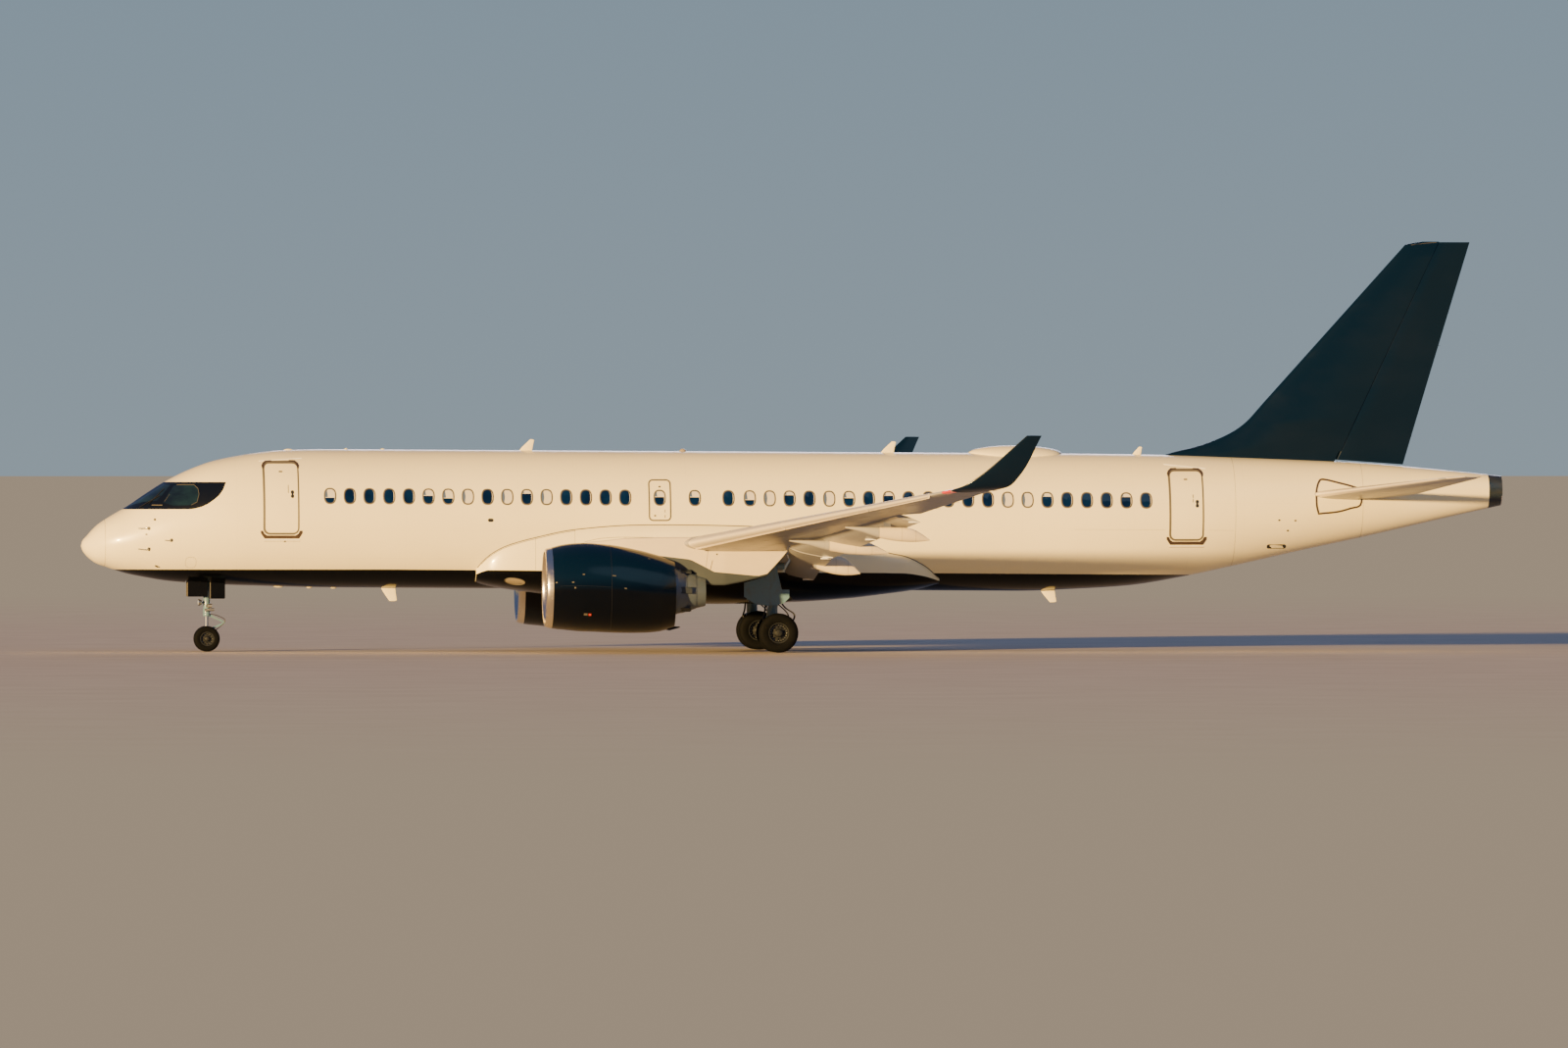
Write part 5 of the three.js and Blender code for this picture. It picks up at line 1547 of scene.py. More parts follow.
def aerofoil(ratio, camber, rear=1.0, steps=26):
    """Unit-chord outline: the upper side back to front, then the lower side."""
    stops = [rear * (1 - math.cos(math.pi / 2 * i / steps)) for i in range(steps + 1)]
    sides = []
    for sign in (1, -1):
        sides.append([(u, mean_line(u, camber) + sign * half_thickness(u, ratio)) for u in stops])
    upper, lower = sides
    return upper[::-1] + lower[1:]


def wing_at(y):
    values = [curve(y) for curve in WING_CURVES]
    return dict(zip(("le", "chord", "z", "ratio", "incidence", "wall"), values), y=y)


def wing_point(at, u, v):
    drop = u * math.tan(math.radians(at["incidence"]))
    return (along(at["le"]) + u, -at["y"], at["z"] + v - drop)


def wing_ring(y, rear=1.0):
    at = wing_at(y)
    outline = aerofoil(at["ratio"], CAMBER, rear)
    return [wing_point(at, u * at["chord"], v * at["chord"]) for u, v in outline]


def spans(start, end, step=0.6):
    count = max(2, round((end - start) / step))
    return [start + (end - start) * i / count for i in range(count + 1)]


def wing_surface(y, u, upper=True, out=0.0):
    """A point on the wing's upper or lower skin, u as a share of the chord."""
    at = wing_at(y)
    sign = 1 if upper else -1
    v = mean_line(u, CAMBER) + sign * half_thickness(u, at["ratio"])
    return wing_point(at, u * at["chord"], v * at["chord"] + sign * out)


def wing_panel(y0, y1, u0, u1, out):
    """A closed thin plate on the wing's upper skin. u0 and u1 are pairs, at y0 and at y1."""
    gap, steps = 0.008, 6
    grids = [[], []]
    for i in range(steps + 1):
        t = i / steps
        y = y0 + gap + (y1 - y0 - 2 * gap) * t
        chord = wing_at(y)["chord"]
        low = u0[0] + (u0[1] - u0[0]) * t + gap / chord
        high = u1[0] + (u1[1] - u1[0]) * t - gap / chord
        for k in range(steps + 1):
            u = low + (high - low) * k / steps
            for grid, rise in zip(grids, (out, -SUNK)):
                grid.append(wing_surface(y, u, True, rise))
    return closed_sheet(*grids, steps + 1)


def shroud(rows, depth):
    """Thin lips over a hinged surface's nose. Each row: how it is placed, wall, rear end of the
    lip, and half the thickness at both."""
    form = Form()
    for sign in (1, -1):
        rings = []
        for place, wall, end, thick, tip in rows:
            front = wall - 0.01
            outline = [(front, thick), (end, tip), (end, tip - depth), (front, thick - depth)]
            rings.append([place(run, sign * rise) for run, rise in outline])
        form.add(loft(rings))
    return form


def build_wings():
    """Wing boxes with their spoilers, access panels, lamps and static wicks."""
    inner = [1.0, 1.8, 2.6, 3.3, *spans(3.9, 6.3), *spans(6.3, FULL_CHORD_FROM)[1:]]
    wing = loft([wing_ring(y, wing_at(y)["wall"]) for y in inner])
    wing.add(loft([wing_ring(y) for y in spans(FULL_CHORD_FROM, 16.75, 0.3)]))
    spoilers = Form()
    for y0, y1 in SPOILERS:
        ends = [wing_at(y) for y in (y0, y1)]
        front = [at["wall"] - SPOILER_CHORD / at["chord"] for at in ends]
        rear = [at["wall"] - 0.012 / at["chord"] for at in ends]
        spoilers.add(wing_panel(y0, y1, front, rear, 0.006))
    hatches = Form()
    for y in TANK_HATCHES:
        for u in (0.3, 0.5) if y < 9.5 else (0.38,):
            hatches.add(oval_hatch(y, u, wing_at(y)["chord"]))
    root = root_fillet()
    for side, sign in SIDES.items():
        make_side(side, "wing_box_{}", wing, ["Wing paint"], stands_for="wing_{}")
        make_side(side, "spoilers_{}", spoilers, ["Wing paint"])
        make_side(side, "tank_hatches_{}", hatches, ["Wing paint"])
        make_side(side, "wing_root_fillet_{}", root, ["White paint"])
        build_wing_fittings(side, sign)


def build_wing_fittings(side, sign):
    """The lamp at a wing's tip, its static wicks and its vortex vanes."""
    make_side(side, "tip_lamp_{}", tip_lamp(), ["Red lens" if side == "left" else "Green lens"])
    rod = tube([(-0.02, 0, 0), (0.12, 0, 0)], 0.004, 6)
    wicks = []
    for y in WING_WICKS:
        at = wing_at(y)
        x, _, z = wing_point(at, at["chord"] + 0.03, 0.0)
        wicks.append((x, sign * y, z))
    placed("static_wicks_" + side, row(rod, "Black fitting", wicks))
    corners = ((-0.03, -0.002), (0.03, -0.002), (0.03, 0.002), (-0.03, 0.002))
    foot = [(x, y, -0.01) for x, y in corners]
    vane = loft([foot, [(max(x, 0.0), y, 0.022) for x, y in corners]])
    spots = [wing_surface(y, VANE["chord_share"]) for y in VANE_SPANS]
    vanes = [(x, -sign * y, z) for x, y, z in spots]
    turns = [(0, 0, math.radians(VANE["turn"] * sign))] * len(vanes)
    placed("vortex_vanes_" + side, row(vane, "Fitting steel", vanes, turns))


def oval_hatch(y, u, chord):
    """An oval tank hatch on the wing's lower skin."""
    rings = []
    for share, rise in ((1.0, -SUNK), (1.0, 0.002), (0.94, 0.003), (0.02, 0.003)):
        points = []
        for c, s in circle(20):
            along_chord = u + 0.12 / chord * share * s
            points.append(wing_surface(y + 0.22 * share * c, along_chord, False, rise))
        rings.append(points)
    return loft(rings)


def root_fillet():
    """The pointed fairing where the wing's nose meets the body."""
    rings = []
    for k in range(13):
        t = k / 12
        at = wing_at(1.78 + 0.62 * t)
        ahead = 0.95 * (1 - t) ** 2
        swell = 0.16 * (1 - t) ** 1.5
        points = []
        for i in range(20):
            angle = math.pi * (0.5 + i / 19)
            u = 0.02 * at["chord"] + ahead * math.cos(angle) + 0.15 * (1 + math.cos(angle))
            v = (half_thickness(0.06, at["ratio"]) * at["chord"] + swell) * math.sin(angle)
            points.append(wing_point(at, u + 0.1, v - 0.02))
        rear = 0.12 * at["chord"] + 0.3
        points += [wing_point(at, rear, -0.2), wing_point(at, rear, 0.2)]
        rings.append(points)
    return loft(rings)


def tip_lamp():
    """The coloured lamp in the leading edge at the tip."""
    rings = []
    for y in spans(16.36, 16.72, 0.06):
        at = wing_at(y)
        outline = aerofoil(at["ratio"] * 1.04, CAMBER, 0.14, 10)
        rings.append([wing_point(at, u * at["chord"] - 0.004, v * at["chord"]) for u, v in outline])
    return loft(rings)


def slat_ring(y):
    """The outside of the slat, back to front and under, then its cove round the wing's nose."""
    at = wing_at(y)
    chord = at["chord"]

    def skin(x, sign):
        u = max(x, 0.0) / chord
        thick = half_thickness(u, at["ratio"]) + SLAT["gap"] / chord
        return (mean_line(u, CAMBER) + sign * thick) * chord

    points = []
    for u, v in aerofoil(at["ratio"], CAMBER, 0.13, 14):
        x = (min(u, 0.05) if v < 0 else u) * chord - SLAT["ahead"]
        rise = v * chord + math.copysign(SLAT["thick"], v) - SLAT["drop"]
        if v > 0 and x > 0:
            rise = max(rise, skin(x, 1) + 0.003)
        points.append((x, rise))
    low = max(0.004, points[-1][0])
    high = points[0][0]
    for k in range(6):
        x = low * (1 - k / 6) ** 2
        points.append((x - SLAT["gap"] * (k / 6), skin(x, -1)))
    points.append((-SLAT["gap"], 0.0))
    for k in range(1, 11):
        x = high * (k / 10) ** 2
        points.append((x - SLAT["gap"] * (1 - k / 10), skin(x, 1)))
    return [wing_point(at, u, v) for u, v in points]


def build_slats():
    """Slats, run out a little ahead of the wing's nose."""
    form = Form()
    for y0, y1 in zip(SLAT_JOINTS, SLAT_JOINTS[1:]):
        form.add(loft([slat_ring(y) for y in spans(y0 + 0.012, y1 - 0.012, 0.5)]))
    for side in SIDES:
        make_side(side, "slats_{}", form, ["Slat aluminium"], stands_for="slat_{}")


def flap_ring(y):
    at = wing_at(y)
    nose = at["wall"] * at["chord"] + FLAP["behind"]
    chord = at["chord"] - nose + FLAP["behind"]
    turn = math.radians(FLAP["angle"])
    points = []
    for u, v in aerofoil(FLAP["ratio"], 0.01, steps=20):
        run = u * chord * math.cos(turn) + v * chord * math.sin(turn)
        rise = v * chord * math.cos(turn) - u * chord * math.sin(turn)
        points.append(wing_point(at, nose + run, rise - FLAP["drop"] * at["chord"]))
    return points


def canoe(y, front, length, top, depth, wide, hangs):
    """A track fairing with a grey front, its joints, and the plate it hangs from."""
    sides, count = 28, 30
    rings = []
    for k in range(count + 1):
        share = k / count
        upper, lower, spread = (curve(share) for curve in CANOE_CURVES)
        datum = top - hangs * share
        high, low = datum - depth * upper, datum - depth * lower
        points = []
        for c, s in circle(sides):
            power = 0.6 if c > 0.01 else 1
            z = (high + low) / 2 + (high - low) / 2 * math.copysign(abs(c) ** power, c)
            across = wide * spread * math.copysign(abs(s) ** power, s)
            points.append((along(front + share * length), -y + across, z))
        rings.append(points)
    form = loft(rings)
    for k in range(int(count * 0.42)):
        form.paints[k * sides : (k + 1) * sides] = [1] * sides
    for share, radius in ((0.42, 0.003), (0.68, 0.0025), (0.86, 0.0025)):
        joint = rings[int(count * share)]
        form.add(tube([*joint, joint[0]], radius, 5), 2)
    at = wing_at(y)
    nose = along(at["le"] + at["wall"] * at["chord"] + FLAP["behind"] + HANGER["from_nose"])
    head = flap_ring(y)[14][2]
    low = (nose, -y - HANGER["half"], top - HANGER["into_fairing"])
    high = (nose + HANGER["length"], -y + HANGER["half"], head)
    return form.add(block(low, high, 0.004), 3)


def build_flaps():
    """Flaps, lowered a little, with the fairings over their tracks."""
    for which, (y0, y1) in FLAPS.items():
        stops = spans(y0, y1, 0.5)
        if which == "inboard":
            stops = sorted({*stops, WING[1][0]})
        flap = loft([flap_ring(y) for y in stops])
        pods = Form()
        for values in CANOES[which]:
            pods.add(canoe(*values))
        clips = Form()
        for y in (y0 + 0.05, (y0 + y1) / 2, y1 - 0.05):
            x, _, z = flap_ring(y)[0]
            clips.add(block((x - 0.3, -y - 0.02, z - 0.01), (x - 0.02, -y + 0.02, z + 0.03), 0.008))
        paints = ["Fairing paint", "Wing paint", "Grey seal", "Fitting steel"]
        name = "flap_" + which
        for side in SIDES:
            make_side(side, name + "_panel_{}", flap, ["Wing paint"], stands_for=name + "_{}")
            make_side(side, "flap_track_fairings_" + which + "_{}", pods, paints)
            make_side(side, "flap_end_clips_" + which + "_{}", clips, ["White mark"])


def hinged_outline(radius, length):
    """A round nose about a hinge, then straight sides to a thin rear edge."""
    nose = []
    for k in range(15):
        angle = math.radians(90 + 180 * k / 14)
        nose.append((radius * math.cos(angle), radius * math.sin(angle)))
    lower = [(length * t, -radius + (radius - REAR_EDGE) * t) for t in (0.25, 0.5, 0.75, 1)]
    upper = [(x, -v) for x, v in reversed(lower)]
    return nose + lower + upper


def build_ailerons():
    """Ailerons on their hinges, and the lips of the wing over their noses."""
    rings = []
    lips = []
    for y in spans(*AILERON, 0.7):
        at = wing_at(y)
        chord, wall = at["chord"], at["wall"] * at["chord"]
        thick = half_thickness(at["wall"], at["ratio"]) * chord
        radius = thick * 0.94
        lift = mean_line(at["wall"], CAMBER) * chord
        hinge = wall + radius + SWING_GAP
        points = []
        for run, rise in hinged_outline(radius, chord - hinge):
            settle = lift * max(0, run) / (chord - hinge)
            points.append(wing_point(at, hinge + run, rise + lift - settle))
        rings.append(points)

        def place(run, rise, at=at, lift=lift):
            return wing_point(at, run, lift + rise)

        lips.append((place, wall, hinge - 0.45 * radius, thick + 0.001, thick + 0.0005))
    form = loft(rings)
    cover = shroud(lips, 0.003)
    name = "aileron_{}"
    for side in SIDES:
        make_side(side, name + "_skin", form, ["Wing paint"], name, name)
        make_side(side, name + "_shroud", cover, ["Wing paint"])


# Winglet. Columns: y, leading edge, chord, height, lean of the section, thickness ratio
WINGLET = [
    (16.752, 22.161, 1.109, 4.396, 0, 0.1),
    (17.01, 22.43, 1.2, 4.5, 35, 0.09),
    (17.18, 22.83, 1.06, 4.76, 58, 0.08),
    (17.55, 24.06, 0.39, 5.83, 72, 0.08),
]


def build_winglets():
    """Blended winglets."""
    heights = [0.0]
    for a, b in zip(WINGLET, WINGLET[1:]):
        heights.append(heights[-1] + math.dist((a[0], a[3]), (b[0], b[3])))
    curves = columns([(height, *values) for height, values in zip(heights, WINGLET)])
    rings = []
    for k in range(31):
        y, le, chord, z, lean, ratio = (curve(heights[-1] * k / 30) for curve in curves)
        turn = math.radians(lean)
        points = []
        for u, v in aerofoil(ratio, 0.004, steps=18):
            across = v * chord
            x = along(le) + u * chord
            points.append((x, -y + across * math.sin(turn), z + across * math.cos(turn)))
        rings.append(points)
    for side in SIDES:
        make_side(side, "winglet_skin_{}", loft(rings), ["Navy paint"], stands_for="winglet_{}")


# Fin. Columns: height, leading edge, thickness ratio
FIN = [
    (4.85, 29.0, 0.045), (5.34, 29.6, 0.05), (5.57, 30.5, 0.06), (5.965, 31.43, 0.075),
    (6.24, 31.8, 0.085), (6.6, 32.125, 0.0858), (7.5, 32.937, 0.0876), (9.0, 34.29, 0.0907),
    (10.5, 35.644, 0.0939), (10.9, 36.005, 0.0947), (11.05, 36.14, 0.095), (11.135, 36.58, 0.08),
]
FIN_LE = columns(FIN)[0]
FIN_RATIO = columns(FIN, straight_curve)[1]
HINGE_LINE = straight_curve([-5.0, 20.0], [29.5327, 41.2412])
REAR_LINE = straight_curve([-5.0, 20.0], [32.9319, 40.6528])
RUDDER = {"foot": 5.19, "drop": 0.07, "top": 11.12, "nose": 0.92}
# Static wicks on the rudder's rear edge: station, height
FIN_WICKS = [(37.706, 10.801), (37.572, 10.373), (37.437, 9.946), (37.249, 9.198), (37.0, 8.3)]


def fin_half_thickness(z, station):
    le = FIN_LE(z)
    chord = REAR_LINE(z) - le
    return half_thickness((station - le) / chord, FIN_RATIO(z)) * chord


def rudder_nose(z):
    return fin_half_thickness(z, HINGE_LINE(z)) * RUDDER["nose"]


def build_fin():
    """The fin with its dorsal fillet and its lips over the rudder's nose, and the rudder."""
    top = [11.075, 11.1, 11.12, 11.135]
    heights = sorted({*evenly(4.85, 6.4, 20), *evenly(6.4, 11.05, 14), *top})
    rings = []
    lips = []
    for z in heights:
        le = FIN_LE(z)
        chord = REAR_LINE(z) - le
        nose = rudder_nose(z)
        wall = HINGE_LINE(z) - nose - SWING_GAP
        outline = aerofoil(FIN_RATIO(z), 0.0, (wall - le) / chord, 22)
        rings.append([(along(le + u * chord), v * chord, z) for u, v in outline])
        if z > 5.4:
            end = HINGE_LINE(z) - nose * 0.45
            thick = [fin_half_thickness(z, station) + 0.0008 for station in (wall, end)]

            def place(station, across, z=z):
                return (along(station), across, z)

            lips.append((place, wall, end, *thick))
    form = loft(rings).add(shroud(lips, 0.004))
    make("fin_skin", form, ["Navy paint"], stands_for=("fin",))
    tip = [(36.3, 11.04), (36.7, 11.09), (37.0, 11.115)]
    edge = tube([(along(s), -fin_half_thickness(z, s) - 0.001, z) for s, z in tip], 0.006, 6)
    make("fin_tip_edge", edge.add(edge.mirrored()), ["Window trim"])
    rings = []
    for i, z in enumerate(evenly(RUDDER["foot"], RUDDER["top"], 14)):
        hinge = HINGE_LINE(z)
        drop = RUDDER["drop"] * (1 - i / 13)
        outline = hinged_outline(rudder_nose(z), REAR_LINE(z) - hinge)
        rings.append([(along(hinge + run), across, z - drop * run) for run, across in outline])
    make("rudder_skin", loft(rings), ["Navy paint"], "rudder", stands_for=("rudder",))
    rod = tube([(-0.02, 0, 0), (0.1, 0, 0)], 0.004, 6)
    wicks = [(along(station), 0.0, z) for station, z in FIN_WICKS]
    placed("rudder_wicks", row(rod, "Black fitting", wicks), "rudder")


# Tailplane. Columns: span y, leading edge, rear edge, height
TAILPLANE = [(0.5, 33.08, 36.09, 4.19), (5.6, 36.56, 37.42, 4.7), (6.06, 37.06, 37.5, 4.746)]
TAIL_CURVES = columns(TAILPLANE, straight_curve)
TAIL_RATIO = 0.095
ELEVATOR = {"from": 1.0, "to": 5.56, "hinge": 0.7, "nose": 0.92}
# The plate that the stabiliser slides on: station, height
TAIL_SEAL = [
    (33.625, 3.7), (34.17, 3.753), (34.523, 3.846), (34.82, 3.95), (34.852, 4.36),
    (34.652, 4.472), (34.21, 4.592), (33.782, 4.685), (33.64, 4.606), (33.56, 4.366),
    (33.553, 4.132), (33.566, 3.914),
]


def tail_at(y):
    le, te, z = (curve(y) for curve in TAIL_CURVES)
    chord = te - le
    nose = half_thickness(ELEVATOR["hinge"], TAIL_RATIO) * chord * ELEVATOR["nose"]
    hinge = le + ELEVATOR["hinge"] * chord
    return {"y": y, "le": le, "chord": chord, "z": z, "nose": nose, "hinge": hinge}


def tail_ring(y, rear=None, ratio=TAIL_RATIO, ahead=0.0, steps=20):
    at = tail_at(y)
    if rear is None:
        rear = (at["hinge"] - at["nose"] - SWING_GAP - at["le"]) / at["chord"]
    outline = aerofoil(ratio, 0.0, rear, steps)
    x = along(at["le"]) - ahead
    return [(x + u * at["chord"], -y, at["z"] + v * at["chord"]) for u, v in outline]


def build_tailplane():
    """Stabilisers with their root seals and bright noses, and the elevators."""
    form = loft([tail_ring(y) for y in spans(0.5, 5.6, 0.5)])
    form.add(loft([tail_ring(y, 1.0) for y in spans(5.58, 6.06, 0.12)]))
    rings = []
    lips = []
    for y in spans(ELEVATOR["from"], ELEVATOR["to"], 0.5):
        at = tail_at(y)
        outline = hinged_outline(at["nose"], at["le"] + at["chord"] - at["hinge"])
        rings.append([(along(at["hinge"] + run), -y, at["z"] + rise) for run, rise in outline])
        wall, end = at["hinge"] - at["nose"] - SWING_GAP, at["hinge"] - at["nose"] * 0.45
        shares = [(station - at["le"]) / at["chord"] for station in (wall, end)]
        thick = [half_thickness(u, TAIL_RATIO) * at["chord"] + 0.0008 for u in shares]

        def place(station, rise, at=at):
            return (along(station), -at["y"], at["z"] + rise)

        lips.append((place, wall, end, *thick))
    form.add(shroud(lips, 0.003))
    elevator = loft(rings)
    nose = loft([tail_ring(y, 0.055, TAIL_RATIO * 1.012, 0.002, 10) for y in spans(1.2, 6.02, 0.4)])
    smooth = bent([(x, 0, z) for x, z in [*TAIL_SEAL, TAIL_SEAL[0]]], 4)[:-1]
    flat = [(x, z) for x, _, z in smooth]
    plate = frame_on_skin(widened(flat, -0.05), flat, -1, 0.007)
    for side in SIDES:
        make_side(side, "stabiliser_skin_{}", form, ["Wing paint"], stands_for="stabiliser_{}")
        make_side(side, "elevator_{}_skin", elevator, ["Wing paint"], "elevator_{}", "elevator_{}")
        make_side(side, "stabiliser_nose_{}", nose, ["Slat aluminium"])
        make_side(side, "stabiliser_seal_{}", plate, ["Scuff plate"])


# Nacelle, outside and inside. Columns: station, height of the centre, radius
NACELLE = [
    (12.242, 1.765, 0.9925), (12.29, 1.765, 1.052), (12.43, 1.765, 1.085), (12.8, 1.79, 1.146),
    (13.33, 1.785, 1.187), (14.0, 1.75, 1.178), (14.73, 1.68, 1.118), (15.29, 1.625, 1.028),
    (15.72, 1.61, 0.905),
]
DUCT = [
    (12.242, 1.765, 0.9925), (12.33, 1.765, 0.935), (12.43, 1.76, 0.925), (12.9, 1.745, 0.94),
    (13.6, 1.745, 0.945), (14.9, 1.662, 0.935), (15.72, 1.606, 0.878),
]
LIP_REAR = 12.43
COWL_JOINT = 13.98
# Small marks on the outboard side of a cowl. Columns: station, height, half width, half height
COWL_MARKS = [
    (13.225, 2.135, 0.03, 0.015), (12.939, 1.926, 0.03, 0.015), (12.498, 1.915, 0.025, 0.015),
    (14.042, 2.098, 0.05, 0.012), (15.016, 2.548, 0.03, 0.012), (14.346, 1.76, 0.03, 0.015),
    (12.994, 1.779, 0.02, 0.02), (13.288, 1.064, 0.05, 0.035),
]


def nacelle_curves(table):
    """Height of the centre and radius by station, the nose well rounded."""
    roots = [(math.sqrt(station - NACELLE[0][0]), z, r) for station, z, r in table]
    z_at, r_at = columns(roots)

    def values(station):
        root = math.sqrt(max(0.0, station - NACELLE[0][0]))
        return z_at(root), r_at(root)

    return values


OUTSIDE = nacelle_curves(NACELLE)
INSIDE = nacelle_curves(DUCT)


NACELLE_SIDES = 80


def nacelle_wall(outer, inner):
    """A closed wall: out along the outside's stations and back along the inside's."""
    rings = []
    for station, z, radius in [(s, *OUTSIDE(s)) for s in outer] + [(s, *INSIDE(s)) for s in inner]:
        points = []
        for c, s in circle(NACELLE_SIDES):
            points.append((along(station), -ENGINE_Y + radius * s, z + radius * c))
        rings.append(points)
    return loft([*rings, rings[0]], caps=False)


def cowl_point(station, degrees, out):
    """A point of the left cowl, turned from the top towards the inboard side."""
    z, radius = OUTSIDE(station)
    a = math.radians(degrees)
    y = -ENGINE_Y + (radius + out) * math.sin(a)
    return Vector((along(station), y, z + (radius + out) * math.cos(a)))


def cowl_angle(station, z):
    """The turn of a point on the outboard side at a height."""
    middle, radius = OUTSIDE(station)
    return -math.degrees(math.acos((z - middle) / radius))


def cowl_mark(station, z, wide, high):
    turn = cowl_angle(station, z)
    tall = math.degrees(high / OUTSIDE(station)[1])
    spots = rounded(-wide, wide, -tall, tall, min(wide, tall) * 0.6, corner=3)
    rings = []
    for out in (-SUNK, 0.004):
        rings.append([cowl_point(station + x, turn + a, out) for x, a in spots])
    return loft(rings)


def build_nacelles():
    """Intake lips, cowls with their seams, latches, strakes and drains."""
    nose, rear = NACELLE[0][0], NACELLE[-1][0]
    lip_steps = [nose + (LIP_REAR - 0.001 - nose) * (k / 14) ** 2 for k in range(15)]
    lip_form = nacelle_wall(lip_steps[::-1], lip_steps[1:])
    outer, inner = evenly(LIP_REAR, rear, 36), evenly(rear, LIP_REAR, 26)
    cowl = nacelle_wall(outer, inner)
    cowl.paints[len(outer) * NACELLE_SIDES :] = [1] * (len(inner) * NACELLE_SIDES)
    seams = Form()
    joint = [cowl_point(COWL_JOINT, degrees, 0.0005) for degrees in range(0, 360, 5)]
    seams.add(tube([*joint, joint[0]], 0.004, 5, ends=False))
    for degrees in (176, 184, -22, 22, 88, 272):
        span = (12.6, 13.96) if degrees in (88, 272) else (12.55, 15.6)
        line = [cowl_point(station, degrees, 0.0005) for station in evenly(*span, 24)]
        seams.add(tube(line, 0.0035, 5))
    trims = Form()
    for degrees in (-7, 7):
        line = [cowl_point(station, degrees, 0.002) for station in evenly(14.2, 15.7, 20)]
        trims.add(tube(line, 0.008, 6))
    for spot in COWL_MARKS:
        trims.add(cowl_mark(*spot))
    red = cowl_mark(13.4, 1.056, 0.035, 0.035)
    metal = ["Polished aluminium"]
    paints = ["Navy paint", "Duct liner"]
    for side in SIDES:
        make_side(side, "intake_lip_ring_{}", lip_form, metal, stands_for="intake_lip_{}", sharp=60)
        make_side(side, "cowl_shell_{}", cowl, paints, stands_for="cowl_{}", sharp=50)
        make_side(side, "cowl_seams_{}", seams, ["Black fitting"])
        make_side(side, "cowl_marks_{}", trims, ["Window trim"])
        make_side(side, "cowl_red_marks_{}", red, ["Red mark"])
        make_side(side, "cowl_strakes_{}", strakes(), ["Navy paint"])


def strakes():
    """The fin that sheds a vortex over the wing, and the drain mast below."""
    rings = []
    for k in range(13):
        t = k / 12
        rise = 0.15 * math.sin(math.pi / 2 * min(1.0, t * 1.15)) * (1 if t < 0.96 else 0.6)
        station = 12.95 + 1.05 * t
        foot, top = cowl_point(station, 52, -0.02), cowl_point(station, 52, rise)
        across = Vector((0, math.cos(math.radians(52)), -math.sin(math.radians(52)))) * 0.008
        rings.append([foot - across, top - across * 0.3, top + across * 0.3, foot + across])
    form = loft(rings)
    outline = [(15.25, 0.7), (15.6, 0.62), (15.89, 0.7), (15.88, 0.725), (15.66, 0.74)]
    outline = [(along(s), z) for s, z in outline]
    return form.add(side_plate(outline, -ENGINE_Y - 0.03, -ENGINE_Y + 0.03, 0.008))


# The fan's spinner: radius, distance behind a point that stands this far ahead of the fan
SPINNER_AHEAD = 0.09
SPINNER = [
    (0.0, -0.43), (0.03, -0.425), (0.06, -0.405), (0.11, -0.355), (0.16, -0.29), (0.21, -0.205),
    (0.25, -0.12), (0.283, -0.04), (0.3, 0.03), (0.305, 0.1), (0.3, 0.17), (0.11, 0.17),
    (0.11, 0.4), (0.0, 0.4),
]
# The spinner's spiral mark: from and to on the same scale, points, degrees that it goes round
SWIRL = {"from": -0.385, "to": -0.145, "points": 26, "turn": 300}
# Fan blade. Columns: radius, half chord, half thickness, stagger, sweep aft
BLADE = [
    (0.27, 0.11, 0.013, 26, -0.01), (0.45, 0.13, 0.01, 36, 0.0), (0.62, 0.148, 0.0075, 46, 0.012),
    (0.78, 0.15, 0.0055, 54, 0.008), (0.915, 0.135, 0.0035, 60, -0.03),
]


def fan_blade():
    """One wide blade, standing along +Z with the shaft along X."""
    curves = columns(BLADE)
    rings = []
    for radius in evenly(BLADE[0][0], BLADE[-1][0], 13):
        half, thick, stagger, sweep = (curve(radius) for curve in curves)
        c, s = math.cos(math.radians(stagger)), math.sin(math.radians(stagger))
        points = []
        for ahead, aside in circle(16):
            run = half * ahead
            across = thick * aside + 0.16 * half * (1 - (run / half) ** 2)
            points.append((run * c - across * s + sweep, run * s + across * c, radius))
        rings.append(points)
    return loft(rings)


def build_fans(sizes):
    """Fans on their spinners, each with its spiral mark."""
    blade = fan_blade()
    hub = revolve([(radius, x - SPINNER_AHEAD) for radius, x in SPINNER], 48, "X")
    radii, places = zip(*SPINNER[:10])
    shares = evenly(0, 1, SWIRL["points"])
    swirl = []
    for share in shares:
        x = SWIRL["from"] + (SWIRL["to"] - SWIRL["from"]) * share
        radius = float(np.interp(x, places, radii)) + 0.002
        angle = math.radians(SWIRL["turn"] * share)
        swirl.append((x - SPINNER_AHEAD, radius * math.sin(angle), radius * math.cos(angle)))
    mark = tube(swirl, [0.006 + 0.016 * math.sin(math.pi * share) for share in shares], 8)
    for side, sign in SIDES.items():
        centre = (along(FAN_STATION), sign * ENGINE_Y, ENGINE_AXIS_Z)
        body = "fan_" + side
        blades = ring(blade, "Blade titanium", sizes.fan_blades, centre, (1, 0, 0))
        placed("fan_blades_" + side, blades, body, stands_for=("fan_" + side,))
        make("spinner_" + side, hub.moved(*centre), ["Spinner grey"], body)
        make("spinner_mark_" + side, mark.moved(*centre), ["White mark"], body)


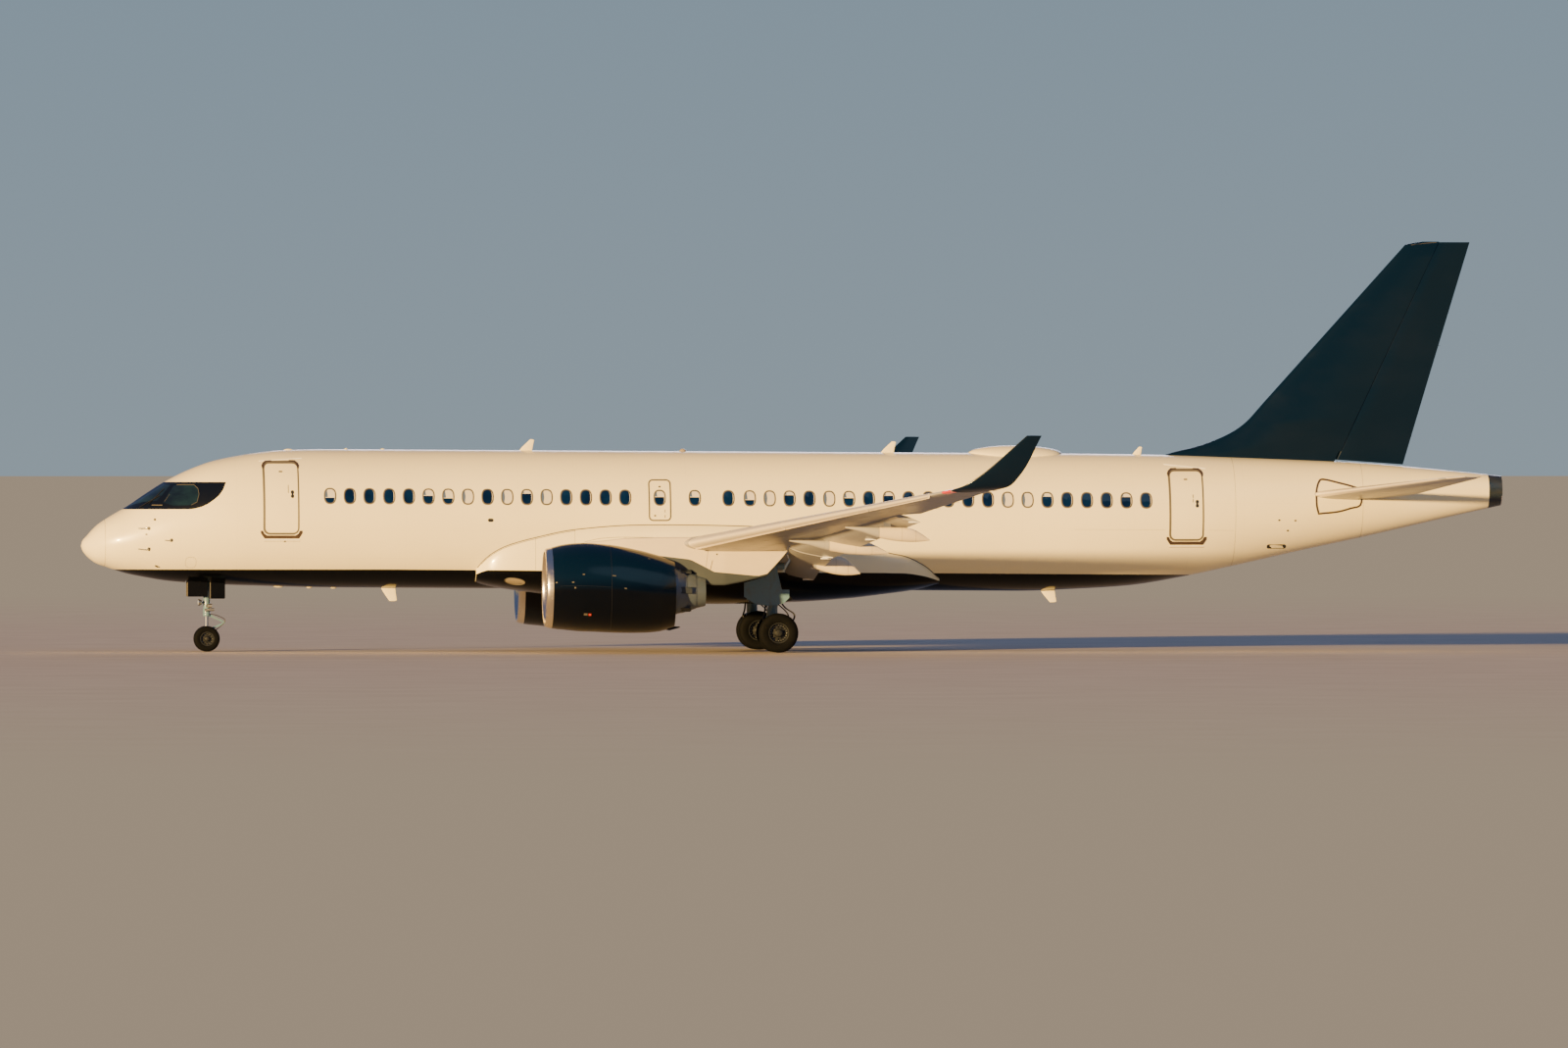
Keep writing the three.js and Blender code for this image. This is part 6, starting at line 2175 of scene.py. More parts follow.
# Engine core and nozzle: radius, station. The nozzle is stepped where its parts overlap.
CORE = [
    (0.3, 13.34), (0.43, 13.345), (0.47, 13.6), (0.52, 13.9), (0.58, 14.4), (0.625, 14.8),
    (0.64, 15.2), (0.645, 15.6), (0.63, 15.8), (0.618, 15.8), (0.59, 15.95), (0.572, 16.03),
    (0.556, 16.03), (0.5, 16.22), (0.475, 16.3), (0.462, 16.3), (0.395, 16.56), (0.38, 16.56),
    (0.37, 16.4), (0.345, 16.2), (0.3, 13.5),
]
CORE_LEAN = {"from": 13.33, "length": 3.23, "drop": 0.075}
PLUG = [(0.33, 16.1), (0.24, 16.3), (0.19, 16.39), (0.12, 16.46), (0.06, 16.505), (0.0, 16.52)]


def leaned(form):
    """The core's rear end sits lower than its front."""
    front, drop = along(CORE_LEAN["from"]), CORE_LEAN["drop"]
    return form.mapped(lambda x, y, z: (x, y, z - drop * max(0.0, x - front) / CORE_LEAN["length"]))


def build_cores(sizes):
    """Engine cores with guide vanes, nozzle and plug."""
    shell = leaned(revolve([(r, along(s)) for r, s in CORE], 64, "X", closed=True))
    plug = leaned(revolve([(r, along(s)) for r, s in PLUG], 48, "X"))
    lozenge = ((-0.11, 0), (0, 0.012), (0.11, 0), (0, -0.012))
    vane = loft([[(x, y, z) for x, y in lozenge] for z in (0.46, 0.7, 0.92)]).turned(8, "Z")
    band = block((along(15.83), -0.09, 0.565), (along(16.17), 0.09, 0.6), 0.012)
    for side, sign in SIDES.items():
        centre = (0, sign * ENGINE_Y, ENGINE_AXIS_Z)
        stands = ("engine_core_" + side,)
        body = shell.moved(*centre)
        make("core_shell_" + side, body, ["Nozzle alloy"], stands_for=stands, sharp=30)
        make("nozzle_plug_" + side, plug.moved(*centre), ["Nozzle alloy"], sharp=45)
        middle = (along(13.75), *centre[1:])
        vanes = ring(vane, "Fitting steel", sizes.guide_vanes, middle, (1, 0, 0))
        placed("guide_vanes_" + side, vanes)
        middle = (0, centre[1], ENGINE_AXIS_Z - 0.06)
        bands = ring(band, "Exhaust steel", 6, middle, (1, 0, 0), math.radians(28))
        placed("nozzle_bands_" + side, bands)


# Pylon from the side. Columns: station, bottom, lower edge of the panel, top, half width
PYLON = [
    (13.3, 2.87, 2.88, 2.885, 0.03), (13.38, 2.83, 2.86, 2.99, 0.055),
    (13.7, 2.73, 2.8, 3.02, 0.115), (14.4, 2.53, 2.7, 3.095, 0.172),
    (14.7, 2.19, 2.66, 3.105, 0.18), (15.35, 2.19, 2.62, 3.12, 0.185),
    (16.1, 2.19, 2.53, 3.12, 0.185), (16.2, 2.19, 2.5, 3.115, 0.185),
    (16.534, 1.88, 2.33, 3.1, 0.185), (16.8, 1.831, 2.19, 3.085, 0.185),
    (17.085, 1.831, 2.165, 3.072, 0.183), (17.6, 1.928, 2.115, 3.047, 0.136),
    (18.09, 2.045, 2.067, 3.022, 0.095), (18.23, 2.08, 2.085, 3.015, 0.086),
    (18.6, 2.5, 2.51, 2.99, 0.055), (18.9, 2.88, 2.885, 2.975, 0.03),
]


def build_pylons():
    """Pylons between engines and wings, each a pale panel over a shoe in a dark grey that paints
    the engine's shadow on it.
    """
    curves = columns(PYLON, straight_curve)
    stations = sorted({*(values[0] for values in PYLON), *evenly(13.35, 18.85, 40)})
    rings = []
    for s in stations:
        low, tone, high, wide = (curve(s) for curve in curves)
        r = min(wide * 0.7, (high - low) * 0.3, 0.06)
        half = []
        for k in range(6):
            a = math.radians(18 * k)
            half.append((wide - r + r * math.sin(a), high - r + r * math.cos(a)))
        half.append((wide, max(tone, low + r + 0.002)))
        for k in range(6):
            a = math.radians(90 + 18 * k)
            half.append((wide - r + r * math.sin(a), low + r + r * math.cos(a)))
        outline = half + [(-y, z) for y, z in half[::-1]]
        rings.append([(along(s), -ENGINE_Y + y, z) for y, z in outline])
    form = loft(rings)
    count = len(rings[0])
    for k in range(len(rings) - 1):
        for i in range(6, 19):
            form.paints[k * count + i] = 1
    lines = Form()
    y = -ENGINE_Y - 0.1855
    lines.add(tube([(along(16.632), y, 2.774), (along(16.574), y, 2.335)], 0.004, 6))
    slot = [(16.75, 2.498), (16.692, 2.262)]
    lines.add(tube([(along(s), y, z) for s, z in slot], 0.009, 6))
    lines.add(block((along(16.85), y, 2.645), (along(16.89), y + 0.006, 2.683)))
    stops = (16.25, 17.0, 17.6, 18.2, 18.8)
    rim = [(along(s), -ENGINE_Y - curves[3](s) - 0.0005, 2.924) for s in stops]
    lines.add(tube(rim, 0.007, 6))
    # The shoe's finish is painted shade
    paints = ["Fairing paint", "Shaded pylon shoe"]
    for side in SIDES:
        make_side(side, "pylon_skin_{}", form, paints, stands_for="pylon_{}")
        make_side(side, "pylon_seams_{}", lines, ["Black fitting"])


# A tyre's side: share of the way from rim to tread, share of the width
TYRE_SIDE = [
    (0, 0.36), (0.06, 0.43), (0.18, 0.47), (0.35, 0.492), (0.55, 0.495), (0.72, 0.48), (0.86, 0.43),
    (0.95, 0.365), (0.985, 0.31),
]


# Wheels by leg. rim and tyre_rim: radius of the wheel and of the hole in its tyre; dish: depth of
# the web; hole: radius of a cooling hole; circle: radius of the bolts' circle as a share of the
# rim; deep: how far the bolts sit behind the flange; aside: from the leg's middle to the wheel's
WHEELS = {
    "main": {
        "rim": 0.266, "tyre_rim": 0.268, "radius": 0.53, "width": 0.38, "dish": 0.09,
        "aside": 0.43, "holes": 10, "hole": 0.026, "bolts": 20, "circle": 0.79, "deep": 0.082,
    },
    "nose": {
        "rim": 0.18, "tyre_rim": 0.182, "radius": 0.347, "width": 0.216, "dish": 0.04,
        "aside": 0.205, "holes": 8, "hole": 0.015, "bolts": 12, "circle": 0.82, "deep": 0.036,
    },
}
# Where a wheel's flange stands, as a share of the tyre's width from its middle
FLANGE = 0.36


def tyre_form(wheel, grooves):
    """A tyre about the Y axis through the origin."""
    rim, radius, width = wheel["tyre_rim"], wheel["radius"], wheel["width"]
    side = [(rim + (radius - rim) * s, w * width) for s, w in TYRE_SIDE]
    tread = []
    edge = 0.27 * width
    pitch = 2 * edge / grooves
    for k in range(grooves):
        left = edge - pitch * k
        middle = left - pitch / 2
        tread += [(radius, left), (radius, middle + 0.006), (radius - 0.012, middle + 0.004)]
        tread += [(radius - 0.012, middle - 0.004), (radius, middle - 0.006)]
    tread.append((radius, -edge))
    other = [(r, -w) for r, w in reversed(side)]
    return revolve([*side, *tread, *other], 96, "Y", closed=True)


def wheel_form(wheel):
    """Wheel halves about the Y axis: flange, web and hub, open to +Y."""
    rim, dish = wheel["rim"], wheel["dish"]
    w = wheel["width"] * FLANGE
    profile = [
        (rim - 0.004, w), (rim + 0.012, w + 0.012), (rim + 0.012, w + 0.02),
        (rim - 0.012, w + 0.018), (rim - 0.03, w - 0.006), (rim * 0.84, w - dish * 0.55),
        (rim * 0.8, w - dish), (rim * 0.44, w - dish * 0.9), (rim * 0.4, w - dish * 0.6),
        (rim * 0.38, w + 0.004), (rim * 0.3, w + 0.022), (rim * 0.12, w + 0.03), (0.0, w + 0.03),
    ]
    back = [(0.0, -w), (rim * 0.75, -w), (rim * 0.85, -w * 0.96), (rim - 0.004, -w - 0.004)]
    return revolve([*profile, *back], 72, "Y", closed=True)


def cut_wheel(wheel):
    """A wheel with a ring of cooling holes through its web."""
    mesh = mesh_of("wheel", wheel_form(wheel), ["Shaded wheel alloy"], 30)
    reach, size = wheel["rim"] * 0.62, wheel["hole"]
    out = wheel["width"] * FLANGE + 0.05
    back = out - wheel["dish"] - 0.1
    profile = [(0, back), (size, back), (size, out), (0, out)]
    cutters = []
    for c, s in circle(wheel["holes"]):
        hole = revolve(profile, 16, "Y", (reach * s, 0, reach * c))
        cutters.append(mesh_of("hole", hole, ["Brake carbon"]))
    return shaded(carved(mesh, cutters), 30)


def set_wheel(leg, label, forms, centre, outward, body, stands_for):
    """A tyre, a copy of its wheel with the open face to +Y or to -Y, and the wheel's bolts."""
    wheel = WHEELS[leg]
    tyre, mesh = forms
    name = f"{leg}_tyre_{label}"
    make(name + "_tread", tyre.moved(*centre), ["Tyre rubber"], body, stands_for=(name,))
    copy = mesh.copy()
    if outward < 0:
        copy.transform(Matrix.Rotation(math.pi, 4, "Z"))
    copy.transform(Matrix.Translation(centre))
    placed(f"{leg}_wheel_{label}", copy, body, stands_for)
    bolt = revolve([(0, 0.012), (0.009, 0.012), (0.011, 0.004), (0.011, -0.01), (0, -0.01)], 8, "Y")
    out = outward * (wheel["width"] * FLANGE - wheel["deep"])
    first = bolt.moved(0, out, wheel["rim"] * wheel["circle"])
    bolts = ring(first, "Fitting steel", wheel["bolts"], centre, (0, 1, 0))
    placed(f"{leg}_wheel_bolts_{label}", bolts, body)


def build_wheels(sizes):
    """Tyres, wheels, their bolts and axles."""
    large, small = WHEELS["main"], WHEELS["nose"]
    large_forms = tyre_form(large, sizes.main_grooves), cut_wheel(large)
    small_forms = tyre_form(small, sizes.nose_grooves), cut_wheel(small)
    for side, sign in SIDES.items():
        body = "main_wheels_" + side
        for which, away in (("outer", 1), ("inner", -1)):
            centre = (along(MAIN_GEAR), sign * (MAIN_GEAR_Y + away * large["aside"]), MAIN_AXLE_Z)
            stands = (body,) if which == "outer" else ()
            set_wheel("main", f"{side}_{which}", large_forms, centre, sign * away, body, stands)
        ends = [(along(MAIN_GEAR), sign * (MAIN_GEAR_Y + y), MAIN_AXLE_Z) for y in (-0.42, 0.42)]
        make("main_axle_" + side, tube(ends, 0.075, 24), ["Chromed steel"], body)
        body = "nose_wheels"
        centre = (along(NOSE_GEAR), sign * small["aside"], NOSE_AXLE_Z)
        stands = (body,) if side == "left" else ()
        set_wheel("nose", side, small_forms, centre, sign, body, stands)
    ends = [(along(NOSE_GEAR), y, NOSE_AXLE_Z) for y in (-0.2, 0.2)]
    make("nose_axle", tube(ends, 0.043, 20), ["Chromed steel"], "nose_wheels")


def link_pair(x, y, high, low, reach, wide):
    """Scissor links aft of a leg, each arm tapering to the knuckle."""
    form = Form()
    middle = (high + low) / 2
    for z, elbow in ((high, middle + 0.012), (low, middle - 0.012)):
        rings = []
        for t, spread, deep in ((0, 1.0, 0.075), (0.5, 0.75, 0.055), (1, 0.5, 0.045)):
            cx, cz, half = x + reach * t, z + (elbow - z) * t, wide * spread
            corners = ((-half, -deep / 2), (half, -deep / 2), (half, deep / 2), (-half, deep / 2))
            rings.append([(cx, y + across, cz + up) for across, up in corners])
        form.add(loft(rings))
    pin = [(x + reach, y - wide * 0.62, middle), (x + reach, y + wide * 0.62, middle)]
    return form.add(tube(pin, 0.032, 14))


def collar(x, y, z0, z1, radius):
    profile = [(0, z0), (radius - 0.008, z0), (radius, z0 + 0.01)]
    profile += [(radius, z1 - 0.01), (radius - 0.008, z1), (0, z1)]
    return revolve(profile, 36, "Z", (x, y, 0))


def sleeve(half, sides, centre):
    """The housing of an axle, from the profile of its one half."""
    profile = [(radius, -step) for radius, step in half]
    profile += [(radius, step) for radius, step in reversed(half)]
    return revolve(profile, sides, "Y", centre, closed=True)


def hose(points, radius, x, y):
    """A bent pipe. Its points are measured from a leg at x and y, and from the ground."""
    return tube(bent([(x + a, y + b, z) for a, b, z in points], 7), radius, 8)


def brake_forms(x, y):
    """The stacks of the two brakes on an axle, and their pistons."""
    brakes = Form()
    pots = Form()
    pot = revolve([(0, -0.02), (0.022, -0.02), (0.024, 0.03), (0, 0.03)], 14, "Y")
    stack = [(0.088, 0.175), (0.16, 0.175), (0.19, 0.19), (0.19, 0.262), (0.088, 0.262)]
    for away in (-1, 1):
        profile = [(radius, away * step) for radius, step in stack]
        brakes.add(revolve(profile, 40, "Y", (x, y, MAIN_AXLE_Z), closed=True))
        for c, s in circle(7):
            pots.add(pot.moved(x + 0.145 * s, y + away * 0.16, MAIN_AXLE_Z + 0.145 * c))
    return brakes, pots


def main_hoses(x, y):
    hoses = Form()
    for dy in (-0.09, 0.09):
        fore = [(-0.16, dy, 1.5), (-0.2, dy, 1.1), (-0.24, dy * 1.2, 0.9), (-0.1, dy * 1.6, 0.66)]
        fore.append((0.12, dy * 1.7, 0.68))
        aft = [(0.15, dy, 1.5), (0.34, dy, 1.22), (0.6, dy, 1.02), (0.5, dy, 0.78)]
        aft.append((0.2, dy * 1.7, 0.66))
        low = [(0.16, dy, 1.3), (0.36, dy, 1.12), (0.44, dy, 0.98), (0.38, dy, 0.84)]
        low.append((0.1, dy, 0.7))
        for path, radius in ((fore, 0.016), (aft, 0.016), (low, 0.012)):
            hoses.add(hose(path, radius, x, y))
    return hoses


def build_main_gear():
    """Main legs with pistons, links, stays, brakes, pipes and leg doors."""
    axle_x = along(MAIN_GEAR)
    x, y = axle_x - 0.135, -MAIN_GEAR_Y
    leg = collar(x, y, 0.9, 2.4, 0.148)
    for z0, z1, radius in ((0.9, 1.0, 0.165), (1.24, 1.3, 0.158), (1.5, 1.62, 0.165)):
        leg.add(collar(x, y, z0, z1, radius))
    leg.add(tube([(x - 0.33, y, 2.33), (x + 0.33, y, 2.33)], 0.088, 20))
    leg.add(link_pair(x + 0.06, y, 1.06, 0.7, 0.33, 0.06))
    leg.add(tube([(x, y, 1.4), (x, -1.99, 2.15)], 0.06, 16))
    leg.add(tube([(x, -3.1, 1.525), (x - 0.3, -2.7, 2.2)], 0.035, 12))
    for step in (-0.06, 0.06):
        leg.add(block((x + step - 0.02, y - 0.29, 1.5), (x + step + 0.02, y, 1.6), 0.01))
    leg.add(block((x - 0.06, y - 0.11, 0.44), (axle_x + 0.03, y + 0.11, 0.64), 0.03))
    leg.add(sleeve([(0.083, 0.165), (0.118, 0.165), (0.125, 0.15)], 32, (axle_x, y, MAIN_AXLE_Z)))
    leg.add(collar(axle_x, y, 0.36, 0.45, 0.042))
    piston = collar(x, y, 0.6, 0.95, 0.1)
    brakes, pots = brake_forms(axle_x, y)
    hoses = main_hoses(x, y)
    pipes = Form()
    for k in range(3):
        path = [(-0.14 + 0.03 * k, -0.06, 2.2), (-0.13 + 0.03 * k, -0.09, 1.7), (-0.12, -0.1, 1.2)]
        pipes.add(hose(path, 0.009, x, y))
    for side in SIDES:
        stands = "main_leg_{}"
        make_side(side, "main_leg_cylinder_{}", leg, ["Gear paint"], stands_for=stands, sharp=40)
        make_side(side, "main_piston_{}", piston, ["Chromed steel"])
        make_side(side, "brake_stacks_{}", brakes, ["Brake carbon"])
        make_side(side, "brake_pistons_{}", pots, ["Fitting steel"])
        make_side(side, "main_leg_hoses_{}", hoses, ["Hose rubber"])
        make_side(side, "main_leg_pipes_{}", pipes, ["Chromed steel"])
        make_side(side, "leg_door_panel_{}", leg_door(), ["Gear paint"], stands_for="leg_door_{}")


# Leg door, drawn from the side: station, height
LEG_DOOR = [
    (17.77, 1.884), (18.382, 2.053), (18.64, 2.35), (18.79, 1.7), (18.997, 1.693), (18.997, 1.476),
    (18.839, 1.318), (18.443, 1.259), (18.107, 1.293), (17.77, 1.504),
]


def leg_door():
    """The door outboard of the main leg, with its ribs and hinge arms."""
    y = -MAIN_GEAR_Y - 0.3
    outline = [(along(s), z) for s, z in LEG_DOOR]
    form = side_plate(outline, y - 0.016, y + 0.012, 0.006)
    for z in (1.42, 1.62, 1.82):
        form.add(block((along(17.85), y + 0.01, z), (along(18.7), y + 0.03, z + 0.025), 0.004))
    for z in (1.5, 1.86):
        form.add(block((along(18.4), y, z), (along(18.6), y + 0.17, z + 0.06), 0.01))
    return form


def build_nose_gear():
    """The nose leg, its steering actuators and its taxi lamps."""
    x = along(NOSE_GEAR)
    profile = [(0.0705, 1.06), (0.1, 1.06), (0.1, 1.14), (0.09, 1.16), (0.09, 1.62), (0.104, 1.64)]
    profile += [(0.104, 1.74), (0.09, 1.76), (0.09, 2.55), (0, 2.55), (0, 1.262), (0.0705, 1.262)]
    leg = revolve(profile, 36, "Z", (x, 0, 0), closed=True)
    leg.add(tube([(x, 0, 1.5), (along(2.94), 0, 2.38)], 0.047, 16))
    leg.add(tube([(x, -0.329, 2.38), (x, 0.329, 2.38)], 0.058, 18))
    leg.add(tube([(x - 0.16, -0.17, 1.33), (x - 0.16, 0.17, 1.33)], 0.025, 10))
    leg.add(tube([(x - 0.16, 0, 1.33), (x, 0, 1.33)], 0.03, 10))
    make("nose_leg_cylinder", leg, ["Gear paint"], stands_for=("nose_leg",), sharp=40)
    actuators = Form()
    for y in (-0.13, 0.13):
        path = [(x + 0.02, y * 0.5, 1.24), (x + 0.05, y, 1.24), (x + 0.14, y, 1.24)]
        actuators.add(tube(path, 0.055, 14))
        actuators.add(tube([(x - 0.06, y * 0.8, 1.12), (x + 0.2, y * 0.8, 1.14)], 0.04, 12))
    make("nose_steering_actuators", actuators, ["Fitting steel"])
    lamps = Form()
    lenses = Form()
    housing = [(0, -0.13), (0.055, -0.135), (0.088, -0.2), (0.088, -0.228), (0.08, -0.228)]
    housing += [(0.08, -0.222), (0, -0.222)]
    glass = [(0, -0.236), (0.05, -0.232), (0.079, -0.224), (0.079, -0.221), (0, -0.221)]
    for y in (-0.11, 0.11):
        lamps.add(revolve(housing, 28, "X", (x, y, 1.33)))
        lenses.add(revolve(glass, 28, "X", (x, y, 1.33)))
    make("taxi_lamp_housings", lamps, ["Fitting steel"])
    make("taxi_lamp_lenses", lenses, ["Clear lens"])


def build_nose_fork():
    """The steered piston with its links and axle housing, and its hoses."""
    body = "nose_steering"
    x = along(NOSE_GEAR)
    fork = collar(x, 0, 0.96, 1.053, 0.098)
    fork.add(link_pair(x + 0.04, 0, 1.0, 0.575, 0.43, 0.03))
    fork.add(sleeve([(0.0505, 0.072), (0.07, 0.072), (0.078, 0.06)], 28, (x, 0, NOSE_AXLE_Z)))
    fork.add(collar(x, 0, 0.42, 0.54, 0.07))
    fork.add(collar(x, 0, 0.235, 0.305, 0.042))
    make("nose_fork", fork, ["Gear paint"], body, stands_for=("nose_strut",), sharp=40)
    make("nose_piston", collar(x, 0, 0.4, 1.25, 0.062), ["Chromed steel"], body)
    hoses = Form()
    for dy in (-0.05, 0.05):
        path = [(0.09, dy, 1.02), (0.3, dy, 0.97), (0.5, dy * 1.3, 0.84), (0.3, dy, 0.62)]
        path.append((0.08, dy, 0.5))
        hoses.add(hose(path, 0.009, x, 0))
    make("nose_hoses", hoses, ["Hose rubber"], body)


def build_nose_doors():
    """The doors beside the nose leg, two panels on each side, with their ribs."""
    doors = Form()
    ribs = Form()
    y = -0.298
    for x0, x1, foot in ((2.925, 3.47, 1.489), (3.545, 3.945, 1.433)):
        outline = rounded(along(x0), along(x1), foot, 2.008, 0.03, 0, 4)
        doors.add(side_plate(outline, y - 0.024, y - 0.006, 0.005))
        for z in (1.56, 1.72, 1.88):
            low, high = (along(x0) + 0.03, y - 0.008, z), (along(x1) - 0.03, y + 0.004, z + 0.02)
            ribs.add(block(low, high))
    doors.add(block((along(2.925), y - 0.02, 1.95), (along(3.945), y - 0.008, 2.008)))
    edges = tube([(along(2.93), y - 0.016, 1.5), (along(2.93), y - 0.016, 1.88)], 0.012, 8)
    edges.add(tube([(along(3.548), y - 0.016, 1.45), (along(3.548), y - 0.016, 1.9)], 0.012, 8))
    for side in SIDES:
        make_side(side, "nose_door_panels_{}", doors, ["Belly paint"], stands_for="nose_door_{}")
        make_side(side, "nose_door_ribs_{}", ribs, ["Well primer"])
        make_side(side, "nose_door_edges_{}", edges, ["Window trim"])


# Stage

# Lights: name, colour, strength, spread in degrees, direction towards it
LIGHTS = (
    ("key_light", (1.0, 0.63, 0.22), 14.5, 2.0, (-0.95, -1.0, 0.13)),
    ("fill_light", (0.55, 0.78, 1.0), 0.25, 40, (0.6, -0.9, 0.9)),
    ("rear_light", (0.92, 0.88, 1.0), 0.9, 30, (0.3, 1.0, 0.2)),
)
# Sky: share of the way up from the horizon, colour. The pale band is all that the camera sees.
SKY = (
    (0.0, (0.27, 0.34, 0.39)),
    (0.03, (0.23, 0.31, 0.38)),
    (0.08, (0.108, 0.157, 0.29)),
    (0.6, (0.068, 0.106, 0.26)),
)
FLOOR_GLOW = (0.36, 0.284, 0.207, 1)
FLOOR_SIZE = 3000
# Distances from the middle between which the floor turns into the pale backdrop
FLOOR_ENDS = (45, 170)
CAMERA = {"place": (-36.692, -438.484, 5.444), "target": (-0.257, 0, 3.448), "lens": 371.8}


def build_stage():
    """The pale floor, the soft lights and the camera."""
    floor = bpy.data.meshes.new("floor")
    size = FLOOR_SIZE
    corners = [(-size, -size, 0), (size, -size, 0), (size, size, 0), (-size, size, 0)]
    floor.from_pydata(corners, [], [(0, 1, 2, 3)])
    pale = Finish("Pale floor", (0.6, 0.56, 0.48), 0.9, Specular_IOR_Level=0.0)
    far = (pale.x * pale.x + pale.y * pale.y) ** 0.5
    grain = pale.noise(0.35, 4.0).between(0.3, 0.7)
    pale.set("Base Color", pale.mixed(grain, (0.57, 0.5, 0.4, 1), (0.64, 0.565, 0.455, 1)))
    glow = pale.node("ShaderNodeEmission", None, {"Color": FLOOR_GLOW, "Strength": 1.0})
    values = {0: far.between(*FLOOR_ENDS), 1: pale.shader.outputs[0], 2: glow.outputs[0]}
    blend = pale.node("ShaderNodeMixShader", None, values)
    surface = pale.tree.nodes["Material Output"].inputs["Surface"]
    pale.tree.links.new(blend.outputs[0], surface)
    floor.materials.append(pale.material)
    ground = bpy.data.objects.new("floor", floor)
    bpy.context.scene.collection.objects.link(ground)
    for name, colour, strength, spread, direction in LIGHTS:
        lamp = bpy.data.lights.new(name, "SUN")
        lamp.color = colour
        lamp.energy = strength
        lamp.angle = math.radians(spread)
        thing = bpy.data.objects.new(name, lamp)
        thing.rotation_euler = Vector(direction).to_track_quat("Z", "Y").to_euler()
        bpy.context.scene.collection.objects.link(thing)
    world = bpy.data.worlds.new("soft_room")
    world.use_nodes = True
    nodes, links = world.node_tree.nodes, world.node_tree.links
    place = nodes.new("ShaderNodeTexCoord")
    split = nodes.new("ShaderNodeSeparateXYZ")
    ramp = nodes.new("ShaderNodeValToRGB")
    stops = ramp.color_ramp.elements
    while len(stops) < len(SKY):
        stops.new(0.5)
    for stop, (position, colour) in zip(stops, SKY):
        stop.position, stop.color = position, (*colour, 1)
    links.new(place.outputs["Generated"], split.inputs[0])
    links.new(split.outputs[2], ramp.inputs[0])
    links.new(ramp.outputs[0], nodes["Background"].inputs["Color"])
    bpy.context.scene.world = world
    camera = bpy.data.cameras.new("camera")
    camera.sensor_width = 36.0
    camera.lens = CAMERA["lens"]
    camera.clip_end = 6000
    eye = bpy.data.objects.new("camera", camera)
    eye.location = CAMERA["place"]
    target = Vector(CAMERA["target"])
    eye.rotation_euler = (target - eye.location).to_track_quat("-Z", "Y").to_euler()
    bpy.context.scene.collection.objects.link(eye)
    bpy.context.scene.camera = eye


# The add-on


def length_property(name, description, default):
    return bpy.props.FloatProperty(
        name=name, description=description, default=default, unit="LENGTH"
    )


def count_property(name, description, default, least):
    return bpy.props.IntProperty(name=name, description=description, default=default, min=least)


def colour_property(name, description, default):
    return bpy.props.FloatVectorProperty(
        name=name, description=description, default=default, subtype="COLOR", min=0.0, max=1.0
    )


class AirlinerSizes(bpy.types.PropertyGroup):
    """Sizes and counts of the repeated pieces."""

    window_width: length_property("Window width", "Width of a cabin window", 0.268)
    window_height: length_property("Window height", "Height of a cabin window", 0.372)
    window_pitch_front: length_property("Front pitch", "Between windows ahead of the wing", 0.5326)
    window_pitch_rear: length_property("Rear pitch", "Between windows aft of the exits", 0.5394)
    fan_blades: count_property("Fan blades", "Blades on each fan", 18, 3)
    guide_vanes: count_property("Guide vanes", "Vanes behind each fan", 44, 3)
    main_grooves: count_property("Main tread", "Grooves of a main tyre", 4, 1)
    nose_grooves: count_property("Nose tread", "Grooves of a nose tyre", 3, 1)


class AirlinerColours(bpy.types.PropertyGroup):
    """Paint and metal colours."""

    # Painted light: the fuselage's white paint is given a cream tone that stands in for low warm
    # sunlight
    white: colour_property("White", "Fuselage paint", (0.88, 0.785, 0.47))
    belly: colour_property("Belly", "Paint below the line", (0.0015, 0.002, 0.0035))
    navy: colour_property("Navy", "Fin, cowl and winglet paint", (0.0012, 0.0072, 0.021))
    wing: colour_property("Wing", "Wing and tailplane paint", (0.34, 0.33, 0.31))
    fairing: colour_property("Fairing", "Pylons and flap track fairings", (0.72, 0.61, 0.4))
    # Partly painted light: the aluminium of the intake lips and slats is tinted golden, a painted
    # reflection of the low warm sun
    metal: colour_property("Metal", "Intake lips and slats", (0.88, 0.78, 0.58))
    # Partly painted shade: the gear's paint is made darker and bluer than its own colour, for legs
    # and doors in the engine's shadow under blue sky
    gear: colour_property("Gear", "Landing gear legs and doors", (0.11, 0.21, 0.28))


class MixFinishes(bpy.types.Operator):
    """Makes every paint, metal, rubber and glass."""

    bl_idname = "airliner.finishes"
    bl_label = "Finishes"

    def execute(self, context):
        colours = context.scene.airliner_colours
        mix_white_paint(colours)
        mix_dark_paints(colours)
        mix_wing_paints(colours)
        mix_metals(colours)
        mix_small_finishes(colours)
        mix_glasses()
        row_tree()
        ring_tree()
        return {"FINISHED"}


class BuildHull(bpy.types.Operator):
    """Fuselage skin, its joints and the belly fairing."""

    bl_idname = "airliner.hull"
    bl_label = "Hull"

    def execute(self, context):
        build_hull()
        build_hull_seams()
        build_belly_fairing()
        build_fairing_details()
        return {"FINISHED"}


class BuildDoors(bpy.types.Operator):
    """Cabin doors, overwing exits and hold doors."""

    bl_idname = "airliner.doors"
    bl_label = "Doors"

    def execute(self, context):
        build_doors()
        build_exits()
        build_hold_doors()
        return {"FINISHED"}


class BuildWindows(bpy.types.Operator):
    """Cabin windows and cockpit glazing."""

    bl_idname = "airliner.windows"
    bl_label = "Windows"

    def execute(self, context):
        build_windows(context.scene.airliner_sizes)
        build_cockpit()
        return {"FINISHED"}


class BuildAerials(bpy.types.Operator):
    """Aerials, beacons, probes and vents."""

    bl_idname = "airliner.aerials"
    bl_label = "Aerials and probes"

    def execute(self, context):
        build_aerials()
        build_probes()
        return {"FINISHED"}


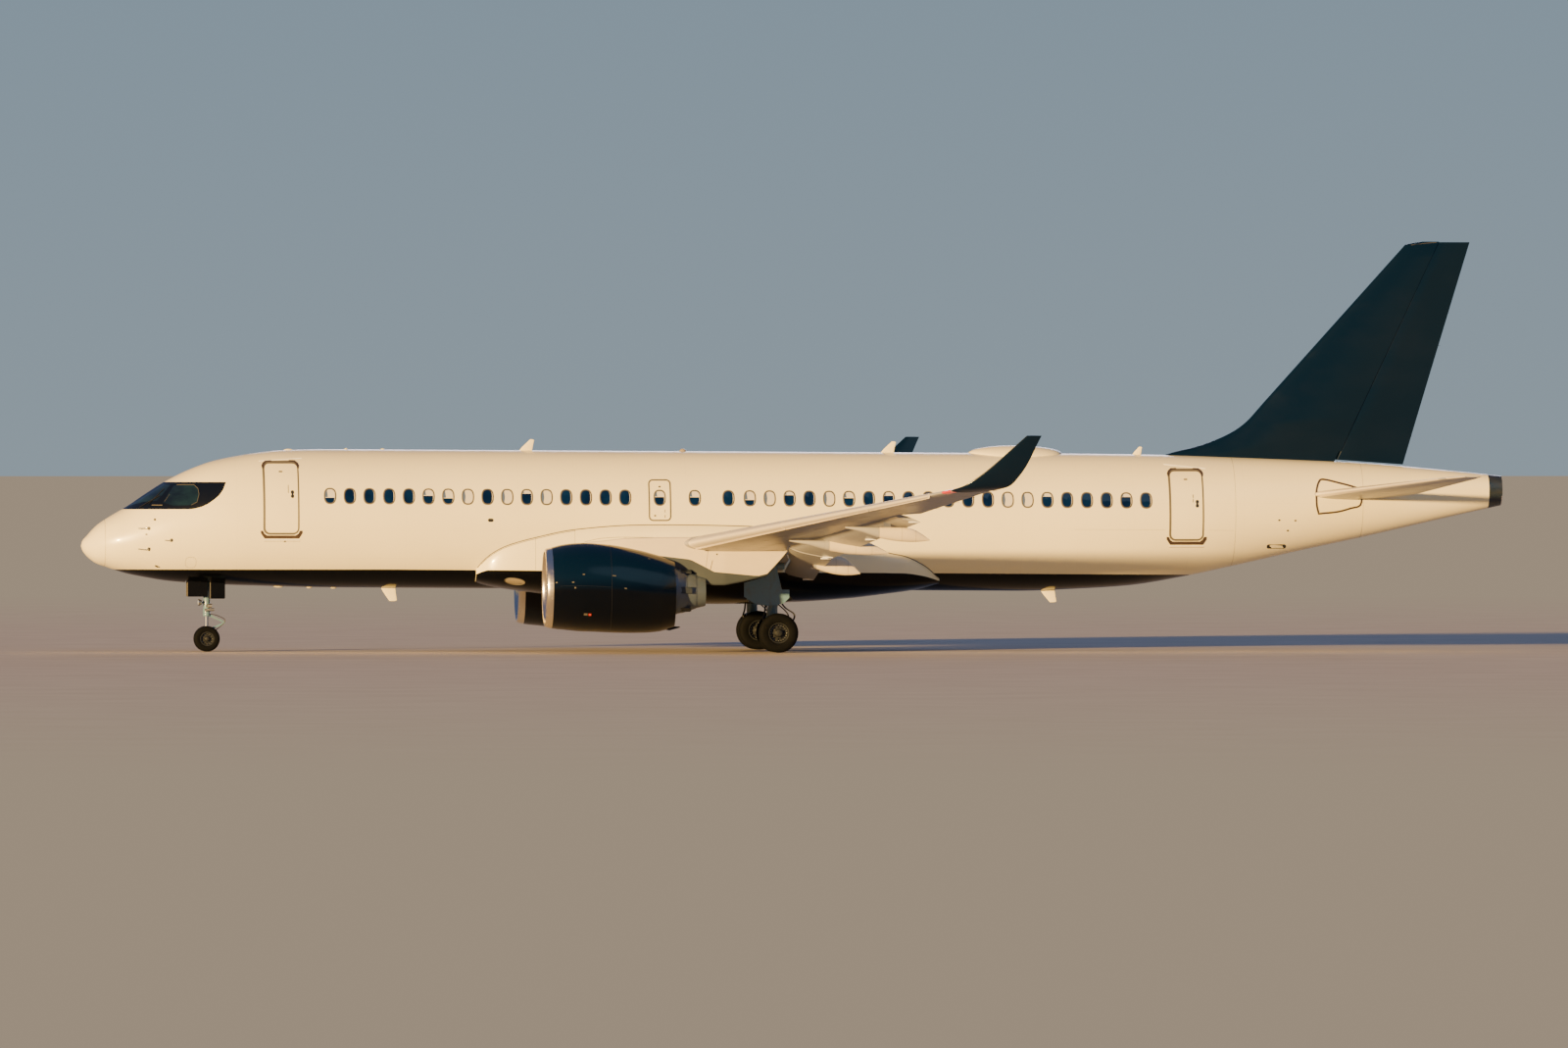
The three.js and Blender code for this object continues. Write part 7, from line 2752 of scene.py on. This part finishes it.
class BuildWings(bpy.types.Operator):
    """Wings, slats, flaps, ailerons and winglets."""

    bl_idname = "airliner.wings"
    bl_label = "Wings"

    def execute(self, context):
        build_wings()
        build_slats()
        build_flaps()
        build_ailerons()
        build_winglets()
        return {"FINISHED"}


class BuildTail(bpy.types.Operator):
    """Fin, rudder, stabilisers and elevators."""

    bl_idname = "airliner.tail"
    bl_label = "Tail"

    def execute(self, context):
        build_fin()
        build_tailplane()
        return {"FINISHED"}


class BuildEngines(bpy.types.Operator):
    """Nacelles, fans, cores and pylons."""

    bl_idname = "airliner.engines"
    bl_label = "Engines"

    def execute(self, context):
        build_nacelles()
        build_fans(context.scene.airliner_sizes)
        build_cores(context.scene.airliner_sizes)
        build_pylons()
        return {"FINISHED"}


class BuildGear(bpy.types.Operator):
    """Landing gear legs, wheels, tyres and gear doors."""

    bl_idname = "airliner.gear"
    bl_label = "Landing gear"

    def execute(self, context):
        build_wheels(context.scene.airliner_sizes)
        build_main_gear()
        build_nose_gear()
        build_nose_fork()
        build_nose_doors()
        return {"FINISHED"}


class BuildStage(bpy.types.Operator):
    """Floor, lights and camera."""

    bl_idname = "airliner.stage"
    bl_label = "Stage"

    def execute(self, context):
        build_stage()
        return {"FINISHED"}


STEPS = (
    MixFinishes,
    BuildStage,
    BuildHull,
    BuildDoors,
    BuildWindows,
    BuildAerials,
    BuildWings,
    BuildTail,
    BuildEngines,
    BuildGear,
)


class AirlinerPanel(bpy.types.Panel):
    """Sizes, colours and the building steps, in order."""

    bl_idname = "VIEW3D_PT_airliner"
    bl_label = "Airliner"
    bl_space_type = "VIEW_3D"
    bl_region_type = "UI"
    bl_category = "Airliner"

    def draw(self, context):
        for group in (context.scene.airliner_sizes, context.scene.airliner_colours):
            for name in group.__annotations__:
                self.layout.prop(group, name)
        for step in STEPS:
            self.layout.operator(step.bl_idname)


CLASSES = (AirlinerSizes, AirlinerColours, *STEPS, AirlinerPanel)


def register():
    for made in CLASSES:
        bpy.utils.register_class(made)
    bpy.types.Scene.airliner_sizes = bpy.props.PointerProperty(type=AirlinerSizes)
    bpy.types.Scene.airliner_colours = bpy.props.PointerProperty(type=AirlinerColours)


def unregister():
    del bpy.types.Scene.airliner_colours
    del bpy.types.Scene.airliner_sizes
    for made in reversed(CLASSES):
        bpy.utils.unregister_class(made)


def main():
    register()
    for step in STEPS:
        group, name = step.bl_idname.split(".")
        getattr(getattr(bpy.ops, group), name)()


if __name__ == "__main__":
    main()
